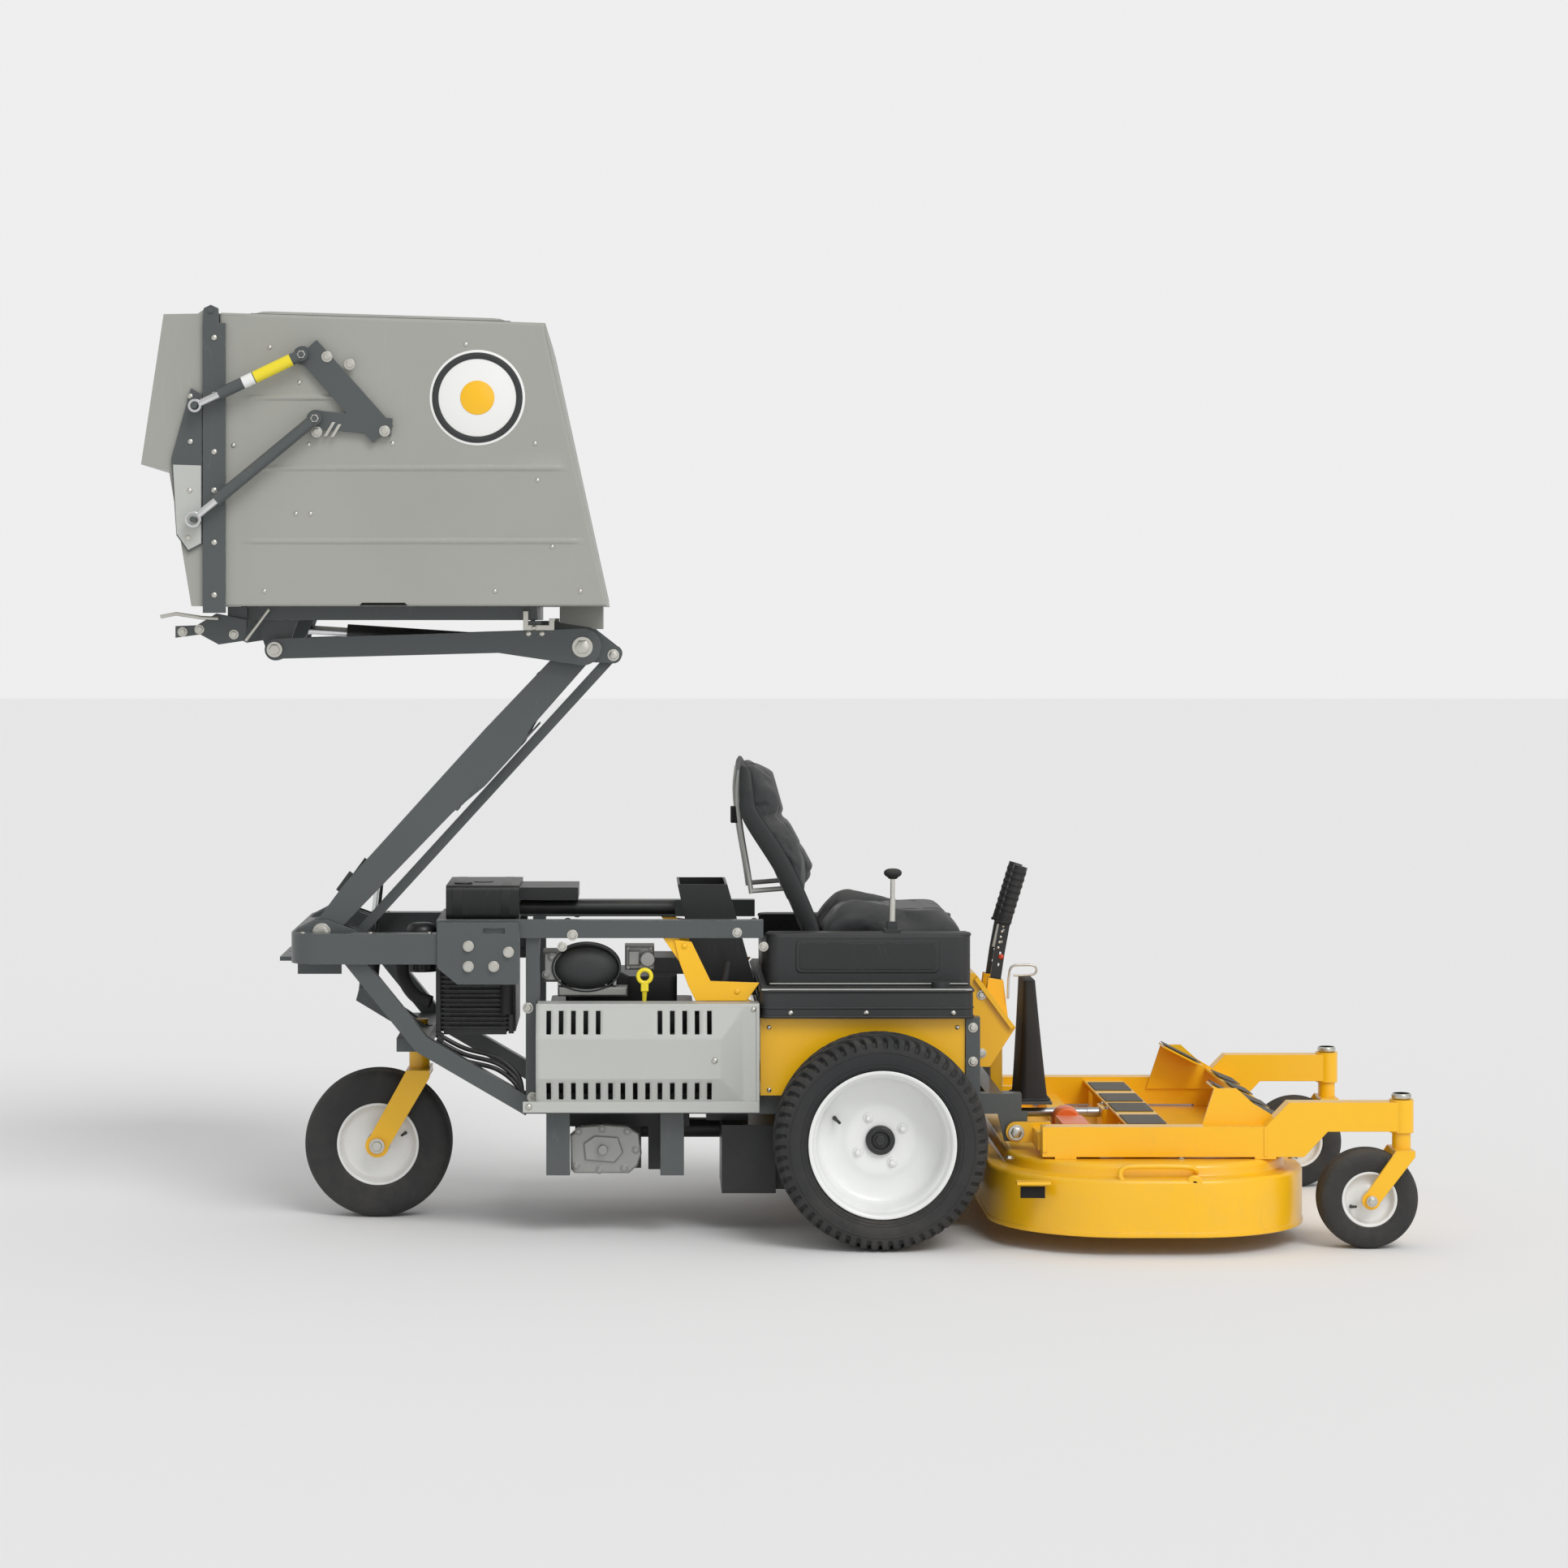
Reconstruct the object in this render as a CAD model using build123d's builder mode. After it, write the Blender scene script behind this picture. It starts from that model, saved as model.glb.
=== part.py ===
"""Front-deck zero turn mower with a high-dump grass bin, built as separate parts in one frame.

+X is forward, +Z is up and the ground is Z = 0. Side profiles are drawn in planes that face -Y,
where x is measured forward of the drive axle and y is the height above the ground.
"""

import os
from math import cos, hypot, radians, sin

from build123d import *

os.makedirs("parts", exist_ok=True)

# ---------------------------------------------------------------- driving dimensions (mm)
WHEELBASE = 1201.0             # drive axle to tail wheel axle
TRACK = 968.0                  # between the middles of the drive tyres
DRIVE_TYRE_RADIUS = 250.0
DRIVE_TYRE_WIDTH = 200.0
DRIVE_RIM_RADIUS = 165.0       # where the tyre bead sits
TAIL_TYRE_RADIUS = 180.0
TAIL_TYRE_WIDTH = 120.0
TAIL_TRAIL = 99.0              # kingpin ahead of the tail axle
CASTER_TYRE_RADIUS = 116.0
CASTER_TYRE_WIDTH = 84.0
CASTER_TRAIL = 81.0
DECK_WIDTH = 1280.0
DECK_LENGTH = 745.0
DECK_REAR = 262.0              # rear edge of the deck, forward of the drive axle
DECK_TO_CASTER = 128.0         # front edge of the deck to the caster axle
DECK_ARM_SPACING = 972.0       # between the middles of the deck frame arms
BIN_WIDTH = 900.0
BIN_HEIGHT = 686.0
BIN_ABOVE_KNEE = 97.0          # bin floor above the upper pivot of the lift arms
LIFT_ARM_LENGTH = 921.6
LIFT_ARM_ANGLE = 47.55         # above level, with the lift raised
LIFT_PIVOT_HEIGHT = 718.0
RAIL_BOTTOM = 291.0            # underside of the main rails
RAIL_HEIGHT = 48.0
RAIL_WIDTH = 40.0
RAIL_OUTER = 335.0             # outer face of the main rails, from the middle
SHEET = 3.0                    # bin, guard and cover sheet
PLATE = 10.0                   # brackets and lugs
FIT = 0.05                     # radial running clearance of a pin in its bore
GAP = 1.0                      # free gap between parts that move past each other

# ---------------------------------------------------------------- derived places
TAIL_AXLE = -WHEELBASE
KINGPIN = TAIL_AXLE + TAIL_TRAIL
DECK_FRONT = DECK_REAR + DECK_LENGTH
DECK_MIDDLE = DECK_REAR + DECK_LENGTH / 2
CASTER_AXLE = DECK_FRONT + DECK_TO_CASTER
CASTER_PIN = CASTER_AXLE + CASTER_TRAIL
ARM_Y = DECK_ARM_SPACING / 2
WHEEL_Y = TRACK / 2
RAIL_TOP = RAIL_BOTTOM + RAIL_HEIGHT
RAIL_INNER = RAIL_OUTER - RAIL_WIDTH
HALF_BIN = BIN_WIDTH / 2

# lift linkage, in side view
LIFT_PIVOT = (KINGPIN - 217.0, LIFT_PIVOT_HEIGHT)
REACH = (cos(radians(LIFT_ARM_ANGLE)), sin(radians(LIFT_ARM_ANGLE)))
KNEE = (LIFT_PIVOT[0] + LIFT_ARM_LENGTH * REACH[0], LIFT_PIVOT[1] + LIFT_ARM_LENGTH * REACH[1])
LINK_OFFSET = (73.0, -20.0)    # level link pivots from the arm pivots, at both ends
LINK_FOOT = (LIFT_PIVOT[0] + LINK_OFFSET[0], LIFT_PIVOT[1] + LINK_OFFSET[1])
LINK_HEAD = (KNEE[0] + LINK_OFFSET[0], KNEE[1] + LINK_OFFSET[1])
DUMP_PIVOT = (KNEE[0] - 730.0, KNEE[1] - 6.0)

# bin, in side view: its rear edge stands on the door line
BIN_FLOOR = KNEE[1] + BIN_ABOVE_KNEE
BIN_REAR = DUMP_PIVOT[0] - 118.0
BIN_TOP = BIN_FLOOR + BIN_HEIGHT
BIN_FRONT_LOW = BIN_REAR + 908.0
BIN_FRONT_HIGH = BIN_REAR + 763.0
BIN_TOP_FRONT = BIN_TOP - 23.0
DOOR_HINGE = (BIN_REAR - 19.0, BIN_TOP + 5.0)
DOOR_BACK = BIN_REAR - 184.0   # rearmost line of the door hood

# the origin stands under the middle of the whole machine
AXLE_X = -(DOOR_BACK + CASTER_AXLE + CASTER_TYRE_RADIUS) / 2


# ---------------------------------------------------------------- helpers
def side(y=0.0):
    """Plane facing -Y at this y: its x runs forward of the drive axle, its y is the height."""
    return Plane(origin=(AXLE_X, y, 0), x_dir=(1, 0, 0), z_dir=(0, -1, 0))


def level(z):
    """Plane facing up at this height: its x runs forward of the drive axle."""
    return Plane(origin=(AXLE_X, 0, z))


def extrude_between(face, y_from, y_to, mode=Mode.ADD):
    """Extrude a side profile drawn at y = 0 so that it lies between two values of y."""
    middle = (y_from + y_to) / 2
    extrude(to_extrude=face.moved(Location((0, middle, 0))), amount=abs(y_to - y_from) / 2,
            both=True, mode=mode)


def plate(points, y_from, y_to, corner=0.0, mode=Mode.ADD):
    """A flat plate with this side outline, its corners rounded, between two values of y."""
    with BuildSketch(side(), mode=Mode.PRIVATE) as outline:
        with BuildLine():
            Polyline(*points, close=True)
        make_face()
        if corner:
            fillet(outline.vertices(), corner)
    extrude_between(outline.sketch, y_from, y_to, mode)


def bar(points, width, y_from, y_to, bend=0.0, mode=Mode.ADD):
    """A bar of constant width along a bent centre line in side view, between two values of y."""
    with BuildSketch(side(), mode=Mode.PRIVATE) as outline:
        with BuildLine():
            if bend:
                FilletPolyline(*points, radius=bend)
            else:
                Polyline(*points)
        trace(line_width=width)
    extrude_between(outline.sketch, y_from, y_to, mode)


def disc(centre, radius, y_from, y_to, mode=Mode.ADD):
    """A round boss or pin that lies along Y."""
    with BuildSketch(side(), mode=Mode.PRIVATE) as outline:
        with Locations(centre):
            Circle(radius)
    extrude_between(outline.sketch, y_from, y_to, mode)


def block(x_from, x_to, y_from, y_to, z_from, z_to, mode=Mode.ADD):
    """A box given by its faces, with x measured from the drive axle."""
    middle = (AXLE_X + (x_from + x_to) / 2, (y_from + y_to) / 2, (z_from + z_to) / 2)
    with Locations(middle):
        Box(abs(x_to - x_from), abs(y_to - y_from), abs(z_to - z_from), mode=mode)


def post(x, y, radius, z_from, z_to, mode=Mode.ADD):
    """An upright round bar."""
    with Locations((AXLE_X + x, y, (z_from + z_to) / 2)):
        Cylinder(radius, abs(z_to - z_from), mode=mode)


def rod(start, end, radius, y, begin=0.0, finish=None, mode=Mode.ADD):
    """A round rod in the side view, on the line from start to end, between two distances on it."""
    length = hypot(end[0] - start[0], end[1] - start[1])
    last = length if finish is None else finish
    along = ((end[0] - start[0]) / length, (end[1] - start[1]) / length)
    foot = (AXLE_X + start[0] + along[0] * begin, y, start[1] + along[1] * begin)
    axis_plane = Plane(origin=foot, x_dir=(0, 1, 0), z_dir=(along[0], 0, along[1]))
    with BuildSketch(axis_plane, mode=Mode.PRIVATE) as section:
        Circle(radius)
    extrude(to_extrude=section.sketch, amount=last - begin, mode=mode)


def both_sides(y_from, y_to):
    """The same span of y on each side of the machine."""
    return ((y_from, y_to), (-y_to, -y_from))


def on_arm(distance, offset=0.0):
    """A place on the lift arm: this far from its pivot, and this far above its centre line."""
    return (LIFT_PIVOT[0] + distance * REACH[0] - offset * REACH[1],
            LIFT_PIVOT[1] + distance * REACH[1] + offset * REACH[0])


def save(part, name):
    """Label a finished piece and write it as the node of that name."""
    part.label = name
    export_step(part, f"parts/{name}.step")


# ================================================================ wheels
def wheel_section(x, y, z):
    """Plane through a wheel's axle: its x runs along the axle, its y is the radius."""
    return Plane(origin=(AXLE_X + x, y, z), x_dir=(0, 1, 0), z_dir=(1, 0, 0))


def make_tyre(name, x, y, z, radius, width, bead, wall):
    """A hollow tyre, open at the beads where it sits on its rim."""
    with BuildPart() as tyre:
        with BuildSketch(wheel_section(x, y, z)) as section:
            with Locations((0, (radius + bead) / 2)):
                Rectangle(width, radius - bead)
            outer_corners = section.vertices().group_by(Axis.Y)[-1]
            fillet(outer_corners, min(width, radius - bead) * 0.42)
            cavity = (width - 2 * wall, radius - bead - wall)
            with Locations((0, bead + cavity[1] / 2)):
                RectangleRounded(cavity[0], cavity[1] - 0.02, wall * 0.9, mode=Mode.SUBTRACT)
            with Locations((0, bead + wall)):
                Rectangle(cavity[0] * 0.7, 2 * wall, mode=Mode.SUBTRACT)
        revolve(axis=Axis((AXLE_X + x, y, z), (0, 1, 0)))
    save(tyre.part, name)


def make_rim(name, x, y, z, bead, width, disc_at, bore, hub, bolts=0):
    """A rim: barrel with two flanges, a disc set in from the face and a hub boss."""
    barrel = bead - FIT
    thick = 0.03 * bead + 1.5
    with BuildPart() as rim:
        with BuildSketch(wheel_section(x, y, z)):
            with Locations((0, barrel - thick / 2)):
                Rectangle(width, thick)
            for end in (-1, 1):
                with Locations((end * (width / 2 - 1.5), barrel - thick)):
                    Rectangle(3, thick * 2)
            with Locations((disc_at, (hub + barrel) / 2)):
                Rectangle(thick, barrel - hub)
            with Locations((disc_at, (bore + hub) / 2)):
                Rectangle(thick * 4, hub - bore)
        revolve(axis=Axis((AXLE_X + x, y, z), (0, 1, 0)))
        if bolts:
            face = Plane(origin=(AXLE_X + x, y + disc_at, z), x_dir=(1, 0, 0), z_dir=(0, -1, 0))
            with Locations(face):
                with PolarLocations(hub * 1.75, bolts, start_angle=45):
                    Cylinder(9, thick * 4)
    save(rim.part, name)


AXLE_STUB_RADIUS = 20.0
HUB_RADIUS = 34.0
RIM_INSET = 110.0              # drive rim face to the middle of its disc
DISC_FROM_MIDDLE = DRIVE_TYRE_WIDTH / 2 - RIM_INSET

for hand, turn in (("right", -1), ("left", 1)):
    make_tyre(f"drive_tyre_{hand}", 0, turn * WHEEL_Y, DRIVE_TYRE_RADIUS,
              DRIVE_TYRE_RADIUS, DRIVE_TYRE_WIDTH, DRIVE_RIM_RADIUS, 14)
    make_rim(f"drive_rim_{hand}", 0, turn * WHEEL_Y, DRIVE_TYRE_RADIUS, DRIVE_RIM_RADIUS,
             DRIVE_TYRE_WIDTH - 12, turn * DISC_FROM_MIDDLE, AXLE_STUB_RADIUS + FIT, HUB_RADIUS, 4)

TAIL_RIM_RADIUS = TAIL_TYRE_RADIUS * 0.54
TAIL_BOLT = 10.0
make_tyre("tail_tyre", TAIL_AXLE, 0, TAIL_TYRE_RADIUS, TAIL_TYRE_RADIUS, TAIL_TYRE_WIDTH,
          TAIL_RIM_RADIUS, 11)
make_rim("tail_rim", TAIL_AXLE, 0, TAIL_TYRE_RADIUS, TAIL_RIM_RADIUS, TAIL_TYRE_WIDTH - 16, 0,
         TAIL_BOLT + FIT, 26)

CASTER_RIM_RADIUS = CASTER_TYRE_RADIUS * 0.53
CASTER_BOLT = 8.0
for hand, turn in (("right", -1), ("left", 1)):
    make_tyre(f"caster_tyre_{hand}", CASTER_AXLE, turn * ARM_Y, CASTER_TYRE_RADIUS,
              CASTER_TYRE_RADIUS, CASTER_TYRE_WIDTH, CASTER_RIM_RADIUS, 9)
    make_rim(f"caster_rim_{hand}", CASTER_AXLE, turn * ARM_Y, CASTER_TYRE_RADIUS,
             CASTER_RIM_RADIUS, CASTER_TYRE_WIDTH - 14, 0, CASTER_BOLT + FIT, 20)


# ================================================================ swivelling forks
def make_fork(name, pin_x, y, radius, width, trail, bolt, stem, housing, arm_width, arm):
    """A wheel fork: stem in its housing, crown over the tyre, two arms and the wheel bolt."""
    inner = width / 2 + 7
    crown_back = -0.28 * trail
    rise = (radius ** 2 - (trail + crown_back) ** 2) ** 0.5
    crown = radius + rise + 7
    with BuildPart() as fork:
        post(pin_x, y, stem, crown + arm, housing[1] + 14)
        post(pin_x, y, stem * 1.7, crown + arm, housing[0] - GAP)
        post(pin_x, y, stem * 1.5, housing[1] + GAP, housing[1] + 14)
        block(pin_x + crown_back, pin_x + 0.5 * arm_width, y - inner - arm, y + inner + arm,
              crown, crown + arm)
        axle = (pin_x - trail, radius)
        for span in both_sides(inner, inner + arm):
            leg = (y + span[0], y + span[1])
            plate([(pin_x + crown_back, crown + arm), (pin_x + 0.5 * arm_width, crown + arm),
                   (pin_x + 0.5 * arm_width, crown - 6), (axle[0] + arm_width * 0.46, radius - 6),
                   (axle[0] - arm_width * 0.46, radius + 6)], *leg)
            disc(axle, arm_width / 2, *leg)
        disc(axle, bolt, y - inner - arm - 9, y + inner + arm + 9)
        for span in both_sides(inner + arm, inner + arm + 9):
            disc(axle, bolt * 1.6, y + span[0], y + span[1])
    save(fork.part, name)


TAIL_STEM = 15.0
TAIL_HOUSING = (418.0, 468.0)
make_fork("tail_fork", KINGPIN, 0, TAIL_TYRE_RADIUS, TAIL_TYRE_WIDTH, TAIL_TRAIL, TAIL_BOLT,
          TAIL_STEM, TAIL_HOUSING, 58, 11)

CASTER_STEM = 12.7
CASTER_HOUSING = (268.0, 345.0)
for hand, turn in (("right", -1), ("left", 1)):
    make_fork(f"caster_fork_{hand}", CASTER_PIN, turn * ARM_Y, CASTER_TYRE_RADIUS,
              CASTER_TYRE_WIDTH, CASTER_TRAIL, CASTER_BOLT, CASTER_STEM, CASTER_HOUSING, 42, 8)

# ================================================================ main frame
LOOP_BOTTOM = LIFT_PIVOT_HEIGHT - 71.0
LOOP_TOP = LIFT_PIVOT_HEIGHT + 1.0
TOP_RAIL_BOTTOM = LIFT_PIVOT_HEIGHT - 9.0
TOP_RAIL_TOP = LIFT_PIVOT_HEIGHT + 33.0
POST_BACK = KINGPIN + 271.0
POST_FRONT = POST_BACK + 33.0
FRAME_FRONT = 345.0
HITCH_PIVOT = (330.0, 250.0)
HITCH_PIN = 12.0
LIFT_CYLINDER_BASE = (KINGPIN - 128.0, LIFT_PIVOT_HEIGHT - 178.0)
LIFT_CYLINDER_REACH = 180.0    # its upper pin along the arm, from the arm pivot
LIFT_CYLINDER_PIN = 10.0
PEDESTAL_FLOOR = RAIL_BOTTOM

with BuildPart() as main_frame:
    for span in both_sides(RAIL_INNER, RAIL_OUTER):
        block(POST_BACK, FRAME_FRONT, *span, RAIL_BOTTOM, RAIL_TOP)
        block(POST_BACK, POST_FRONT, *span, RAIL_BOTTOM, TOP_RAIL_BOTTOM)
        strut = [(LIFT_PIVOT[0] + 60, LOOP_BOTTOM + 30), (KINGPIN + 23, TAIL_HOUSING[1] - 13),
                 (POST_BACK + 10, RAIL_BOTTOM + 14)]
        bar(strut, 42, *span, bend=50)
        block(LIFT_PIVOT[0], KINGPIN, *span, LOOP_BOTTOM, LOOP_BOTTOM + 100, mode=Mode.SUBTRACT)
    for span in both_sides(RAIL_OUTER - 15, RAIL_OUTER):
        plate([(HITCH_PIVOT[0] - 42, RAIL_BOTTOM + 5), (HITCH_PIVOT[0] - 26, HITCH_PIVOT[1] - 24),
               (HITCH_PIVOT[0] + 26, HITCH_PIVOT[1] - 24), (HITCH_PIVOT[0] + 30, RAIL_BOTTOM + 5)],
              *span)
    for span in both_sides(RAIL_OUTER, RAIL_OUTER + 27):
        disc(HITCH_PIVOT, HITCH_PIN, *span)
    for span in both_sides(RAIL_OUTER, RAIL_OUTER + 43):
        block(209, 243, *span, RAIL_BOTTOM + 9, 524)
    for back, front in ((POST_BACK, POST_FRONT), (-465, -435), (262, 300)):
        block(back, front, -RAIL_INNER, RAIL_INNER, RAIL_BOTTOM, RAIL_TOP)
    block(262, 442, -110, 110, PEDESTAL_FLOOR - 7, PEDESTAL_FLOOR)
    block(KINGPIN - 38, KINGPIN + 38, -RAIL_INNER - 4, RAIL_INNER + 4, 434, 466)
    post(KINGPIN, 0, 32, *TAIL_HOUSING)
    post(KINGPIN, 0, TAIL_STEM + FIT, *TAIL_HOUSING, mode=Mode.SUBTRACT)
    base = LIFT_CYLINDER_BASE
    for span in both_sides(24, 34):
        plate([(KINGPIN - 38, 460), (KINGPIN + 30, 460), (base[0] + 26, base[1] + 10),
               (base[0] + 10, base[1] + 24), (base[0] - 18, base[1] + 20),
               (base[0] - 26, base[1] - 10)], *span)
    disc(base, LIFT_CYLINDER_PIN, -34, 34)
save(main_frame.part, "main_frame")

# ---------------------------------------------------------------- lift frame and rear bumper
LOOP_BACK = LIFT_PIVOT[0] - 72.0
LOOP_WALL = 40.0
RAIL_TOP_Y = (310.0, 350.0)
LOOP_OUTER = 355.0
LOOP_INNER = 305.0
ARM_Y_INNER = 235.0            # lift arms, inner and outer face
ARM_Y_OUTER = 275.0
LINK_Y_INNER = 192.0
LINK_Y_OUTER = 217.0
ARM_PIN = 12.0
LINK_PIN = 8.0
JOINT_FRONT = KINGPIN + 256.0
TOP_RAIL_FRONT = -268.0

with BuildPart() as lift_frame:
    with BuildSketch(level(LOOP_BOTTOM)) as loop:
        with BuildLine():
            Polyline((LOOP_BACK, -LOOP_OUTER), (LOOP_BACK, LOOP_OUTER), (KINGPIN + 102, LOOP_OUTER),
                     (KINGPIN + 102, LOOP_INNER), (LOOP_BACK + LOOP_WALL, LOOP_INNER),
                     (LOOP_BACK + LOOP_WALL, -LOOP_INNER), (KINGPIN + 102, -LOOP_INNER),
                     (KINGPIN + 102, -LOOP_OUTER), close=True)
        make_face()
        fillet(loop.vertices().group_by(Axis.X)[0], 70)
        fillet(loop.vertices().filter_by_position(Axis.X, LOOP_BACK + LOOP_WALL - 1,
                                                  LOOP_BACK + LOOP_WALL + 1), 28)
    extrude(amount=LOOP_TOP - LOOP_BOTTOM)
    for span in both_sides(*RAIL_TOP_Y):
        block(KINGPIN + 60, TOP_RAIL_FRONT, *span, TOP_RAIL_BOTTOM, TOP_RAIL_TOP)
    for span in both_sides(LOOP_OUTER, LOOP_OUTER + 8):
        plate([(KINGPIN + 62, LOOP_BOTTOM - 8), (KINGPIN + 62, TOP_RAIL_TOP - 4),
               (JOINT_FRONT, TOP_RAIL_TOP - 4), (JOINT_FRONT, LOOP_BOTTOM - 47),
               (KINGPIN + 110, LOOP_BOTTOM - 47)], *span, corner=8)
        bar([(JOINT_FRONT - 86, TOP_RAIL_TOP - 24), (JOINT_FRONT - 34, TOP_RAIL_TOP - 24)], 12, *span,
            mode=Mode.SUBTRACT)
    for span in both_sides(RAIL_TOP_Y[1], LOOP_OUTER):
        block(KINGPIN + 102, JOINT_FRONT, *span, LOOP_BOTTOM - 20, TOP_RAIL_TOP - 8)
    for span in both_sides(150, LOOP_INNER + 5):
        block(LIFT_PIVOT[0] + 19, LINK_FOOT[0] + 31, *span, LOOP_BOTTOM, LOOP_BOTTOM + 23)
    lug = [(LOOP_BACK + 4, LOOP_BOTTOM + 4), (LINK_FOOT[0] + 26, LOOP_BOTTOM + 4),
           (LINK_FOOT[0] + 26, LINK_FOOT[1] + 4), (LINK_FOOT[0] + 8, LINK_FOOT[1] + 24),
           (LIFT_PIVOT[0] + 10, LIFT_PIVOT[1] + 30), (LIFT_PIVOT[0] - 16, LIFT_PIVOT[1] + 28),
           (LOOP_BACK + 4, LOOP_TOP)]
    for span in both_sides(221, 231) + both_sides(279, 289) + both_sides(178, 188):
        plate(lug, *span)
    for span in both_sides(221, 289):
        disc(LIFT_PIVOT, ARM_PIN, *span)
    for span in both_sides(178, 231):
        disc(LINK_FOOT, LINK_PIN, *span)
    block(LOOP_BACK - 41, LOOP_BACK + 110, -145, 145, LOOP_BOTTOM - PLATE, LOOP_BOTTOM)
    for y in (-1, 1):
        block(LOOP_BACK + 2, LOOP_BACK + 108, y * 135, y * 143, LOOP_BOTTOM - 42, LOOP_BOTTOM - 2)
    post(LOOP_BACK - 21, 0, 9.5, LOOP_BOTTOM - PLATE, LOOP_BOTTOM, mode=Mode.SUBTRACT)
save(lift_frame.part, "lift_frame")

# ================================================================ power unit
ENGINE_BACK = -780.0
ENGINE_FRONT = -430.0
with BuildPart() as engine_block:
    block(ENGINE_BACK, ENGINE_FRONT, -200, 200, RAIL_TOP, 520)
    block(ENGINE_BACK + 40, ENGINE_FRONT - 40, -150, 150, 520, 600)
    fillet(engine_block.edges().filter_by(Axis.Z), 18)
    for y in (-1, 1):
        for step in range(7):
            middle = ENGINE_BACK + 60 + step * 38
            block(middle, middle + 12, y * 200, y * 270, 400, 510)
        block(ENGINE_BACK + 50, ENGINE_FRONT - 55, y * 200, y * 240, 385, 400)
    block(ENGINE_FRONT - 110, ENGINE_FRONT - 20, -90, 90, 600, 640)
save(engine_block.part, "engine_block")

CLEANER_CENTRE = (-684.0, 642.0)
with BuildPart() as air_cleaner:
    disc(CLEANER_CENTRE, 52, -322, -215)
    fillet(air_cleaner.edges().filter_by(GeomType.CIRCLE).group_by(Axis.Y)[0], 24)
    disc(CLEANER_CENTRE, 22, -215, -151)
    block(CLEANER_CENTRE[0] - 30, CLEANER_CENTRE[0] + 30, -190, -151, 582, CLEANER_CENTRE[1])
save(air_cleaner.part, "air_cleaner")

with BuildPart() as muffler:
    with Locations((AXLE_X - 560, -366, 436)):
        Cylinder(50, 400, rotation=(0, 90, 0))
    fillet(muffler.edges().filter_by(GeomType.CIRCLE), 14)
    post(-560, -366, 12, RAIL_TOP - 20, 400)
    block(-590, -530, -366, -RAIL_OUTER, RAIL_TOP - 20, RAIL_TOP - 10)
    disc((-650, 440), 15, -330, -271)
save(muffler.part, "muffler")

GUARD_FACE = -430.0
GUARD_BACK = -805.0
GUARD_FRONT = -277.0
GUARD_BOTTOM = 308.0
GUARD_TOP = 559.0
SLOTS = 14
with BuildPart() as muffler_guard:
    block(GUARD_BACK, GUARD_FRONT - 96, GUARD_FACE, GUARD_FACE + SHEET, GUARD_BOTTOM, GUARD_TOP)
    with BuildSketch(level(GUARD_BOTTOM)):
        with BuildLine():
            Polyline((GUARD_FRONT - 97, GUARD_FACE), (GUARD_FRONT - 96, GUARD_FACE),
                     (GUARD_FRONT, GUARD_FACE + 40), (GUARD_FRONT, GUARD_FACE + 40 + SHEET),
                     (GUARD_FRONT - 97, GUARD_FACE + SHEET), close=True)
        make_face()
    extrude(amount=GUARD_TOP - GUARD_BOTTOM)
    block(GUARD_BACK, GUARD_FRONT - 97, GUARD_FACE, GUARD_FACE + 42, GUARD_TOP - SHEET, GUARD_TOP)
    block(GUARD_BACK, GUARD_FRONT - 97, GUARD_FACE, -RAIL_OUTER, GUARD_BOTTOM,
          GUARD_BOTTOM + SHEET)
    block(GUARD_BACK, GUARD_BACK + SHEET, GUARD_FACE, -RAIL_OUTER, GUARD_BOTTOM, GUARD_TOP)
    for height in (GUARD_BOTTOM + 48, GUARD_TOP - 56):
        for index in range(SLOTS):
            x = GUARD_BACK + 32 + index * 29
            block(x, x + 9, GUARD_FACE - 1, GUARD_FACE + SHEET + 1, height - 22, height + 22,
                  mode=Mode.SUBTRACT)
save(muffler_guard.part, "muffler_guard")

GEAR_TOP = RAIL_BOTTOM - 3.0
with BuildPart() as transmission:
    block(-90, 90, -RAIL_INNER + 5, RAIL_INNER - 5, 175, GEAR_TOP)
    fillet(transmission.edges().filter_by(Axis.Y), 20)
    for y in (-1, 1):
        disc((0, DRIVE_TYRE_RADIUS), 36, y * (RAIL_INNER - 5), y * (WHEEL_Y - 60))
        disc((0, DRIVE_TYRE_RADIUS), AXLE_STUB_RADIUS, y * (WHEEL_Y - 60), y * (WHEEL_Y + 2))
    block(-717, -557, -150, 150, 136, 243)
    block(-781, -441, -200, 200, 243, GEAR_TOP)
    block(-781, -745, -200, -150, 129, 243)
    block(-540, -480, -200, -150, 140, 243)
    with Locations((AXLE_X - 325, 0, 215)):
        Cylinder(24, 470, rotation=(0, 90, 0))
    for x in (-700, -640, -580):
        disc((x, 165), 9, -158, -150)
        disc((x, 215), 9, -158, -150)
save(transmission.part, "transmission")

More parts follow.
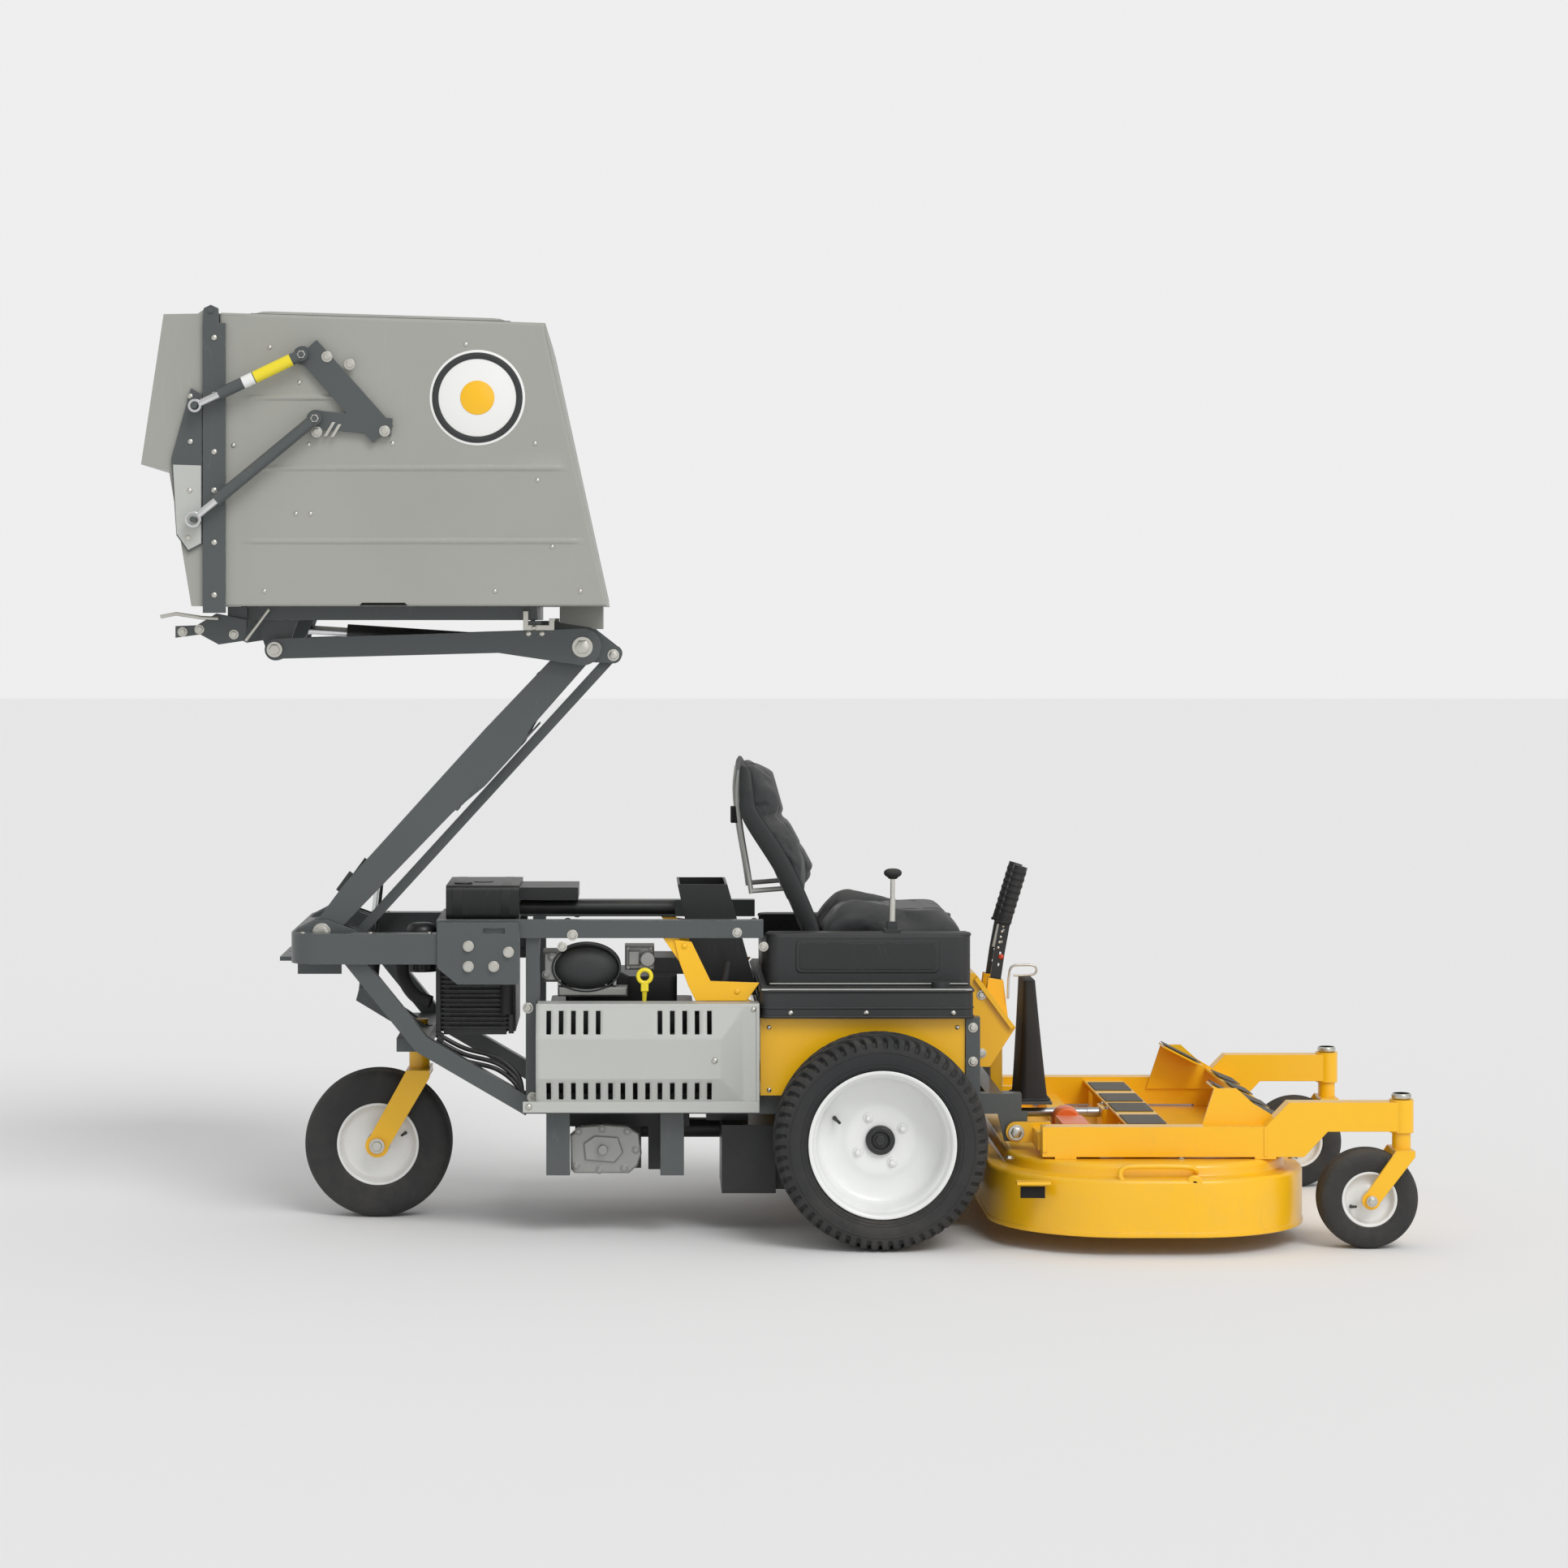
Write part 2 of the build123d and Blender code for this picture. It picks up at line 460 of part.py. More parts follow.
DUCT_HALF = 130.0
DUCT_TOP = 821.0
DUCT_WALL = 4.0
blower_body = (-365.0, -236.0, -285.0, -30.0, 95.0, 258.0)
with BuildPart() as blower_duct:
    x0, x1, y0, y1, z0, z1 = blower_body
    block(*blower_body)
    block(x1, DECK_REAR - 10, -250, -110, 100, 170)
    block(-400, -300, -200, -60, z1, 581)
    plate([(-417, 581), (-281, 581), (-348, DUCT_TOP), (-469, DUCT_TOP)], -DUCT_HALF, DUCT_HALF)
    block(-417, -281, -200, DUCT_HALF, 560, 581)
    wall = DUCT_WALL
    block(x0 + wall, x1 - wall, y0 + wall, y1 - wall, z0 + wall, z1 - wall, mode=Mode.SUBTRACT)
    block(x1 - wall, DECK_REAR - 10, -250 + wall, -110 - wall, 100 + wall, 170 - wall,
          mode=Mode.SUBTRACT)
    block(-365 + wall, -300 - wall, -200 + wall, -60 - wall, z1 - wall, 581, mode=Mode.SUBTRACT)
    plate([(-411, 578), (-288, 578), (-354, DUCT_TOP), (-463, DUCT_TOP)], -DUCT_HALF + wall,
          DUCT_HALF - wall, mode=Mode.SUBTRACT)
save(blower_duct.part, "blower_duct")

RADIATOR_BACK = KINGPIN + 52.0
RADIATOR_FRONT = KINGPIN + 242.0
with BuildPart() as radiator:
    block(RADIATOR_BACK, RADIATOR_FRONT, -180, 180, 470, 739)
    block(RADIATOR_BACK + 20, RADIATOR_FRONT - 20, -250, 250, 470, 690)
    for y in (-1, 1):
        for step in range(9):
            z = 490 + step * 21
            block(RADIATOR_BACK + 34, RADIATOR_FRONT - 34, y * 244, y * 251, z, z + 10,
                  mode=Mode.SUBTRACT)
save(radiator.part, "radiator")

with BuildPart() as hydraulic_tank:
    block(RADIATOR_BACK + 21, RADIATOR_FRONT + 8, -165, 165, 739, 820)
    fillet(hydraulic_tank.edges().filter_by(Axis.X), 12)
    block(RADIATOR_FRONT + 8, RADIATOR_FRONT + 150, -110, 110, 782, 812)
    with Locations((AXLE_X + (RADIATOR_FRONT + 8 - 474) / 2, -60, 760)):
        Cylinder(18, -474 - RADIATOR_FRONT - 8, rotation=(0, 90, 0))
    post(RADIATOR_BACK + 60, -90, 22, 819, 824)
save(hydraulic_tank.part, "hydraulic_tank")

with BuildPart() as oil_filter:
    post(RADIATOR_BACK - 40, -120, 38, 610, 728)
    fillet(oil_filter.edges().filter_by(GeomType.CIRCLE).group_by(Axis.Z)[-1], 22)
    block(RADIATOR_BACK - 50, RADIATOR_BACK, -140, -100, 640, 670)
save(oil_filter.part, "oil_filter")

# ================================================================ body
TANK_BOTTOM = 524.0
TANK_TOP = 594.0
SEAT_BASE_TOP = 719.0
PANEL_Y = 372.0
with BuildPart() as fuel_tanks:
    block(-276, 226, -400, 400, TANK_BOTTOM, TANK_TOP)
    fillet(fuel_tanks.edges().filter_by(Axis.Z), 22)
    fillet(fuel_tanks.edges().group_by(Axis.Z)[-1], 8)
    for y in (-1, 1):
        post(150, y * 370, 22, TANK_TOP - 2, TANK_TOP + 14)
save(fuel_tanks.part, "fuel_tanks")

NOSE = [(243.5, 613), (246, 613), (344, 482), (282, 387), (243.5, 387)]
LEVER_PIVOT = (306.0, 568.0)
with BuildPart() as body_panels:
    block(-276, 243, -RAIL_INNER, RAIL_INNER, RAIL_TOP, RAIL_TOP + 6)
    for span in both_sides(PANEL_Y - 6, PANEL_Y):
        block(-276, 208, *span, RAIL_TOP, TANK_BOTTOM)
    for span in both_sides(RAIL_INNER, PANEL_Y - 6):
        block(-276, 208, *span, RAIL_TOP, RAIL_TOP + 6)
    block(-276, -270, -PANEL_Y + 6, PANEL_Y - 6, RAIL_TOP + 6, TANK_BOTTOM)
    block(-274, -268, -160, -100, 430, 480, mode=Mode.SUBTRACT)
    plate(NOSE, -205, 205)
    plate([(240, 604), (248, 604), (337, 482), (279, 391), (240, 391)], -200, 200,
          mode=Mode.SUBTRACT)
    block(226.5, 243.5, -205, 205, 500, 613)
    block(301, 330, -12, 12, PEDESTAL_FLOOR, 470)
    for span in both_sides(38, 46) + both_sides(74, 82):
        plate([(286, 560), (330, 495), (337, 495), (326, 584), (290, 590)], *span)
    for span in both_sides(38, 82):
        disc(LEVER_PIVOT, 8, *span)
    for span in both_sides(RAIL_TOP_Y[0] + 3, RAIL_TOP_Y[0] + 31):
        bar([(-494, 718), (-404, 589), (-270, 530)], 30, *span, bend=60)
        block(-560, -430, *span, TOP_RAIL_BOTTOM, TOP_RAIL_BOTTOM + 60, mode=Mode.SUBTRACT)
        block(-276, -240, *span, 500, 570, mode=Mode.SUBTRACT)
save(body_panels.part, "body_panels")

SEAT_HINGE = (226.0, 652.0)
SEAT_HALF = 250.0
with BuildPart() as seat_base:
    block(-259, 226, -330, 330, TANK_TOP, SEAT_BASE_TOP)
    fillet(seat_base.edges().filter_by(Axis.Z), 30)
    fillet(seat_base.edges().group_by(Axis.Z)[-1], 10)
    block(-205, 240, -SEAT_HALF - 12, SEAT_HALF + 12, 640, SEAT_BASE_TOP + 20, mode=Mode.SUBTRACT)
    block(-262, -200, -SEAT_HALF - 12, SEAT_HALF + 12, 668, SEAT_BASE_TOP + 20,
          mode=Mode.SUBTRACT)
    for span in both_sides(184, 200):
        block(SEAT_HINGE[0] - 9, SEAT_HINGE[0], *span, 636, SEAT_HINGE[1] + 6)
        disc(SEAT_HINGE, 6, *span)
    for span in both_sides(122, 200):
        disc(SEAT_HINGE, 5, *span)
    block(20, 60, -318, -284, SEAT_BASE_TOP, SEAT_BASE_TOP + 8)
    for span in both_sides(6, 12):
        block(28, 52, -300 + span[0], -300 + span[1], SEAT_BASE_TOP + 8, SEAT_BASE_TOP + 26)
    disc((40, SEAT_BASE_TOP + 18), 4, -312, -288)
save(seat_base.part, "seat_base")

with BuildPart() as pedestal_cover:
    with BuildSketch(level(PEDESTAL_FLOOR)):
        with Locations((398, 0)):
            RectangleRounded(74, 190, 14)
    with BuildSketch(level(582)):
        with Locations((391, 0)):
            RectangleRounded(28, 150, 10)
    loft()
save(pedestal_cover.part, "pedestal_cover")

with BuildPart() as chassis_bolts:
    for y in (-1, 1):
        face_y = y * (LOOP_OUTER + 8)
        for x, z in ((JOINT_FRONT - 120, LOOP_BOTTOM - 4), (JOINT_FRONT - 60, LOOP_BOTTOM - 4),
                     (JOINT_FRONT - 120, TOP_RAIL_TOP - 60), (JOINT_FRONT - 25, LOOP_BOTTOM + 30)):
            disc((x, z), 13, face_y, face_y + y * 3)
            with BuildSketch(side(face_y + y * 3), mode=Mode.PRIVATE) as head:
                with Locations((x, z)):
                    RegularPolygon(11, 6)
            extrude(to_extrude=head.sketch, amount=-y * 8)
save(chassis_bolts.part, "chassis_bolts")

# ================================================================ seat
PAN_BOTTOM = 654.0
BACK_LOW = (-165.0, PAN_BOTTOM)
with BuildPart() as seat_shell:
    block(-165, 212, -SEAT_HALF, SEAT_HALF, PAN_BOTTOM, PAN_BOTTOM + 8)
    for span in both_sides(126, 180):
        block(211, SEAT_HINGE[0], *span, PAN_BOTTOM, PAN_BOTTOM + 8)
        disc(SEAT_HINGE, 11, *span)
        disc(SEAT_HINGE, 5 + FIT, *span, mode=Mode.SUBTRACT)
    plate([BACK_LOW, (-176, 727), (-240, 850), (-328, 985), (-331, 1120), (-318, 1131),
           (-314, 1118), (-312, 988), (-226, 858), (-162, 735), (-151, PAN_BOTTOM)],
          -235, 235)
save(seat_shell.part, "seat_shell")

with BuildPart() as seat_cushion:
    plate([(-148, PAN_BOTTOM + 8.4), (-146, 728), (-60, 752), (60, 738), (180, 726), (236, 704),
           (238, 668), (232, PAN_BOTTOM + 10), (212, PAN_BOTTOM + 8.4)], -SEAT_HALF, SEAT_HALF)
    for span in both_sides(SEAT_HALF - 95, SEAT_HALF):
        plate([(-146, 724), (-120, 752), (-78, 780), (-40, 782), (40, 752), (70, 730)], *span)
save(seat_cushion.part, "seat_cushion")

with BuildPart() as seat_back_cushion:
    plate([(-158, 745), (-222, 862), (-311.4, 990), (-313.4, 1118), (-290, 1130), (-276, 1110),
           (-240, 1000), (-160, 885), (-146, 820), (-142, 756)], -235, 235)
save(seat_back_cushion.part, "seat_back_cushion")

# ================================================================ controls
GRIP_LOW = (335.0, 742.0)
GRIP_TOP = (371.0, 861.0)
for hand, turn in (("right", -1), ("left", 1)):
    with BuildPart() as steering_lever:
        span = (turn * 55, turn * 65)
        disc(LEVER_PIVOT, 18, *span)
        bar([LEVER_PIVOT, (318, 650), GRIP_LOW], 26, *span, bend=120)
        disc(LEVER_PIVOT, 8 + FIT, *span, mode=Mode.SUBTRACT)
        for step in range(4):
            share = 0.30 + 0.16 * step
            disc((LEVER_PIVOT[0] + share * 29, LEVER_PIVOT[1] + share * 174), 4, *span,
                 mode=Mode.SUBTRACT)
        rod((329, 722), GRIP_TOP, 17, turn * 60)
    save(steering_lever.part, f"steering_lever_{hand}")

SPEED_PIVOT = (40.0, SEAT_BASE_TOP + 18.0)
with BuildPart() as speed_lever:
    disc(SPEED_PIVOT, 9, -305, -295)
    rod(SPEED_PIVOT, (42, 850), 5, -300)
    disc(SPEED_PIVOT, 4 + FIT, -306, -294, mode=Mode.SUBTRACT)
    post(42, -300, 20, 846, 871)
    fillet(speed_lever.edges().filter_by(GeomType.CIRCLE).group_by(Axis.Z)[-1], 9)
    fillet(speed_lever.edges().filter_by_position(Axis.Z, 845.9, 846.1).sort_by(SortBy.LENGTH)[-1], 9)
save(speed_lever.part, "speed_lever")

# ================================================================ deck
SKIRT_BOTTOM = 45.0
SKIRT_TOP = 178.0
DECK_TOP = 208.0
DECK_STEEL = 4.0
UPPER_INSET = 45.0
CORNER = 300.0
BLADE_Y = DECK_WIDTH * 0.238
BLADE_REACH = BLADE_Y - 8.0
ARM_HALF = 25.0
HALF_DECK = DECK_WIDTH / 2

with BuildPart() as deck_shell:
    with BuildSketch(level(SKIRT_BOTTOM)):
        with Locations((DECK_MIDDLE, 0)):
            RectangleRounded(DECK_LENGTH, DECK_WIDTH, CORNER)
            RectangleRounded(DECK_LENGTH - 2 * DECK_STEEL, DECK_WIDTH - 2 * DECK_STEEL,
                             CORNER - DECK_STEEL, mode=Mode.SUBTRACT)
    extrude(amount=SKIRT_TOP - SKIRT_BOTTOM)
    with BuildSketch(level(SKIRT_TOP - DECK_STEEL)):
        with Locations((DECK_MIDDLE, 0)):
            RectangleRounded(DECK_LENGTH, DECK_WIDTH, CORNER)
            inner = UPPER_INSET + DECK_STEEL
            RectangleRounded(DECK_LENGTH - 2 * inner, DECK_WIDTH - 2 * inner, CORNER - inner,
                             mode=Mode.SUBTRACT)
    extrude(amount=DECK_STEEL)
    with BuildSketch(level(SKIRT_TOP)):
        with Locations((DECK_MIDDLE, 0)):
            RectangleRounded(DECK_LENGTH - 2 * UPPER_INSET, DECK_WIDTH - 2 * UPPER_INSET,
                             CORNER - UPPER_INSET)
            RectangleRounded(DECK_LENGTH - 2 * inner, DECK_WIDTH - 2 * inner, CORNER - inner,
                             mode=Mode.SUBTRACT)
    extrude(amount=DECK_TOP - SKIRT_TOP)
    with BuildSketch(level(DECK_TOP - DECK_STEEL)):
        with Locations((DECK_MIDDLE, 0)):
            RectangleRounded(DECK_LENGTH - 2 * UPPER_INSET, DECK_WIDTH - 2 * UPPER_INSET,
                             CORNER - UPPER_INSET)
    extrude(amount=DECK_STEEL)
    for y in (-1, 1):
        post(DECK_MIDDLE, y * BLADE_Y, 16, DECK_TOP - 10, DECK_TOP + 1, mode=Mode.SUBTRACT)
    block(DECK_REAR - 1, DECK_REAR + 60, -246, -114, 104, 166, mode=Mode.SUBTRACT)
    block(DECK_REAR + 48, DECK_REAR + 110, -HALF_DECK - 1, -HALF_DECK + 150, 130, 160,
          mode=Mode.SUBTRACT)
    for y in (-1, 1):
        y_in = y * (HALF_DECK - 62)
        y_out = y * (HALF_DECK - 10)
        for x in (DECK_MIDDLE - 92, DECK_MIDDLE + 78):
            post(x, y_out, 7, SKIRT_TOP - 2, DECK_TOP + 2)
        block(DECK_MIDDLE - 98, DECK_MIDDLE + 84, y_out - 6, y_out + 6, DECK_TOP, DECK_TOP + 12)
save(deck_shell.part, "deck_shell")

ARM_LOW = (DECK_TOP + 5.0, DECK_TOP + 75.0)
ARM_RISE = 64.0
BEND_START = DECK_FRONT - 112.0
RISE_RUN = 55.0
with BuildPart() as deck_frame:
    for y in (-1, 1):
        inner_face = y * (ARM_Y - ARM_HALF)
        outer_face = y * (ARM_Y + ARM_HALF)
        plate([(376, ARM_LOW[0]), (BEND_START + 90, ARM_LOW[0]),
               (BEND_START + 90 + RISE_RUN, ARM_LOW[0] + ARM_RISE - 5),
               (CASTER_PIN - 10, ARM_LOW[0] + ARM_RISE - 5),
               (CASTER_PIN - 10, ARM_LOW[1] + ARM_RISE - 7),
               (BEND_START + RISE_RUN, ARM_LOW[1] + ARM_RISE - 7), (BEND_START, ARM_LOW[1]),
               (376, ARM_LOW[1])], inner_face, outer_face)
        post(CASTER_PIN, y * ARM_Y, 28, *CASTER_HOUSING)
        post(CASTER_PIN, y * ARM_Y, CASTER_STEM + FIT, CASTER_HOUSING[0] - 1, CASTER_HOUSING[1] + 1,
             mode=Mode.SUBTRACT)
        for x in (430, BEND_START):
            block(x - 25, x + 25, inner_face, outer_face, DECK_TOP, ARM_LOW[0])
        lug_in = y * (RAIL_OUTER + 6)
        block(370, 412, lug_in, inner_face, HITCH_PIVOT[1] - 28, HITCH_PIVOT[1] + 12)
        lug_out = y * (RAIL_OUTER + 22)
        block(HITCH_PIVOT[0], 412, lug_in, lug_out, HITCH_PIVOT[1] - 24, HITCH_PIVOT[1] + 24)
        disc(HITCH_PIVOT, 24, lug_in, lug_out)
        disc(HITCH_PIVOT, HITCH_PIN + FIT, lug_in, lug_out, mode=Mode.SUBTRACT)
    block(466, 516, -ARM_Y + ARM_HALF, ARM_Y - ARM_HALF, DECK_TOP, DECK_TOP + 28)
    block(DECK_FRONT - 86, DECK_FRONT - 36, -ARM_Y + ARM_HALF, ARM_Y - ARM_HALF, DECK_TOP,
          DECK_TOP + 44)
save(deck_frame.part, "deck_frame")

GEARBOX_TOP = 262.0
SHAFT_HEIGHT = 252.0
SPINDLE = 12.5
with BuildPart() as deck_gearbox:
    block(DECK_MIDDLE - 64, DECK_MIDDLE + 55, -60, 60, DECK_TOP, GEARBOX_TOP + 4)
    fillet(deck_gearbox.edges().filter_by(Axis.Z), 12)
    disc((DECK_MIDDLE, DECK_TOP + 27), 20, -BLADE_Y, BLADE_Y)
    for y in (-1, 1):
        block(DECK_MIDDLE - 50, DECK_MIDDLE + 50, y * (BLADE_Y - 42), y * (BLADE_Y + 42), DECK_TOP,
              GEARBOX_TOP)
        post(DECK_MIDDLE, y * BLADE_Y, SPINDLE + FIT, DECK_TOP - 1, GEARBOX_TOP - 10,
             mode=Mode.SUBTRACT)
    with Locations((AXLE_X + DECK_MIDDLE - 64, 0, SHAFT_HEIGHT)):
        Cylinder(9 + FIT, 60, rotation=(0, 90, 0), mode=Mode.SUBTRACT)
save(deck_gearbox.part, "deck_gearbox")

with BuildPart() as deck_drive_shaft:
    with BuildSketch(Plane(origin=(AXLE_X, 0, SHAFT_HEIGHT), x_dir=(1, 0, 0), z_dir=(0, -1, 0))):
        with BuildLine():
            Polyline((346, 0), (346, 18), (372, 18), (372, 11), (DECK_MIDDLE - 96, 11),
                     (DECK_MIDDLE - 96, 12), (DECK_MIDDLE - 66, 12), (DECK_MIDDLE - 66, 9),
                     (DECK_MIDDLE - 36, 9), (DECK_MIDDLE - 36, 0), close=True)
        make_face()
    revolve(axis=Axis((AXLE_X, 0, SHAFT_HEIGHT), (1, 0, 0)))
    with Locations((AXLE_X + 352, 0, SHAFT_HEIGHT)):
        Box(20, 8, 40, mode=Mode.SUBTRACT)
save(deck_drive_shaft.part, "deck_drive_shaft")

for hand, turn in (("right", -1), ("left", 1)):
    with BuildPart() as blade:
        with BuildSketch(level(70)):
            with Locations((DECK_MIDDLE, turn * BLADE_Y)):
                SlotOverall(2 * BLADE_REACH, 60)
        extrude(amount=6)
        post(DECK_MIDDLE, turn * BLADE_Y, SPINDLE, 70, GEARBOX_TOP - 14)
        post(DECK_MIDDLE, turn * BLADE_Y, 26, 62, 90)
    save(blade.part, f"blade_{hand}")

TREAD_Z = ARM_LOW[1] - 8.0
INSIDE = ARM_Y - ARM_HALF
with BuildPart() as footrest:
    block(DECK_MIDDLE - 50, DECK_MIDDLE + 50, -INSIDE, INSIDE, TREAD_Z - 5, TREAD_Z)
    bar([(BEND_START + 2, TREAD_Z + 30), (BEND_START + 66, TREAD_Z + 4)], 5, -INSIDE, INSIDE)
    for y in (-1, 1):
        lug = [(BEND_START - 150, TREAD_Z - 22), (BEND_START - 112, TREAD_Z + 92),
               (BEND_START - 60, TREAD_Z + 92), (BEND_START - 20, TREAD_Z + 56),
               (BEND_START + 40, TREAD_Z + 20), (BEND_START + 40, TREAD_Z - 22)]
        plate(lug, y * (INSIDE - 6), y * INSIDE)
        bar([(BEND_START - 116, TREAD_Z + 96), (BEND_START - 14, TREAD_Z + 44)], 5,
            y * (INSIDE - 96), y * INSIDE)
save(footrest.part, "footrest")

# ================================================================ lift linkage
CLEVIS_PIN = 8.0
OPEN_EYE = 5.0                 # free play of the open pivot that closes the lift linkage
with BuildPart() as lift_arms:
    for span in both_sides(ARM_Y_INNER, ARM_Y_OUTER):
        outline = [on_arm(0, -26), on_arm(0, 26), on_arm(120, 38), on_arm(620, 40),
                   on_arm(LIFT_ARM_LENGTH, 34), on_arm(LIFT_ARM_LENGTH, -34),
                   on_arm(700, -38), on_arm(640, -52), on_arm(520, -52), on_arm(420, -38)]
        plate(outline, *span)
        disc(LIFT_PIVOT, 26, *span)
        disc(KNEE, 34, *span)
        disc(LIFT_PIVOT, ARM_PIN + FIT, *span, mode=Mode.SUBTRACT)
        disc(KNEE, ARM_PIN + FIT, *span, mode=Mode.SUBTRACT)
    disc(on_arm(LIFT_ARM_LENGTH - 120, 18), 20, -ARM_Y_INNER, ARM_Y_INNER)
    reach = LIFT_CYLINDER_REACH
    for span in both_sides(24, ARM_Y_INNER):
        disc(on_arm(reach, 18), 20, *span)
    for span in both_sides(14, 24):
        plate([on_arm(reach - 20, 20), on_arm(reach + 20, 20), on_arm(reach + 18, -10),
               on_arm(reach, -20), on_arm(reach - 18, -10)], *span)
    disc(on_arm(reach), CLEVIS_PIN, -24, 24)
save(lift_arms.part, "lift_arms")

with BuildPart() as level_links:
    for y in (-1, 1):
        y_in = y * LINK_Y_INNER
        y_out = y * LINK_Y_OUTER
        for centre in (LINK_FOOT, LINK_HEAD):
            disc(centre, 17, y_in, y_out)
        bar([LINK_FOOT, LINK_HEAD], 24, y_in, y_out)
        for centre in (LINK_FOOT, LINK_HEAD):
            disc(centre, LINK_PIN + FIT, y_in, y_out, mode=Mode.SUBTRACT)
save(level_links.part, "level_links")


def make_barrel(name, start, end, y_middles, eye, pin, barrel, bore_from, length, rod_radius,
                eye_half):
    """Cylinder barrels: eye on the base pin, tube towards the far pin, bored for the rod."""
    with BuildPart() as tube:
        for y in y_middles:
            disc(start, eye, y - eye_half, y + eye_half)
            rod(start, end, barrel, y, begin=eye * 0.5, finish=length)
            disc(start, pin + FIT, y - eye_half - 20, y + eye_half + 20, mode=Mode.SUBTRACT)
            rod(start, end, rod_radius + FIT, y, begin=bore_from, finish=length + 1,
                mode=Mode.SUBTRACT)
    save(tube.part, name)


def make_rod(name, start, end, y_middles, eye, hole, tip_at, rod_radius, eye_half):
    """Piston rods: from inside the barrel to an eye around the far pin."""
    with BuildPart() as piston:
        for y in y_middles:
            rod(start, end, rod_radius, y, begin=tip_at)
            disc(end, eye, y - eye_half, y + eye_half)
            disc(end, hole, y - eye_half - 20, y + eye_half + 20, mode=Mode.SUBTRACT)
    save(piston.part, name)


LIFT_ROD = 11.0
LIFT_CYLINDER_END = on_arm(LIFT_CYLINDER_REACH)
LIFT_CYLINDER_LENGTH = hypot(LIFT_CYLINDER_END[0] - LIFT_CYLINDER_BASE[0],
                             LIFT_CYLINDER_END[1] - LIFT_CYLINDER_BASE[1])
make_barrel("lift_cylinder_barrel", LIFT_CYLINDER_BASE, LIFT_CYLINDER_END, (0,), 20,
            LIFT_CYLINDER_PIN, 23, 28, 150, LIFT_ROD, 20)
make_rod("lift_cylinder_rod", LIFT_CYLINDER_BASE, LIFT_CYLINDER_END, (0,), 20,
         CLEVIS_PIN + OPEN_EYE, LIFT_CYLINDER_LENGTH - 188, LIFT_ROD, 12)

# ---------------------------------------------------------------- upper frame
FRAME_Y_INNER = 280.0
FRAME_Y_OUTER = 310.0
DUMP_PIN = 14.0
DUMP_BASE = (DUMP_PIVOT[0] + 487.0, DUMP_PIVOT[1] + 18.0)
DUMP_END = (DUMP_PIVOT[0] + 27.0, DUMP_PIVOT[1] + 48.0)
DUMP_BASE_PIN = 9.0
CROSS_AT = KNEE[0] - 480.0
BRIDGE_TOP = BIN_FLOOR - 35.0
with BuildPart() as upper_frame:
    for span in both_sides(FRAME_Y_INNER, FRAME_Y_OUTER):
        plate([(KNEE[0], KNEE[1] + 44), (KNEE[0] - 150, KNEE[1] + 38), (DUMP_PIVOT[0], DUMP_PIVOT[1] + 26),
               (DUMP_PIVOT[0], DUMP_PIVOT[1] - 22), (KNEE[0] - 200, KNEE[1] - 14),
               (KNEE[0], KNEE[1] - 44)], *span)
        disc(KNEE, 44, *span)
        disc(DUMP_PIVOT, 26, *span)
    for span in both_sides(221, 231):
        plate([(KNEE[0] - 30, KNEE[1] - 34), (LINK_HEAD[0], LINK_HEAD[1] - 20),
               (LINK_HEAD[0] + 6, LINK_HEAD[1] + 20), (KNEE[0] + 20, KNEE[1] + 46),
               (KNEE[0] - 80, BRIDGE_TOP), (KNEE[0] - 140, BRIDGE_TOP),
               (KNEE[0] - 140, BRIDGE_TOP - 16)], *span)
        disc(LINK_HEAD, 20, *span)
    for span in both_sides(221, FRAME_Y_INNER):
        block(KNEE[0] - 138, KNEE[0] - 98, *span, BRIDGE_TOP - 14, BRIDGE_TOP)
    for span in both_sides(FRAME_Y_INNER, FRAME_Y_OUTER):
        block(KNEE[0] - 138, KNEE[0] - 98, *span, KNEE[1] + 20, BRIDGE_TOP)
    for span in both_sides(221, FRAME_Y_INNER):
        disc(KNEE, ARM_PIN, *span)
    for span in both_sides(188, 231):
        disc(LINK_HEAD, LINK_PIN, *span)
    block(CROSS_AT - 40, CROSS_AT + 40, -FRAME_Y_INNER, FRAME_Y_INNER, KNEE[1] - 12, KNEE[1])
    for span in both_sides(30, 40):
        plate([(CROSS_AT - 40, KNEE[1] - 12), (DUMP_BASE[0] + 20, KNEE[1] - 10),
               (DUMP_BASE[0] + 24, DUMP_BASE[1] + 18), (DUMP_BASE[0] - 20, DUMP_BASE[1] + 20),
               (CROSS_AT - 40, KNEE[1] + 8)], *span)
    disc(DUMP_BASE, DUMP_BASE_PIN, -40, 40)
    disc(DUMP_PIVOT, DUMP_PIN, -FRAME_Y_OUTER - 6, FRAME_Y_OUTER + 6)
save(upper_frame.part, "upper_frame")

DUMP_ROD = 11.0
DUMP_LENGTH = hypot(DUMP_END[0] - DUMP_BASE[0], DUMP_END[1] - DUMP_BASE[1])
DUMP_END_PIN = 9.0
DUMP_PLAY = 9.0                # free play of the open pivot that closes the dump linkage
make_barrel("dump_cylinder_barrel", DUMP_BASE, DUMP_END, (0,), 18, DUMP_BASE_PIN, 20, 40, 340,
            DUMP_ROD, 26)
make_rod("dump_cylinder_rod", DUMP_BASE, DUMP_END, (0,), DUMP_END_PIN + DUMP_PLAY + 6,
         DUMP_END_PIN + DUMP_PLAY, 230, DUMP_ROD, 12)

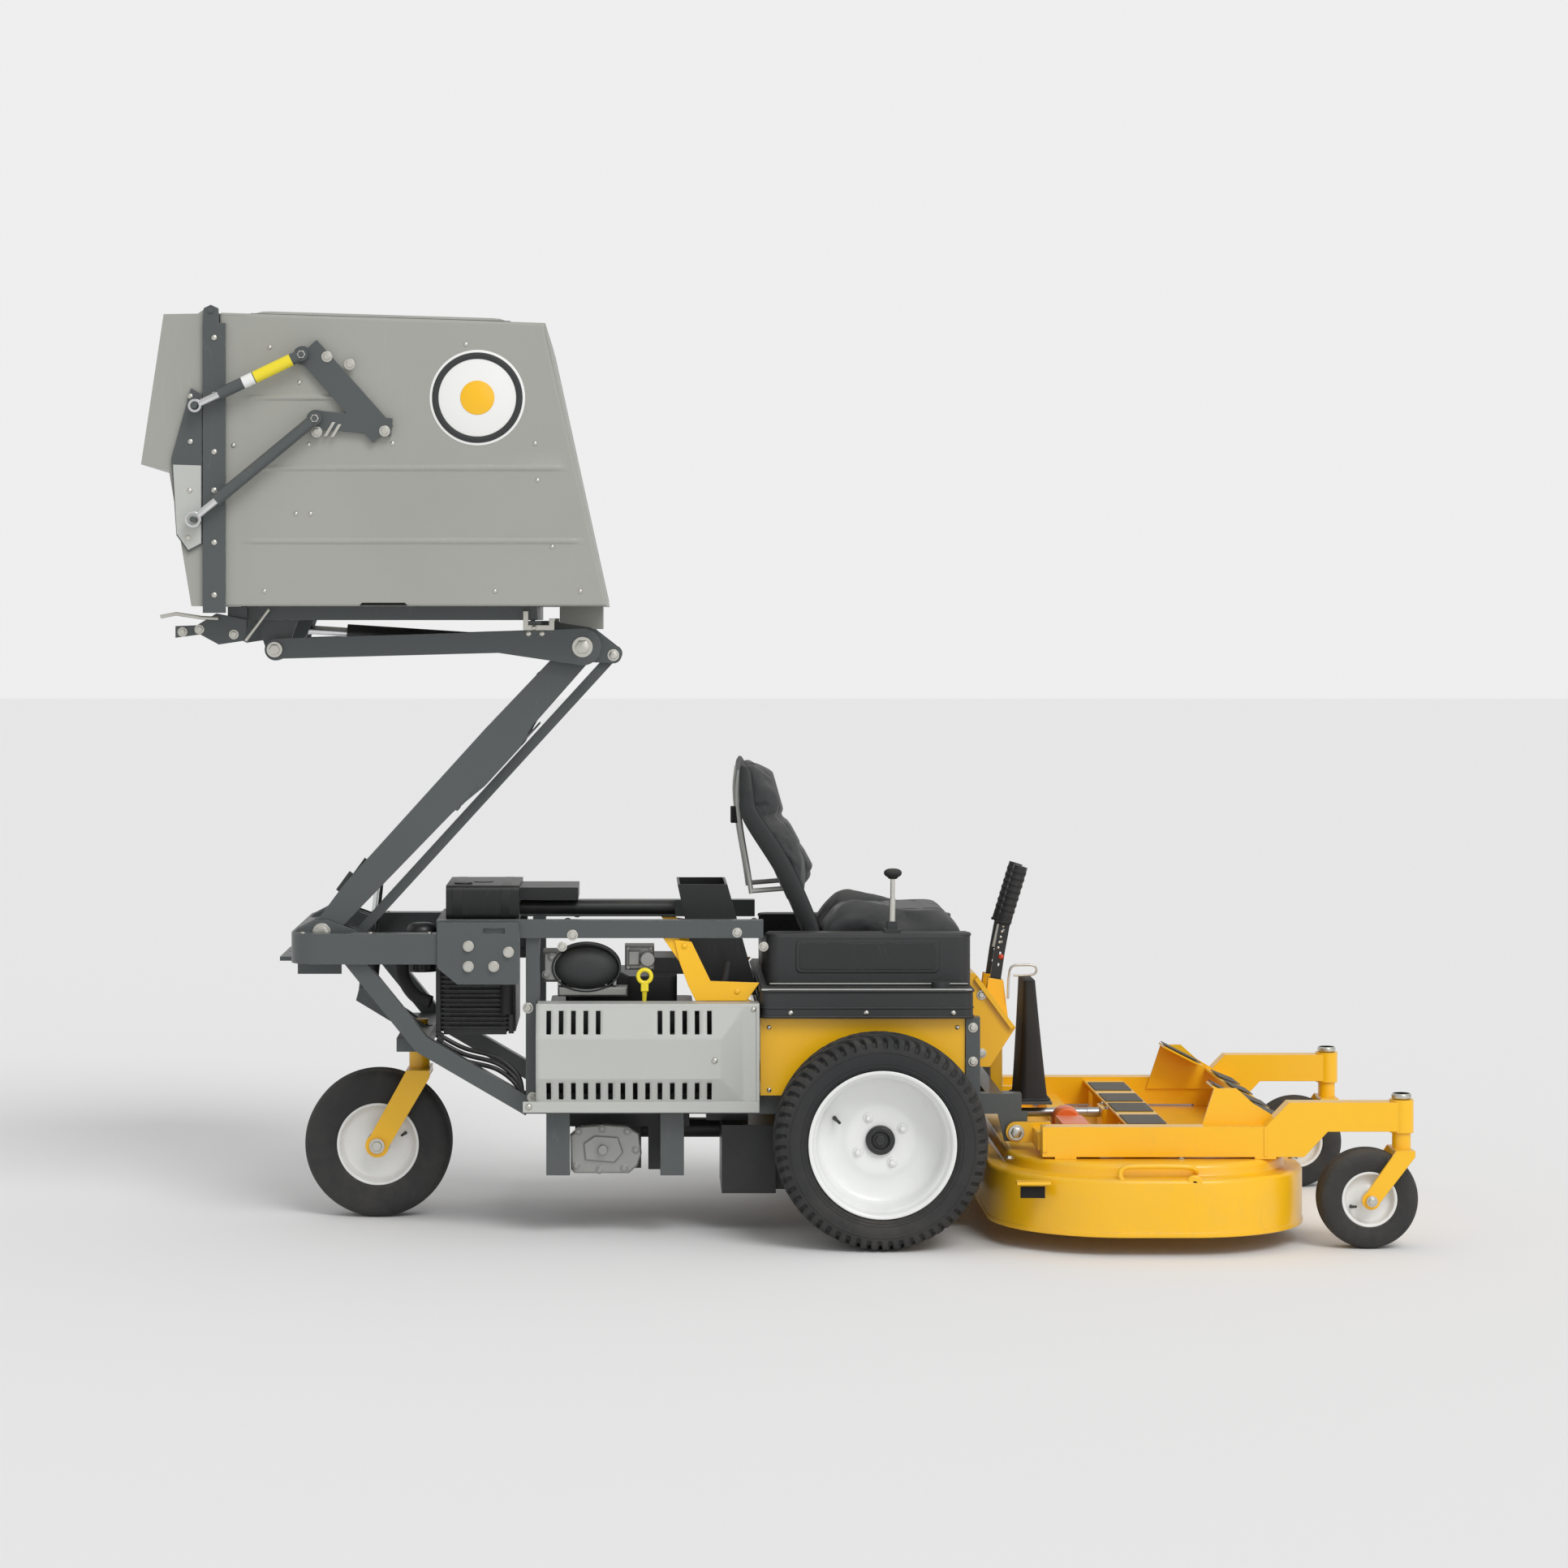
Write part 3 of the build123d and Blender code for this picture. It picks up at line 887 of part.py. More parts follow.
# ================================================================ bin
PLATFORM_BOTTOM = BIN_FLOOR - 33.0
with BuildPart() as bin_platform:
    block(BIN_REAR + 35, BIN_REAR + 740, -300, 300, PLATFORM_BOTTOM, BIN_FLOOR)
    for span in ((-286, -146), (-132, 132), (146, 286)):
        for back, front in ((BIN_REAR + 180, BIN_REAR + 420), (BIN_REAR + 440, BIN_REAR + 640)):
            block(back, front, *span, PLATFORM_BOTTOM - 1, BIN_FLOOR + 1, mode=Mode.SUBTRACT)
    for span in both_sides(262, 276):
        plate([(DUMP_PIVOT[0] - 50, PLATFORM_BOTTOM), (DUMP_PIVOT[0] - 22, DUMP_PIVOT[1] - 10),
               (DUMP_PIVOT[0] + 22, DUMP_PIVOT[1] - 10), (DUMP_PIVOT[0] + 50, PLATFORM_BOTTOM)], *span)
        disc(DUMP_PIVOT, 26, *span)
        disc(DUMP_PIVOT, DUMP_PIN + FIT, *span, mode=Mode.SUBTRACT)
    for span in both_sides(15, 27):
        plate([(DUMP_END[0] - 40, PLATFORM_BOTTOM), (DUMP_END[0] - 24, DUMP_END[1] - 10),
               (DUMP_END[0] + 24, DUMP_END[1] - 10), (DUMP_END[0] + 40, PLATFORM_BOTTOM)], *span)
        disc(DUMP_END, 27, *span)
    block(DUMP_END[0] - 44, DUMP_END[0] + 44, -14.5, 14.5, PLATFORM_BOTTOM - 1, PLATFORM_BOTTOM + 16,
          mode=Mode.SUBTRACT)
    disc(DUMP_END, DUMP_END_PIN, -27, 27)
save(bin_platform.part, "bin_platform")

bin_outline = [(BIN_REAR, BIN_FLOOR), (BIN_FRONT_LOW, BIN_FLOOR), (BIN_FRONT_HIGH, BIN_TOP_FRONT),
               (BIN_REAR, BIN_TOP)]
for hand, turn in (("right", -1), ("left", 1)):
    with BuildPart() as bin_side:
        plate(bin_outline, turn * (HALF_BIN - SHEET), turn * HALF_BIN)
    save(bin_side.part, f"bin_side_{hand}")

INLET = (BIN_REAR + 790.0, BIN_REAR + 895.0)
INLET_HALF = 120.0
with BuildPart() as bin_wrap:
    plate(bin_outline, -HALF_BIN + SHEET, HALF_BIN - SHEET)
    lean = SHEET * 1.03
    plate([(BIN_REAR - 5, BIN_FLOOR + SHEET), (BIN_FRONT_LOW - lean, BIN_FLOOR + SHEET),
           (BIN_FRONT_HIGH - lean, BIN_TOP_FRONT - SHEET), (BIN_REAR - 5, BIN_TOP - SHEET)],
          -HALF_BIN, HALF_BIN, mode=Mode.SUBTRACT)
    inlet = (INLET[0] + SHEET, INLET[1] - SHEET, -INLET_HALF + SHEET, INLET_HALF - SHEET)
    block(*INLET, -INLET_HALF, INLET_HALF, BIN_FLOOR - 55, BIN_FLOOR)
    block(*inlet, BIN_FLOOR - 56, BIN_FLOOR + SHEET + 1, mode=Mode.SUBTRACT)
save(bin_wrap.part, "bin_wrap")

POST_WALL = 12.0
STRUT_Y = HALF_BIN + 40.0
DOOR_PIN = 6.0
UPPER_STRUT = ((BIN_REAR + 196.0, BIN_TOP - 100.0), (BIN_REAR - 53.0, BIN_TOP - 219.0))
LOWER_STRUT = ((BIN_REAR + 227.0, BIN_TOP - 249.0), (BIN_REAR - 57.0, BIN_TOP - 484.0))
STRUT_PIN = 7.0
with BuildPart() as bin_posts:
    for turn in (-1, 1):
        span = (turn * HALF_BIN, turn * (HALF_BIN + POST_WALL))
        block(BIN_REAR - 38, BIN_REAR + 15, *span, BIN_FLOOR - 16, BIN_TOP - 24)
        plate([(BIN_REAR - 38, BIN_TOP - 30), (BIN_REAR - 36, DOOR_HINGE[1] + 6),
               (BIN_REAR - 19, DOOR_HINGE[1] + 14), (BIN_REAR - 2, DOOR_HINGE[1] + 6),
               (BIN_REAR, BIN_TOP - 30)], *span)
        disc(DOOR_HINGE, DOOR_PIN, turn * (HALF_BIN - 10), turn * (HALF_BIN + POST_WALL + 4))
        bracket = (turn * HALF_BIN, turn * (HALF_BIN + 18))
        bar([(BIN_REAR + 206, BIN_TOP - 84), (BIN_REAR + 384, BIN_TOP - 284)], 62, *bracket)
        bar([LOWER_STRUT[0], (BIN_REAR + 404, BIN_TOP - 268)], 42, *bracket)
        for foot in (UPPER_STRUT[0], LOWER_STRUT[0]):
            disc(foot, 22, *bracket)
            disc(foot, STRUT_PIN, turn * (HALF_BIN + 18), turn * (STRUT_Y + 16))
save(bin_posts.part, "bin_posts")

DOOR_HALF = HALF_BIN - 1.0
DOOR_EDGE = BIN_REAR - GAP
LEDGE = BIN_TOP - 366.0
door_outline = [(DOOR_EDGE, BIN_FLOOR), (BIN_REAR - 66, BIN_FLOOR), (BIN_REAR - 119, LEDGE),
                (DOOR_BACK, LEDGE + 12), (BIN_REAR - 131, BIN_TOP - 2), (DOOR_EDGE, BIN_TOP)]
door_cavity = [(BIN_REAR + 5, BIN_FLOOR + SHEET), (BIN_REAR - 63, BIN_FLOOR + SHEET),
               (BIN_REAR - 116, LEDGE + SHEET), (DOOR_BACK + SHEET, LEDGE + 12 + SHEET),
               (BIN_REAR - 128, BIN_TOP - 2 - SHEET), (BIN_REAR + 5, BIN_TOP - SHEET)]
with BuildPart() as bin_door:
    plate(door_outline, -DOOR_HALF, DOOR_HALF)
    plate(door_cavity, -DOOR_HALF + SHEET, DOOR_HALF - SHEET, mode=Mode.SUBTRACT)
    for span in both_sides(DOOR_HALF - 9, DOOR_HALF):
        plate([(BIN_REAR - 50, BIN_TOP - 30), (BIN_REAR - 50, BIN_TOP), (BIN_REAR - 31, DOOR_HINGE[1] + 8),
               (BIN_REAR - 7, DOOR_HINGE[1] + 8), (DOOR_EDGE - 2, BIN_TOP - 2),
               (DOOR_EDGE - 2, BIN_TOP - 30)], *span)
        disc(DOOR_HINGE, DOOR_PIN + FIT, *span, mode=Mode.SUBTRACT)
save(bin_door.part, "bin_door")

with BuildPart() as door_brackets:
    for turn in (-1, 1):
        span = (turn * DOOR_HALF, turn * (DOOR_HALF + 10))
        plate([(BIN_REAR - 40, BIN_TOP - 190), (BIN_REAR - 66, BIN_TOP - 176),
               (BIN_REAR - 112, BIN_TOP - 340), (BIN_REAR - 100, BIN_TOP - 520),
               (BIN_REAR - 72, BIN_TOP - 560), (BIN_REAR - 40, BIN_TOP - 540)], *span)
        for end in (UPPER_STRUT[1], LOWER_STRUT[1]):
            disc(end, STRUT_PIN, turn * (DOOR_HALF + 10), turn * (STRUT_Y + 16))
save(door_brackets.part, "door_brackets")

STRUT_SIDES = (-STRUT_Y, STRUT_Y)
STRUT_ROD = 9.0
for name, (foot, end), barrel_end, tip, play in (("upper_strut", UPPER_STRUT, 215, 90, 2.6),
                                                 ("lower_strut", LOWER_STRUT, 300, 100, 6.0)):
    make_barrel(f"{name}_barrels", foot, end, STRUT_SIDES, 15, STRUT_PIN, 14, 60, barrel_end,
                STRUT_ROD, 11)
    make_rod(f"{name}_rods", foot, end, STRUT_SIDES, 13 + play, STRUT_PIN + play, tip, STRUT_ROD,
             8)
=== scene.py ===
"""Front-deck zero turn mower: the looks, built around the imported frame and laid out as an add-on."""

from math import cos, pi, radians, sin

import bmesh
import bpy
import numpy as np
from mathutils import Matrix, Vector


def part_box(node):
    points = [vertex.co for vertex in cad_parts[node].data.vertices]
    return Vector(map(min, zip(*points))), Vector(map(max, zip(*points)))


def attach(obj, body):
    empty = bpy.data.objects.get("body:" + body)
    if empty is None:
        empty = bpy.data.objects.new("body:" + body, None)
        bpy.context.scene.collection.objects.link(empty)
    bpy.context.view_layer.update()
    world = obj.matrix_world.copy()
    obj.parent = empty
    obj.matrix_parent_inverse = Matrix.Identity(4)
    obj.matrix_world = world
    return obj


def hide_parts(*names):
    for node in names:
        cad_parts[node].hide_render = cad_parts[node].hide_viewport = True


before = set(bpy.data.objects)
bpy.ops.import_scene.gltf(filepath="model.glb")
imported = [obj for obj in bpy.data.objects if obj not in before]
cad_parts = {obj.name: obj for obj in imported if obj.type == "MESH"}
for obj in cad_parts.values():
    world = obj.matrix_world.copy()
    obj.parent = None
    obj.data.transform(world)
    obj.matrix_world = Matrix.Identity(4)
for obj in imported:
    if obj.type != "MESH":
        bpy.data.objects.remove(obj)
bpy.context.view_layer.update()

bl_info = {
    "name": "Zero Turn Mower",
    "version": (1, 0, 0),
    "blender": (4, 5, 0),
    "location": "View3D > Sidebar > Mower",
    "description": "Builds the visible pieces of a zero turn mower with a high-dump grass bin",
    "category": "Object",
}

MM = 0.001
SIDES = (-1, 1)                        # -1 is the side with the muffler guard
HANDS = ((-1, "right"), (1, "left"))


def node_box(node):
    """Corners of a CAD node in millimetres, x forward of the drive axle."""
    low, high = (np.array(corner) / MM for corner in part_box(node))
    shift = np.array([AXLE, 0, 0])
    return low - shift, high - shift


AXLE = 0.0
_low, _high = node_box("drive_tyre_right")
AXLE = (_low[0] + _high[0]) / 2        # drive axle in the row frame, mm
TAIL_AXLE, CASTER_AXLE, CASTER_PIN = -1201.0, 1135.0, 1216.0
LIFT_PIVOT = np.array([-1319.0, 718.0])
ARM_ANGLE = radians(47.55)
ARM_LENGTH = 921.6
ARM_ALONG = np.array([cos(ARM_ANGLE), sin(ARM_ANGLE)])
ARM_UP = np.array([-sin(ARM_ANGLE), cos(ARM_ANGLE)])
KNEE = LIFT_PIVOT + ARM_LENGTH * ARM_ALONG
BIN_REAR, BIN_FLOOR, BIN_TOP, HALF_BIN = -1545.0, 1495.0, 2181.0, 450.0
BIN_TOE, BIN_BROW = (-637.0, BIN_FLOOR), (-782.0, 2158.0)    # ends of the front edge of the bin's side
DECK_REAR, DECK_FRONT, HALF_DECK = 262.0, 1007.0, 640.0
DECK_MIDDLE = (DECK_REAR + DECK_FRONT) / 2
ARM_Y = 486.0                          # middle of the deck frame arms
ARM_INNER, ARM_OUTER = 236.0, 274.0    # sides of a lift arm
BLADE_Y = 304.6
BEND = 895.0                           # where the deck frame arms start to rise


# ------------------------------------------------------------------ surfaces
def quads(rows, columns, wrap_rows=False, wrap_columns=False):
    """Faces between neighbouring rows and columns of a grid of points, closed round if asked."""
    i, j = np.meshgrid(np.arange(rows - (not wrap_rows)), np.arange(columns - (not wrap_columns)),
                       indexing="ij")
    near, right = (i + 1) % rows, (j + 1) % columns
    corners = [i * columns + j, near * columns + j, near * columns + right, i * columns + right]
    return np.stack(corners, -1).reshape(-1, 4)


def smooth(x, low, high):
    """Smooth step: 0 below low, 1 above high, and 3t^2 - 2t^3 between."""
    t = np.clip((x - low) / (high - low), 0, 1)
    return t * t * (3 - 2 * t)


def bump(x, middle, half, edge):
    """1 within half of the middle, falling smoothly to 0 over the edge width on both sides."""
    return 1 - smooth(np.abs(x - middle), half, half + edge)


def curve(points, count):
    """Catmull-Rom curve through the points: each span is a cubic whose end slopes are half the
    difference of the points on either side."""
    p = np.asarray(points, float)
    p = np.vstack([2 * p[0] - p[1], p, 2 * p[-1] - p[-2]])
    t = np.linspace(0, len(p) - 3 - 1e-9, count)
    k = t.astype(int)
    f = (t - k)[:, None]
    a, b, c, d = p[k], p[k + 1], p[k + 2], p[k + 3]
    return 0.5 * (2 * b + (c - a) * f + (2 * a - 5 * b + 4 * c - d) * f ** 2
                  + (3 * b - a - 3 * c + d) * f ** 3)


def directions(line):
    """Unit vectors along a line at each of its points, from the differences of their neighbours."""
    slope = np.gradient(line, axis=0)
    return slope / np.linalg.norm(slope, axis=1)[:, None]


def at_y(run, y):
    """A run of (x, z) points as a path at one y."""
    return np.stack([run[:, 0], np.full(len(run), y), run[:, 1]], 1)


def rounded(width, height, radius, steps=5):
    """Outline of a rectangle about the origin with quarter-circle corners."""
    turn = np.linspace(0, pi / 2, steps)
    parts = []
    for quarter, (sx, sy) in enumerate(((1, 1), (-1, 1), (-1, -1), (1, -1))):
        angle = turn + quarter * pi / 2
        centre = np.array([sx * (width / 2 - radius), sy * (height / 2 - radius)])
        parts.append(centre + radius * np.stack([np.cos(angle), np.sin(angle)], 1))
    return np.vstack(parts)


def thick(line, wall):
    """Closed profile round an open line: the line, and back along it moved by the wall thickness
    square to the mean slope at each point."""
    line = np.asarray(line, float)
    slope = directions(line)
    away = np.stack([-slope[:, 1], slope[:, 0]], 1)
    return np.vstack([line, (line + wall * away)[::-1]])


class Shape:
    """Surfaces in millimetres, x forward of the drive axle, joined into one mesh at the end."""

    def __init__(self):
        self.points, self.faces, self.total = [], [], 0

    def add(self, points, *groups):
        """Take points and any number of face arrays that count them from nought."""
        points = np.asarray(points, float).reshape(-1, 3)
        for faces in groups:
            self.faces += (np.asarray(faces) + self.total).tolist()
        self.points.append(points)
        self.total += len(points)
        return self

    def grid(self, points, wrap_rows=False, wrap_columns=False):
        """A surface through a grid of points, rows by columns."""
        rows, columns = points.shape[:2]
        return self.add(points, quads(rows, columns, wrap_rows, wrap_columns))

    def loft(self, rings):
        """A closed skin through rings of points, with a flat face on the first and the last."""
        rings = np.asarray(rings, float)
        rows, columns = rings.shape[:2]
        last = np.arange(columns)
        return self.add(rings, quads(rows, columns, False, True), [last[::-1]],
                        [last + (rows - 1) * columns])

    def prism(self, outline, low, high, plane="xz", edge=0.0):
        """An outline carried straight from low to high, its end rims drawn in by edge for a chamfer
        towards the outline's middle."""
        outline = np.asarray(outline, float)
        middle = outline.mean(0)
        reach = np.abs(outline - middle).max(0)
        inner = middle + (outline - middle) * (1 - edge / reach)
        levels = [(outline, low), (outline, high)]
        if edge:
            step = edge * np.sign(high - low)
            levels = [(inner, low), (outline, low + step), (outline, high - step), (inner, high)]
        rings = np.stack([np.column_stack([o, np.full(len(o), h)]) for o, h in levels])
        return self.loft(rings[..., {"xz": [0, 2, 1], "xy": [0, 1, 2]}[plane]])

    def box(self, x, y, z, edge=0.0):
        """A block between pairs of x, y and z."""
        outline = [(x[0], z[0]), (x[1], z[0]), (x[1], z[1]), (x[0], z[1])]
        return self.prism(outline, y[0], y[1], edge=edge)

    def lathe(self, profile, centre, axis="y", segments=48, closed=False, squash=(1, 1)):
        """A profile of (radius, height) pairs turned about an axis through the centre. A radius of
        nought at an end closes the skin there in a fan about one pole."""
        profile = np.asarray(profile, float)
        first, last = profile[0, 0] < 1e-6, profile[-1, 0] < 1e-6
        body = profile[int(first):len(profile) - int(last)]
        angle = np.arange(segments) / segments * 2 * pi
        round_one = body[:, None, 0] * np.cos(angle) * squash[0]
        round_two = body[:, None, 0] * np.sin(angle) * squash[1]
        along = np.broadcast_to(body[:, None, 1], round_one.shape)
        order = {"x": [2, 0, 1], "y": [0, 2, 1], "z": [0, 1, 2]}[axis]
        points = np.stack([round_one, round_two, along], -1)[..., order] + np.asarray(centre)
        faces = [quads(len(body), segments, closed, True)]
        poles = []
        ring = np.arange(segments)
        count = len(body) * segments
        for used, row, height in ((first, 0, profile[0, 1]), (last, len(body) - 1, profile[-1, 1])):
            if used:
                pole = np.array(centre, float)
                pole["xyz".index(axis)] += height
                poles.append(pole)
                faces.append(np.stack([ring + row * segments, (ring + 1) % segments + row * segments,
                                       np.full(segments, count)], 1))
                count += 1
        return self.add(np.vstack([points.reshape(-1, 3), *poles]), *faces)

    def tube(self, path, radius, sides=12, up=(0, 1, 0.001), flat=1.0):
        """A round section carried along a path, standing square to it, with closed ends. The radius
        may change along the path, and flat squeezes the section across the up direction."""
        path = np.asarray(path, float)
        slope = directions(path)
        side = np.cross(slope, np.asarray(up, float))
        side /= np.linalg.norm(side, axis=1)[:, None]
        top = np.cross(side, slope)
        angle = np.arange(sides) / sides * 2 * pi
        size = np.broadcast_to(np.asarray(radius, float), len(path))[:, None, None]
        ring = (np.cos(angle)[None, :, None] * side[:, None]
                + flat * np.sin(angle)[None, :, None] * top[:, None])
        return self.loft(path[:, None] + size * ring)

    def ring(self, centre, radius, wire, axis="y", sides=10, segments=32):
        """A torus: a circle of the wire's radius turned about the axis."""
        angle = np.arange(sides) / sides * 2 * pi
        profile = np.stack([radius + wire * np.cos(angle), wire * np.sin(angle)], 1)
        return self.lathe(profile, centre, axis, segments, closed=True)

    def bolt(self, centre, radius, height, axis="y", way=-1, washer=True):
        """A hexagon head with a chamfered top on a round washer, standing out along the axis."""
        if washer:
            self.lathe([(0, 0), (radius * 1.45, 0), (radius * 1.45, way * height * 0.25),
                        (0, way * height * 0.25)], centre, axis, 20)
        self.lathe([(0, 0), (radius, 0), (radius, way * height * 0.85), (radius * 0.86, way * height),
                    (0, way * height)], centre, axis, 6)
        return self

    def dome(self, centre, radius, height, axis="y", way=-1, segments=16):
        """A low round head: radius times the cosine against height times the sine of an angle."""
        turn = np.linspace(0, pi / 2, 5)
        profile = np.stack([radius * np.cos(turn), way * height * np.sin(turn)], 1)
        profile[-1, 0] = 0
        return self.lathe(np.vstack([(0, 0), profile]), centre, axis, segments)

    def make(self, name, body, slot, finish, bevel=0.0, wall=0.0, smooth_angle=34, replaces=(),
             open_edges=False):
        """Put the surfaces in one mesh in metres, point its faces outwards, and hand it to its body."""
        points = np.vstack(self.points)
        points = (points + np.array([AXLE, 0, 0])) * MM
        mesh = bpy.data.meshes.new(name)
        mesh.from_pydata(points.tolist(), [], self.faces)
        if not open_edges:
            work = bmesh.new()
            work.from_mesh(mesh)
            bmesh.ops.recalc_face_normals(work, faces=work.faces)
            work.to_mesh(mesh)
            work.free()
        mesh.polygons.foreach_set("use_smooth", np.ones(len(mesh.polygons), bool))
        mesh.set_sharp_from_angle(angle=radians(smooth_angle))
        piece = bpy.data.objects.new(name, mesh)
        bpy.context.scene.collection.objects.link(piece)
        mesh.materials.append(finish_of(finish))
        if wall:
            shell = piece.modifiers.new("Wall", "SOLIDIFY")
            shell.thickness, shell.offset = wall * MM, -1
        if bevel:
            edge = piece.modifiers.new("Edge", "BEVEL")
            edge.width, edge.segments, edge.limit_method = bevel * MM, 2, "ANGLE"
            edge.angle_limit, edge.harden_normals = radians(40), False
        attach(piece, body)
        if replaces:
            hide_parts(*replaces)
        return piece


# ------------------------------------------------------------------ shared shader node groups
def socket(tree, name, way, kind="NodeSocketFloat", value=None):
    """Add a named input or output to a shader node group."""
    made = tree.interface.new_socket(name=name, in_out=way, socket_type=kind)
    if value is not None:
        made.default_value = value
    return made


def node(tree, kind, links=(), **values):
    """Add a node, set its properties and sockets, and link sockets given as (input, output) pairs."""
    made = tree.nodes.new(kind)
    for key, value in values.items():
        if hasattr(made, key):
            setattr(made, key, value)
        else:
            made.inputs[key.replace("_", " ")].default_value = value
    for name, source in links:
        tree.links.new(source, made.inputs[name])
    return made


def math(tree, operation, *terms, clamp=False):
    """A Math node on sockets or numbers; gives its output socket."""
    made = tree.nodes.new("ShaderNodeMath")
    made.operation, made.use_clamp = operation, clamp
    for index, term in enumerate(terms):
        if isinstance(term, (int, float)):
            made.inputs[index].default_value = term
        else:
            tree.links.new(term, made.inputs[index])
    return made.outputs[0]


def mix_colour(tree, share, first, second, blend="MIX"):
    """A Mix node for colours; gives its output socket."""
    made = tree.nodes.new("ShaderNodeMix")
    made.data_type, made.blend_type = "RGBA", blend
    for name, term in (("Factor", share), ("A", first), ("B", second)):
        place = [s for s in made.inputs if s.name == name and s.enabled][0]
        if isinstance(term, (int, float, tuple)):
            place.default_value = term
        else:
            tree.links.new(term, place)
    return [s for s in made.outputs if s.enabled][0]


def new_group(name, inputs, outputs):
    """An empty shader node group with named inputs (name, kind, value) and outputs (name, kind)."""
    tree = bpy.data.node_groups.new(name, "ShaderNodeTree")
    for title, kind, value in inputs:
        socket(tree, title, "INPUT", kind, value)
    for title, kind in outputs:
        socket(tree, title, "OUTPUT", kind)
    return tree, tree.nodes.new("NodeGroupInput"), tree.nodes.new("NodeGroupOutput")


FLOAT, COLOUR, VECTOR = "NodeSocketFloat", "NodeSocketColor", "NodeSocketVector"


def group_worn_edges():
    """Mask of rubbed edges: how far the rounded-corner normal leans from the true one, broken up by
    noise, and the rounded normal itself."""
    tree, inlet, outlet = new_group("worn edges", [("Radius", FLOAT, 0.002), ("Amount", FLOAT, 0.5)],
                                    [("Mask", FLOAT), ("Normal", VECTOR)])
    place = node(tree, "ShaderNodeTexCoord").outputs["Object"]
    soft = node(tree, "ShaderNodeBevel", [("Radius", inlet.outputs["Radius"])], samples=4)
    flat = node(tree, "ShaderNodeNewGeometry").outputs["True Normal"]
    lean = node(tree, "ShaderNodeVectorMath", operation="DOT_PRODUCT")
    tree.links.new(soft.outputs[0], lean.inputs[0])
    tree.links.new(flat, lean.inputs[1])
    bend = math(tree, "MULTIPLY", math(tree, "SUBTRACT", 1.0, lean.outputs["Value"]), 7.0, clamp=True)
    rough = node(tree, "ShaderNodeTexNoise", [("Vector", place)], Scale=55.0, Detail=5.0, Roughness=0.7)
    breaks = math(tree, "MULTIPLY", math(tree, "SUBTRACT", rough.outputs["Fac"], 0.47), 7.0, clamp=True)
    worn = math(tree, "MULTIPLY", math(tree, "MULTIPLY", bend, breaks), inlet.outputs["Amount"], clamp=True)
    tree.links.new(worn, outlet.inputs["Mask"])
    tree.links.new(soft.outputs[0], outlet.inputs["Normal"])
    return tree


def group_mottle():
    """Slow cloudy change over metres and fine grain over millimetres, both about one half."""
    tree, inlet, outlet = new_group("mottle", [("Cloud Scale", FLOAT, 3.0), ("Grain Scale", FLOAT, 700.0)],
                                    [("Cloud", FLOAT), ("Grain", FLOAT)])
    place = node(tree, "ShaderNodeTexCoord").outputs["Object"]
    cloud = node(tree, "ShaderNodeTexNoise", [("Vector", place), ("Scale", inlet.outputs["Cloud Scale"])],
                 Detail=6.0, Roughness=0.62)
    grain = node(tree, "ShaderNodeTexNoise", [("Vector", place), ("Scale", inlet.outputs["Grain Scale"])],
                 Detail=3.0, Roughness=0.6)
    tree.links.new(cloud.outputs["Fac"], outlet.inputs["Cloud"])
    tree.links.new(grain.outputs["Fac"], outlet.inputs["Grain"])
    return tree


def group_dust():
    """Mask of settled dust: the share of the surface that faces up, and low places near the ground,
    times patchy noise."""
    tree, inlet, outlet = new_group("dust", [("Amount", FLOAT, 0.3)], [("Mask", FLOAT)])
    coordinates = node(tree, "ShaderNodeTexCoord")
    split = node(tree, "ShaderNodeSeparateXYZ", [("Vector", coordinates.outputs["Object"])])
    facing = node(tree, "ShaderNodeSeparateXYZ",
                  [("Vector", node(tree, "ShaderNodeNewGeometry").outputs["Normal"])])
    upward = math(tree, "MULTIPLY", facing.outputs["Z"], 0.7, clamp=True)
    low = math(tree, "MULTIPLY", math(tree, "SUBTRACT", 0.42, split.outputs["Z"]), 0.9, clamp=True)
    patches = node(tree, "ShaderNodeTexNoise", [("Vector", coordinates.outputs["Object"])],
                   Scale=9.0, Detail=7.0, Roughness=0.68)
    patchy = math(tree, "MULTIPLY", math(tree, "SUBTRACT", patches.outputs["Fac"], 0.36), 2.6, clamp=True)
    both = math(tree, "ADD", upward, low, clamp=True)
    made = math(tree, "MULTIPLY", math(tree, "MULTIPLY", both, patchy), inlet.outputs["Amount"], clamp=True)
    tree.links.new(made, outlet.inputs["Mask"])
    return tree


def group_scratches():
    """Fine wandering scratches: thin bands where stretched noise passes one half."""
    tree, inlet, outlet = new_group("scratches", [("Scale", FLOAT, 26.0)], [("Mask", FLOAT)])
    place = node(tree, "ShaderNodeTexCoord").outputs["Object"]
    turned = node(tree, "ShaderNodeMapping", [("Vector", place)])
    turned.inputs["Rotation"].default_value = (0.5, 0.9, 0.35)
    turned.inputs["Scale"].default_value = (1.0, 1.0, 0.09)
    noise = node(tree, "ShaderNodeTexNoise",
                 [("Vector", turned.outputs["Vector"]), ("Scale", inlet.outputs["Scale"])],
                 Detail=2.0, Roughness=0.5)
    off = math(tree, "ABSOLUTE", math(tree, "SUBTRACT", noise.outputs["Fac"], 0.5))
    line = math(tree, "SUBTRACT", 1.0, math(tree, "MULTIPLY", off, 130.0), clamp=True)
    patches = node(tree, "ShaderNodeTexNoise", [("Vector", place)], Scale=3.1, Detail=2.0)
    where = math(tree, "MULTIPLY", math(tree, "SUBTRACT", patches.outputs["Fac"], 0.52), 6.0, clamp=True)
    tree.links.new(math(tree, "MULTIPLY", line, where, clamp=True), outlet.inputs["Mask"])
    return tree


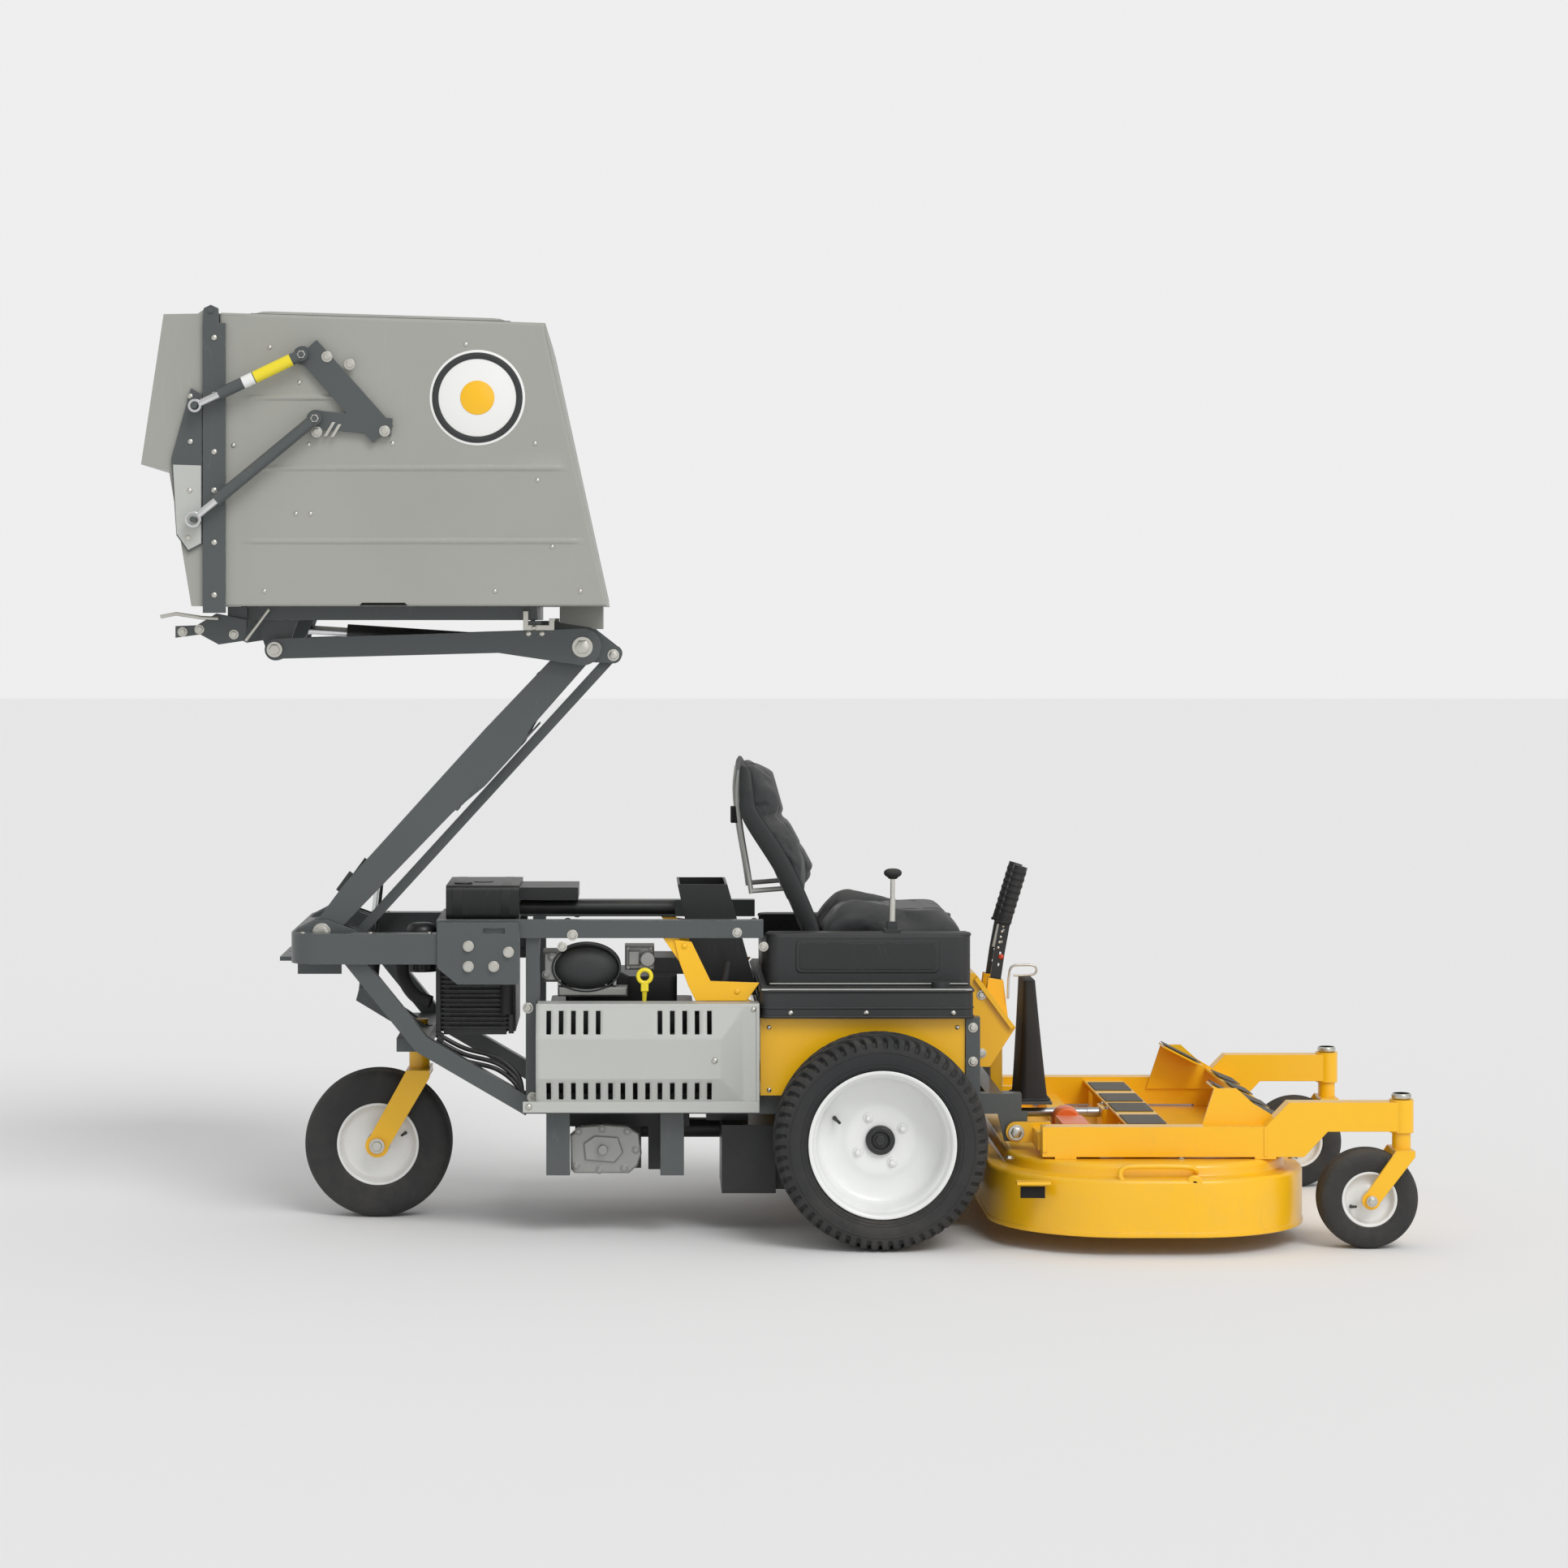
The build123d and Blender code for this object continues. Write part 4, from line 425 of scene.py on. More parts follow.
def group_pebble():
    """Height of moulded or leather grain: rounded cells, broken by a finer noise."""
    tree, inlet, outlet = new_group("pebble", [("Scale", FLOAT, 420.0)], [("Height", FLOAT)])
    place = node(tree, "ShaderNodeTexCoord").outputs["Object"]
    noise = node(tree, "ShaderNodeTexNoise", [("Vector", place)], Scale=70.0, Detail=2.0)
    bent = node(tree, "ShaderNodeVectorMath", operation="MULTIPLY_ADD")
    tree.links.new(noise.outputs["Color"], bent.inputs[0])
    bent.inputs[1].default_value = (0.006, 0.006, 0.006)
    tree.links.new(place, bent.inputs[2])
    cells = node(tree, "ShaderNodeTexVoronoi",
                 [("Vector", bent.outputs["Vector"]), ("Scale", inlet.outputs["Scale"])],
                 feature="DISTANCE_TO_EDGE")
    height = math(tree, "POWER", math(tree, "MULTIPLY", cells.outputs["Distance"], 2.4, clamp=True), 0.5)
    tree.links.new(height, outlet.inputs["Height"])
    return tree


GROUPS = {}


def group(name):
    """The shared node group of that name, built the first time it is asked for."""
    makers = {"worn edges": group_worn_edges, "mottle": group_mottle, "dust": group_dust,
              "scratches": group_scratches, "pebble": group_pebble}
    if name not in GROUPS:
        GROUPS[name] = makers[name]()
    return GROUPS[name]


# ------------------------------------------------------------------ finishes
# kind, base colour, roughness, and what each kind's builder needs
FINISHES = {
    "yellow enamel": ("paint", "yellow", 0.30,
                      dict(worn=(0.30, 0.25, 0.20), wear=0.5, dust=0.30, coat=0.55)),
    "frame enamel": ("paint", "frame", 0.40,
                     dict(worn=(0.34, 0.35, 0.36), wear=0.55, dust=0.26, coat=0.30)),
    "bin enamel": ("paint", "bin", 0.42, dict(worn=(0.62, 0.62, 0.60), wear=0.35, dust=0.16, coat=0.20)),
    "guard enamel": ("paint", "guard", 0.44,
                     dict(worn=(0.62, 0.62, 0.60), wear=0.35, dust=0.16, coat=0.15)),
    "black enamel": ("paint", (0.012, 0.013, 0.014), 0.42,
                     dict(worn=(0.20, 0.20, 0.20), wear=0.5, dust=0.20, coat=0.2)),
    "rim enamel": ("paint", (0.83, 0.84, 0.83), 0.30,
                   dict(worn=(0.42, 0.40, 0.38), wear=0.4, dust=0.22, coat=0.5)),
    "red enamel": ("paint", (0.55, 0.045, 0.02), 0.35,
                   dict(worn=(0.35, 0.3, 0.28), wear=0.4, dust=0.2, coat=0.4)),
    "orange enamel": ("paint", (0.88, 0.16, 0.015), 0.34,
                      dict(worn=(0.4, 0.35, 0.3), wear=0.5, dust=0.25, coat=0.4)),
    "label yellow": ("paint", (0.88, 0.72, 0.02), 0.40,
                     dict(worn=(0.7, 0.6, 0.2), wear=0.1, dust=0.1, coat=0.3)),
    "label white": ("paint", (0.85, 0.85, 0.83), 0.40,
                    dict(worn=(0.6, 0.6, 0.6), wear=0.1, dust=0.1, coat=0.3)),
    "moulded black": ("plastic", "plastic", 0.50, dict(scale=520.0, height=0.00022)),
    "soft grip": ("plastic", (0.016, 0.016, 0.017), 0.66, dict(scale=360.0, height=0.0004)),
    "seat vinyl": ("vinyl", "vinyl", 0.46, dict(scale=330.0, height=0.0005)),
    "tyre rubber": ("rubber", (0.020, 0.021, 0.023), 0.72, dict(scale=640.0, height=0.0003)),
    "cast alloy": ("metal", (0.34, 0.34, 0.33), 0.50, dict(metal=0.85, scale=460.0, height=0.0006)),
    "zinc plate": ("metal", (0.62, 0.61, 0.56), 0.34, dict(metal=1.0, scale=150.0, height=0.0001)),
    "chromed rod": ("metal", (0.78, 0.78, 0.79), 0.10, dict(metal=1.0, scale=300.0, height=0.00003)),
    "ground steel": ("metal", (0.45, 0.45, 0.46), 0.32, dict(metal=1.0, scale=220.0, height=0.0002)),
    "grip strip": ("grit", (0.075, 0.070, 0.062), 0.85, dict(scale=900.0, height=0.0009)),
    # near-black flat colour laid on slots and openings: painted shade standing in for the dark inside them
    "painted opening shade": ("plastic", (0.004, 0.004, 0.004), 0.9, dict(scale=300.0, height=0.0001)),
}
MADE = {}


def colour_of(base):
    """A finish's base colour with alpha, from the sidebar's own colours where it names one."""
    looks = bpy.context.scene.mower_looks
    chosen = {"yellow": looks.deck_colour, "frame": looks.frame_colour, "bin": looks.bin_colour,
              "guard": looks.guard_colour, "plastic": looks.plastic_colour, "vinyl": looks.seat_colour}
    return (*chosen.get(base, base)[:3], 1.0) if isinstance(base, str) else (*base, 1.0)


def shade(colour, factor):
    """The colour made lighter or darker by a factor."""
    return tuple(min(1.0, c * factor) for c in colour[:3]) + (1.0,)


def finish_of(name):
    """The material of that name, built the first time it is asked for: cloudy colour, wear, dust and
    scratches in the colour and roughness, and the fine relief in the normal."""
    if name in MADE:
        return MADE[name]
    kind, base, roughness, more = FINISHES[name]
    base = colour_of(base)
    material = bpy.data.materials.new(name)
    material.use_nodes = True
    tree = material.node_tree
    shader = tree.nodes["Principled BSDF"]

    def use(title, **values):
        made = tree.nodes.new("ShaderNodeGroup")
        made.node_tree = group(title)
        for key, value in values.items():
            made.inputs[key.replace("_", " ")].default_value = value
        return made.outputs

    fine = {"paint": 900.0, "rubber": 500.0}.get(kind, more.get("scale", 500.0))
    mottle = use("mottle", Cloud_Scale={"paint": 2.6, "metal": 9.0}.get(kind, 6.0), Grain_Scale=fine)
    spread = {"paint": 0.07, "metal": 0.22, "rubber": 0.28, "vinyl": 0.16, "grit": 0.4}.get(kind, 0.18)
    colour = mix_colour(tree, mottle["Cloud"], shade(base, 1 - spread), shade(base, 1 + spread))
    height, relief = mottle["Grain"], 0.00006
    rough = math(tree, "MULTIPLY_ADD", mottle["Cloud"], 0.16, roughness - 0.08, clamp=True)
    edges = use("worn edges", Radius=0.0022 if kind in ("paint", "metal") else 0.003,
                Amount=more.get("wear", 0.35))
    if kind == "paint":
        colour = mix_colour(tree, edges["Mask"], colour, (*more["worn"], 1.0))
        marks = use("scratches")["Mask"]
        colour = mix_colour(tree, math(tree, "MULTIPLY", marks, 0.10), colour, (*more["worn"], 1.0))
        rough = math(tree, "MULTIPLY_ADD", edges["Mask"], 0.25, rough, clamp=True)
        shader.inputs["Coat Weight"].default_value = more["coat"] * 0.6
        shader.inputs["Coat Roughness"].default_value = 0.16
    elif kind == "metal":
        shader.inputs["Metallic"].default_value = more["metal"]
        height, relief = mottle["Grain"], more["height"]
        rough = math(tree, "MULTIPLY_ADD", mottle["Grain"], 0.2, roughness - 0.1, clamp=True)
    else:
        height, relief = use("pebble", Scale=more["scale"])["Height"], more["height"]
        if kind == "grit":
            height = mottle["Grain"]
            colour = mix_colour(tree, mottle["Grain"], colour, shade(base, 2.4))
        if kind == "vinyl":
            shader.inputs["Sheen Weight"].default_value = 0.15
            shader.inputs["Specular IOR Level"].default_value = 0.42
    dusty = use("dust", Amount=more.get("dust", 0.35 if kind == "rubber" else 0.18))["Mask"]
    colour = mix_colour(tree, dusty, colour, (0.30, 0.27, 0.21, 1.0))
    rough = math(tree, "MULTIPLY_ADD", dusty, 0.3, rough, clamp=True)
    tree.links.new(colour, shader.inputs["Base Color"])
    tree.links.new(rough, shader.inputs["Roughness"])
    relieved = node(tree, "ShaderNodeBump", [("Height", height), ("Normal", edges["Normal"])],
                    Distance=relief, Strength=1.0)
    tree.links.new(relieved.outputs[0], shader.inputs["Normal"])
    MADE[name] = material
    return material


# ------------------------------------------------------------------ settings
class MowerLooks(bpy.types.PropertyGroup):
    """Colours of the visible pieces that a user would change."""

    deck_colour: bpy.props.FloatVectorProperty(
        name="Deck", description="Enamel of the deck, forks and side panels", subtype="COLOR", size=3,
        min=0, max=1, default=(0.99, 0.52, 0.0))
    frame_colour: bpy.props.FloatVectorProperty(
        name="Frame", description="Enamel of the frame and the lift arms", subtype="COLOR", size=3,
        min=0, max=1, default=(0.072, 0.083, 0.084))
    bin_colour: bpy.props.FloatVectorProperty(
        name="Bin", description="Enamel of the grass bin", subtype="COLOR", size=3,
        min=0, max=1, default=(0.355, 0.355, 0.325))
    guard_colour: bpy.props.FloatVectorProperty(
        name="Guard", description="Enamel of the muffler guard", subtype="COLOR", size=3,
        min=0, max=1, default=(0.50, 0.51, 0.48))
    plastic_colour: bpy.props.FloatVectorProperty(
        name="Mouldings", description="Colour of the moulded tanks and covers", subtype="COLOR", size=3,
        min=0, max=1, default=(0.024, 0.026, 0.027))
    seat_colour: bpy.props.FloatVectorProperty(
        name="Seat", description="Colour of the seat's vinyl", subtype="COLOR", size=3,
        min=0, max=1, default=(0.030, 0.032, 0.034))


class MowerStage(bpy.types.PropertyGroup):
    """Camera and light."""

    distance: bpy.props.FloatProperty(
        name="Camera distance", description="From the middle plane of the machine to the camera",
        unit="LENGTH", default=9.42, min=1)
    height: bpy.props.FloatProperty(
        name="Camera height", description="Above the ground", unit="LENGTH", default=1.468, min=0)
    behind: bpy.props.FloatProperty(
        name="Camera behind axle", description="Distance of the camera behind the drive axle",
        unit="LENGTH", default=0.567)
    lens: bpy.props.FloatProperty(
        name="Lens", description="Focal length in millimetres on a 36 mm sensor", default=87.93, min=10)
    light: bpy.props.FloatProperty(
        name="Key light", description="Strength of the wide sun lamp over the near side",
        default=1.15, min=0)


class MowerTread(bpy.types.PropertyGroup):
    """Tyres and rims."""

    lugs: bpy.props.IntProperty(
        name="Tread lugs", description="Lugs round each drive tyre", default=58, min=12, max=120)
    groove: bpy.props.FloatProperty(
        name="Groove depth", description="Depth of the tread of a drive tyre", unit="LENGTH",
        default=0.010, min=0.001, max=0.02)
    dish: bpy.props.FloatProperty(
        name="Rim inset", description="From the face of a drive rim to its disc", unit="LENGTH",
        default=0.098, min=0.01, max=0.14)


class MowerSeat(bpy.types.PropertyGroup):
    """Seat cushions."""

    pressure: bpy.props.FloatProperty(
        name="Stuffing", description="Air pressure that swells the cushions", default=4.0, min=0, max=20)
    swell: bpy.props.FloatProperty(
        name="Largest swell", description="Most that a point of a cushion may move", unit="LENGTH",
        default=0.022, min=0.0, max=0.05)
    voxel: bpy.props.FloatProperty(
        name="Voxel", description="Size of the cushion mesh before it swells", unit="LENGTH",
        default=0.0065, min=0.004, max=0.02)


# ------------------------------------------------------------------ stage
class MOWER_OT_stage(bpy.types.Operator):
    """Pale floor, soft studio lamps, a white surround and the camera"""

    bl_idname = "mower.stage"
    bl_label = "Stage"

    def execute(self, context):
        stage = context.scene.mower_stage
        camera_data = bpy.data.cameras.new("camera")
        camera = bpy.data.objects.new("camera", camera_data)
        context.scene.collection.objects.link(camera)
        camera.location = (AXLE * MM - stage.behind, -stage.distance, stage.height)
        camera.rotation_euler = (pi / 2, 0, 0)
        camera_data.lens, camera_data.sensor_width = stage.lens, 36
        camera_data.shift_x, camera_data.shift_y = 0.0937, -0.1061
        camera_data.clip_end = 200
        context.scene.camera = camera

        mesh = bpy.data.meshes.new("floor")
        reach = 60.0
        corners = [(-reach, -reach, 0), (reach, -reach, 0), (reach, reach, 0), (-reach, reach, 0)]
        mesh.from_pydata(corners, [], [(0, 1, 2, 3)])
        floor = bpy.data.objects.new("floor", mesh)
        context.scene.collection.objects.link(floor)
        pale = bpy.data.materials.new("pale floor")
        pale.use_nodes = True
        shader = pale.node_tree.nodes["Principled BSDF"]
        shader.inputs["Base Color"].default_value = (0.86, 0.86, 0.86, 1)
        shader.inputs["Roughness"].default_value = 0.9
        shader.inputs["Specular IOR Level"].default_value = 0.1
        mesh.materials.append(pale)

        world = bpy.data.worlds.new("surround")
        world.use_nodes = True
        world.node_tree.nodes["Background"].inputs["Color"].default_value = (1, 1, 1, 1)
        shown = node(world.node_tree, "ShaderNodeLightPath").outputs["Is Camera Ray"]
        strength = math(world.node_tree, "MULTIPLY_ADD", shown, 0.22, 0.64)
        world.node_tree.links.new(strength, world.node_tree.nodes["Background"].inputs["Strength"])
        context.scene.world = world
        context.scene.view_settings.view_transform = "Standard"
        for name, aim, spread, power in (("key", (-0.35, 0.75, -0.85), 26, stage.light),
                                         ("fill", (-0.55, 0.9, -0.28), 50, stage.light * 0.30)):
            data = bpy.data.lights.new(name, "SUN")
            data.angle, data.energy = radians(spread), power
            lamp = bpy.data.objects.new(name, data)
            context.scene.collection.objects.link(lamp)
            lamp.rotation_euler = Vector(aim).to_track_quat("-Z", "Y").to_euler()
        return {"FINISHED"}


# ------------------------------------------------------------------ CAD nodes that stay
NODE_FINISH = {
    "frame enamel": ("main_frame", "lift_frame", "lift_arms", "level_links", "upper_frame", "bin_platform",
                     "bin_posts", "door_brackets", "upper_strut_barrels", "lower_strut_barrels"),
    "black enamel": ("engine_block", "muffler", "transmission", "radiator", "lift_cylinder_barrel",
                     "dump_cylinder_barrel", "hydraulic_tank", "oil_filter", "steering_lever_right",
                     "steering_lever_left", "blower_duct"),
    "bin enamel": ("bin_side_right", "bin_side_left", "bin_wrap", "bin_door"),
    "guard enamel": ("muffler_guard",),
    "moulded black": ("air_cleaner", "fuel_tanks", "seat_base", "pedestal_cover", "seat_shell"),
    "yellow enamel": ("body_panels", "tail_fork", "deck_shell", "deck_frame", "deck_gearbox", "footrest",
                      "caster_fork_right", "caster_fork_left"),
    "zinc plate": ("chassis_bolts", "speed_lever"),
    "chromed rod": ("lift_cylinder_rod", "dump_cylinder_rod", "upper_strut_rods", "lower_strut_rods"),
    "ground steel": ("blade_right", "blade_left", "deck_drive_shaft"),
    "rim enamel": ("drive_rim_right", "drive_rim_left", "tail_rim", "caster_rim_right", "caster_rim_left"),
    "tyre rubber": ("drive_tyre_right", "drive_tyre_left", "tail_tyre", "caster_tyre_right",
                    "caster_tyre_left"),
    "seat vinyl": ("seat_cushion", "seat_back_cushion"),
}


class MOWER_OT_frame_finishes(bpy.types.Operator):
    """Worn enamel, plastic, rubber and metal on the frame's own parts"""

    bl_idname = "mower.frame_finishes"
    bl_label = "Frame finishes"

    def execute(self, context):
        for finish, nodes in NODE_FINISH.items():
            for name in nodes:
                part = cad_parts[name]
                part.data.materials.clear()
                part.data.materials.append(finish_of(finish))
        missing = set(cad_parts) - {n for nodes in NODE_FINISH.values() for n in nodes}
        if missing:
            raise RuntimeError(f"no finish for {sorted(missing)}")
        return {"FINISHED"}


# ------------------------------------------------------------------ wheels
def tyre_skin(profile, segments, cut=None):
    """Skin of a tyre: (half width, radius) pairs turned about the axle. The cut, if given, takes a
    depth off the radius as a function of the angle and of the profile's own two numbers."""
    profile = np.asarray(profile, float)
    angle = np.arange(segments) / segments * 2 * pi
    across = np.broadcast_to(profile[:, None, 0], (len(profile), segments))
    radius = np.broadcast_to(profile[:, None, 1], (len(profile), segments)).copy()
    if cut is not None:
        depth_in, depth_across = cut(angle[None], across, radius)
        radius = radius - depth_in
        across = across - depth_across
    return np.stack([radius * np.cos(angle), across, radius * np.sin(angle)], -1)


def drive_tyre(middle, hand):
    """Turf tyre: sidewalls bowed between bead and shoulder, and a crown cut by slanting grooves into
    shoulder lugs and two rows of blocks between them."""
    tread = bpy.context.scene.mower_tread
    wall = curve([(84, 166), (93, 172), (98, 190), (99.5, 206), (98, 218), (95, 228)], 16)
    shoulder = curve([(95, 228), (92, 236), (85, 242.5), (78, 245)], 12)[1:]
    crown_y = np.linspace(78, 0, 26)[1:]
    crown = np.stack([crown_y, 250 - 5 * (crown_y / 78) ** 2], 1)
    inside = np.array([(78, 164.8)])
    half = np.vstack([inside, wall, shoulder, crown])
    profile = np.vstack([half, (half * [-1, 1])[::-1][1:]])
    pitch = 2 * pi / tread.lugs

    def cut(angle, across, radius):
        outer = smooth(radius, 222, 229)
        side = np.abs(across)
        lean = angle + side * 0.0009
        shoulder_wave = np.abs(((lean / pitch) % 1) - 0.5) * 2
        middle_wave = np.abs((((lean + side * 0.0035) / pitch * 0.5 + 0.25) % 1) - 0.5) * 2
        shoulder_groove = smooth(shoulder_wave, 0.56, 0.66) * smooth(side, 56, 60)
        middle_groove = smooth(middle_wave, 0.74, 0.80) * (1 - smooth(side, 50, 54))
        rings = np.maximum(bump(side, 54, 2.2, 2.0), bump(side, 18, 2.0, 2.0))
        depth = np.maximum(np.maximum(shoulder_groove, middle_groove), rings) * outer
        flank = smooth(side, 82, 92)
        return depth * tread.groove / MM * (1 - 0.55 * flank), np.sign(across) * depth * 5.0 * flank

    skin = tyre_skin(profile, tread.lugs * 12, cut) + np.array(middle)
    shape = Shape().grid(skin, wrap_rows=True, wrap_columns=True)
    for side in SIDES:
        for radius, wire, bow in ((181, 1.5, 95.6), (188, 1.0, 97.6), (214, 1.6, 98.4)):
            shape.ring(middle + np.array([0, side * bow, 0]), radius, wire, segments=96, sides=6)
    shape.make(f"turf_tyre_{hand}", f"drive_wheel_{hand}", "tyre_rubber", "tyre rubber",
               smooth_angle=42, replaces=(f"drive_tyre_{hand}",))


def drive_rim(middle, turn, hand):
    """Pressed rim: rolled lip, stepped barrel and a dished disc set well in, with hub, lugs and valve."""
    body = f"drive_wheel_{hand}"
    inset = bpy.context.scene.mower_tread.dish / MM
    disc_at = 96 - inset
    line = curve([(171, 96), (171.5, 98), (168, 98.5), (163, 96), (160.5, 90), (159, 76), (152, 66),
                  (150, 40), (148, 14), (140, disc_at + 5), (120, disc_at), (96, disc_at + 1.5),
                  (78, disc_at + 7), (60, disc_at + 8), (34, disc_at + 8)], 70)
    back = curve([(150, 10), (151, -30), (154, -62), (160, -72), (161, -90), (166, -97), (171, -97)], 30)
    rim = Shape()
    for part in (line, back):
        rim.lathe(thick(part * [1, turn], 3.2 * turn), middle, segments=96, closed=True)
    for k in range(4):
        angle = radians(28 + 90 * k)
        place = (middle[0] + 59 * cos(angle), middle[1] + turn * (disc_at + 7), middle[2] + 59 * sin(angle))
        rim.lathe([(0, 0), (13, 0), (11, turn * 3), (8, turn * 3.5), (0, turn * 3.5)], place, segments=20)
        rim.bolt((place[0], place[1] + turn * 3, place[2]), 7, 8, way=turn, washer=False)
    rim.make(f"rim_{hand}", body, "rim_paint", "rim enamel", replaces=(f"drive_rim_{hand}",))
    hub = Shape()
    hub.lathe([(0, disc_at - 26), (30, disc_at - 26), (34, disc_at + 5), (34, disc_at + 18),
               (30, disc_at + 22), (22, disc_at + 22), (21, disc_at + 12),
               (0, disc_at + 12)] * np.array([1, turn]),
              middle, segments=40)
    hub.bolt((middle[0], middle[1] + turn * (disc_at + 12), middle[2]), 13, 9, way=turn)
    hub.make(f"hub_{hand}", body, "black_paint", "black enamel", bevel=0.8)
    valve = Shape()
    foot = np.array([middle[0] - 106, middle[1] + turn * (disc_at - 1), middle[2] + 50])
    valve.tube(foot + np.array([[0, 0, 0], [0, turn * 8, 0], [6, turn * 24, -4], [10, turn * 34, -7]]),
               [5.5, 5, 3.6, 3.6], 10, up=(0, 0, 1))
    valve.make(f"valve_{hand}", body, "black_plastic", "moulded black")


def ribbed_tyre(node_name, body, name, ribs):
    """Smooth wheel tyre: round shoulders, and a crown with shallow rings between its ribs."""
    low, high = node_box(node_name)
    middle = (low + high) / 2
    radius, half = (high[2] - low[2]) / 2, (high[1] - low[1]) / 2
    bead = radius * (0.54 if radius > 150 else 0.53)
    outer = curve([(0.80 * half, bead + 1.5), (0.93 * half, bead + 0.12 * (radius - bead)),
                   (half - 0.2, bead + 0.45 * (radius - bead)),
                   (0.97 * half, bead + 0.68 * (radius - bead)),
                   (0.86 * half, bead + 0.87 * (radius - bead)), (0.62 * half, radius - 1.5),
                   (0.3 * half, radius - 0.2), (0, radius)], 54)
    outer = np.vstack([[(0.70 * half, bead - 0.6)], outer])
    side_marks = bump(outer[:, 1], bead + 0.2 * (radius - bead), 0.6, 0.8) * 1.4
    crown = smooth(outer[:, 1], radius - 7, radius - 3)
    grooves = sum(bump(outer[:, 0], at * half, 0.035 * half, 0.03 * half) for at in ribs) * 3.2 * crown
    outer[:, 0] += np.where(side_marks > 0, -side_marks * 0.4, 0)
    outer[:, 1] -= grooves
    profile = np.vstack([outer, (outer * [-1, 1])[::-1][1:]])
    skin = tyre_skin(profile, 120) + middle
    Shape().grid(skin, True, True).make(name, body, "tyre_rubber", "tyre rubber", smooth_angle=50,
                                        replaces=(node_name,))
    return middle, half, bead


def small_rim(node_name, body, name, middle, half, bead, valve_at):
    """Two pressed dishes back to back on a hub: a rolled lip, a barrel and a domed disc each side."""
    rim = Shape()
    hub = 0.30 * bead
    for side in SIDES:
        line = curve([(bead + 3, 0.80 * half), (bead + 3, 0.86 * half), (bead - 1, 0.87 * half),
                      (bead - 4, 0.80 * half), (0.90 * bead, 0.52 * half), (0.84 * bead, 0.42 * half),
                      (0.70 * bead, 0.40 * half), (0.52 * bead, 0.46 * half), (hub + 2, 0.62 * half),
                      (hub, 0.64 * half)], 48)
        rim.lathe(thick(line * [1, side], 2.0 * side), middle, segments=72, closed=True)
    rim.lathe([(bead - 2, -0.8 * half), (bead - 2, 0.8 * half), (bead - 5, 0.8 * half),
               (bead - 5, -0.8 * half)],
              middle, segments=72, closed=True)
    rim.lathe([(hub, -0.66 * half), (hub, 0.66 * half), (0.18 * bead, 0.66 * half),
               (0.18 * bead, -0.66 * half)],
              middle, segments=32, closed=True)
    rim.make(name, body, "rim_paint", "rim enamel", replaces=(node_name,))
    angle = radians(valve_at)
    foot = middle + np.array([0.72 * bead * cos(angle), -0.40 * half, 0.72 * bead * sin(angle)])
    inward = -np.array([cos(angle), 0, sin(angle)])
    path = [foot, foot + (0, -6, 0), foot + np.array([0, -18, 0]) + inward * 4,
            foot + np.array([0, -26, 0]) + inward * 8]
    Shape().tube(path, [4.5, 4, 3, 3], 8, up=(0, 0, 1)).make(name + "_valve", body, "black_plastic",
                                                            "moulded black")


class MOWER_OT_wheels(bpy.types.Operator):
    """Turf drive tyres on deep rims, and ribbed tail and caster wheels"""

    bl_idname = "mower.wheels"
    bl_label = "Wheels"

    def execute(self, context):
        for turn, hand in HANDS:
            low, high = node_box(f"drive_tyre_{hand}")
            middle = (low + high) / 2
            drive_tyre(middle, hand)
            drive_rim(middle, turn, hand)
            wheel = f"front_wheel_{hand}"
            sizes = ribbed_tyre(f"caster_tyre_{hand}", wheel, f"caster_tyre_ribbed_{hand}",
                                (0.0, 0.34, -0.34))
            small_rim(f"caster_rim_{hand}", wheel, f"caster_rim_pressed_{hand}", *sizes, 205)
        sizes = ribbed_tyre("tail_tyre", "tail_wheel", "tail_tyre_ribbed", (0.12, -0.12, 0.42, -0.42))
        small_rim("tail_rim", "tail_wheel", "tail_rim_pressed", *sizes, 20)
        return {"FINISHED"}


# ------------------------------------------------------------------ grass bin
def knots(low, high, coarse, spots=(), fine=2.0, reach=12.0):
    """Rising numbers from low to high: even coarse steps, with fine ones round each spot."""
    parts = [np.linspace(low, high, max(2, int(abs(high - low) / coarse) + 1))]
    parts += [np.arange(spot - reach, spot + reach + fine, fine) for spot in spots]
    every = np.unique(np.round(np.concatenate(parts), 3))
    every = every[(every >= low) & (every <= high)]
    return every[np.concatenate([[True], np.diff(every) > fine * 0.4])]


def bin_front(z):
    """Front edge of the bin's side at a height."""
    return np.interp(z, (BIN_TOE[1], BIN_BROW[1]), (BIN_TOE[0], BIN_BROW[0]))


def bin_roof(x):
    """Height of the bin's roof, which falls a little towards the front."""
    return np.interp(x, (BIN_REAR, BIN_BROW[0]), (BIN_TOP, BIN_BROW[1]))


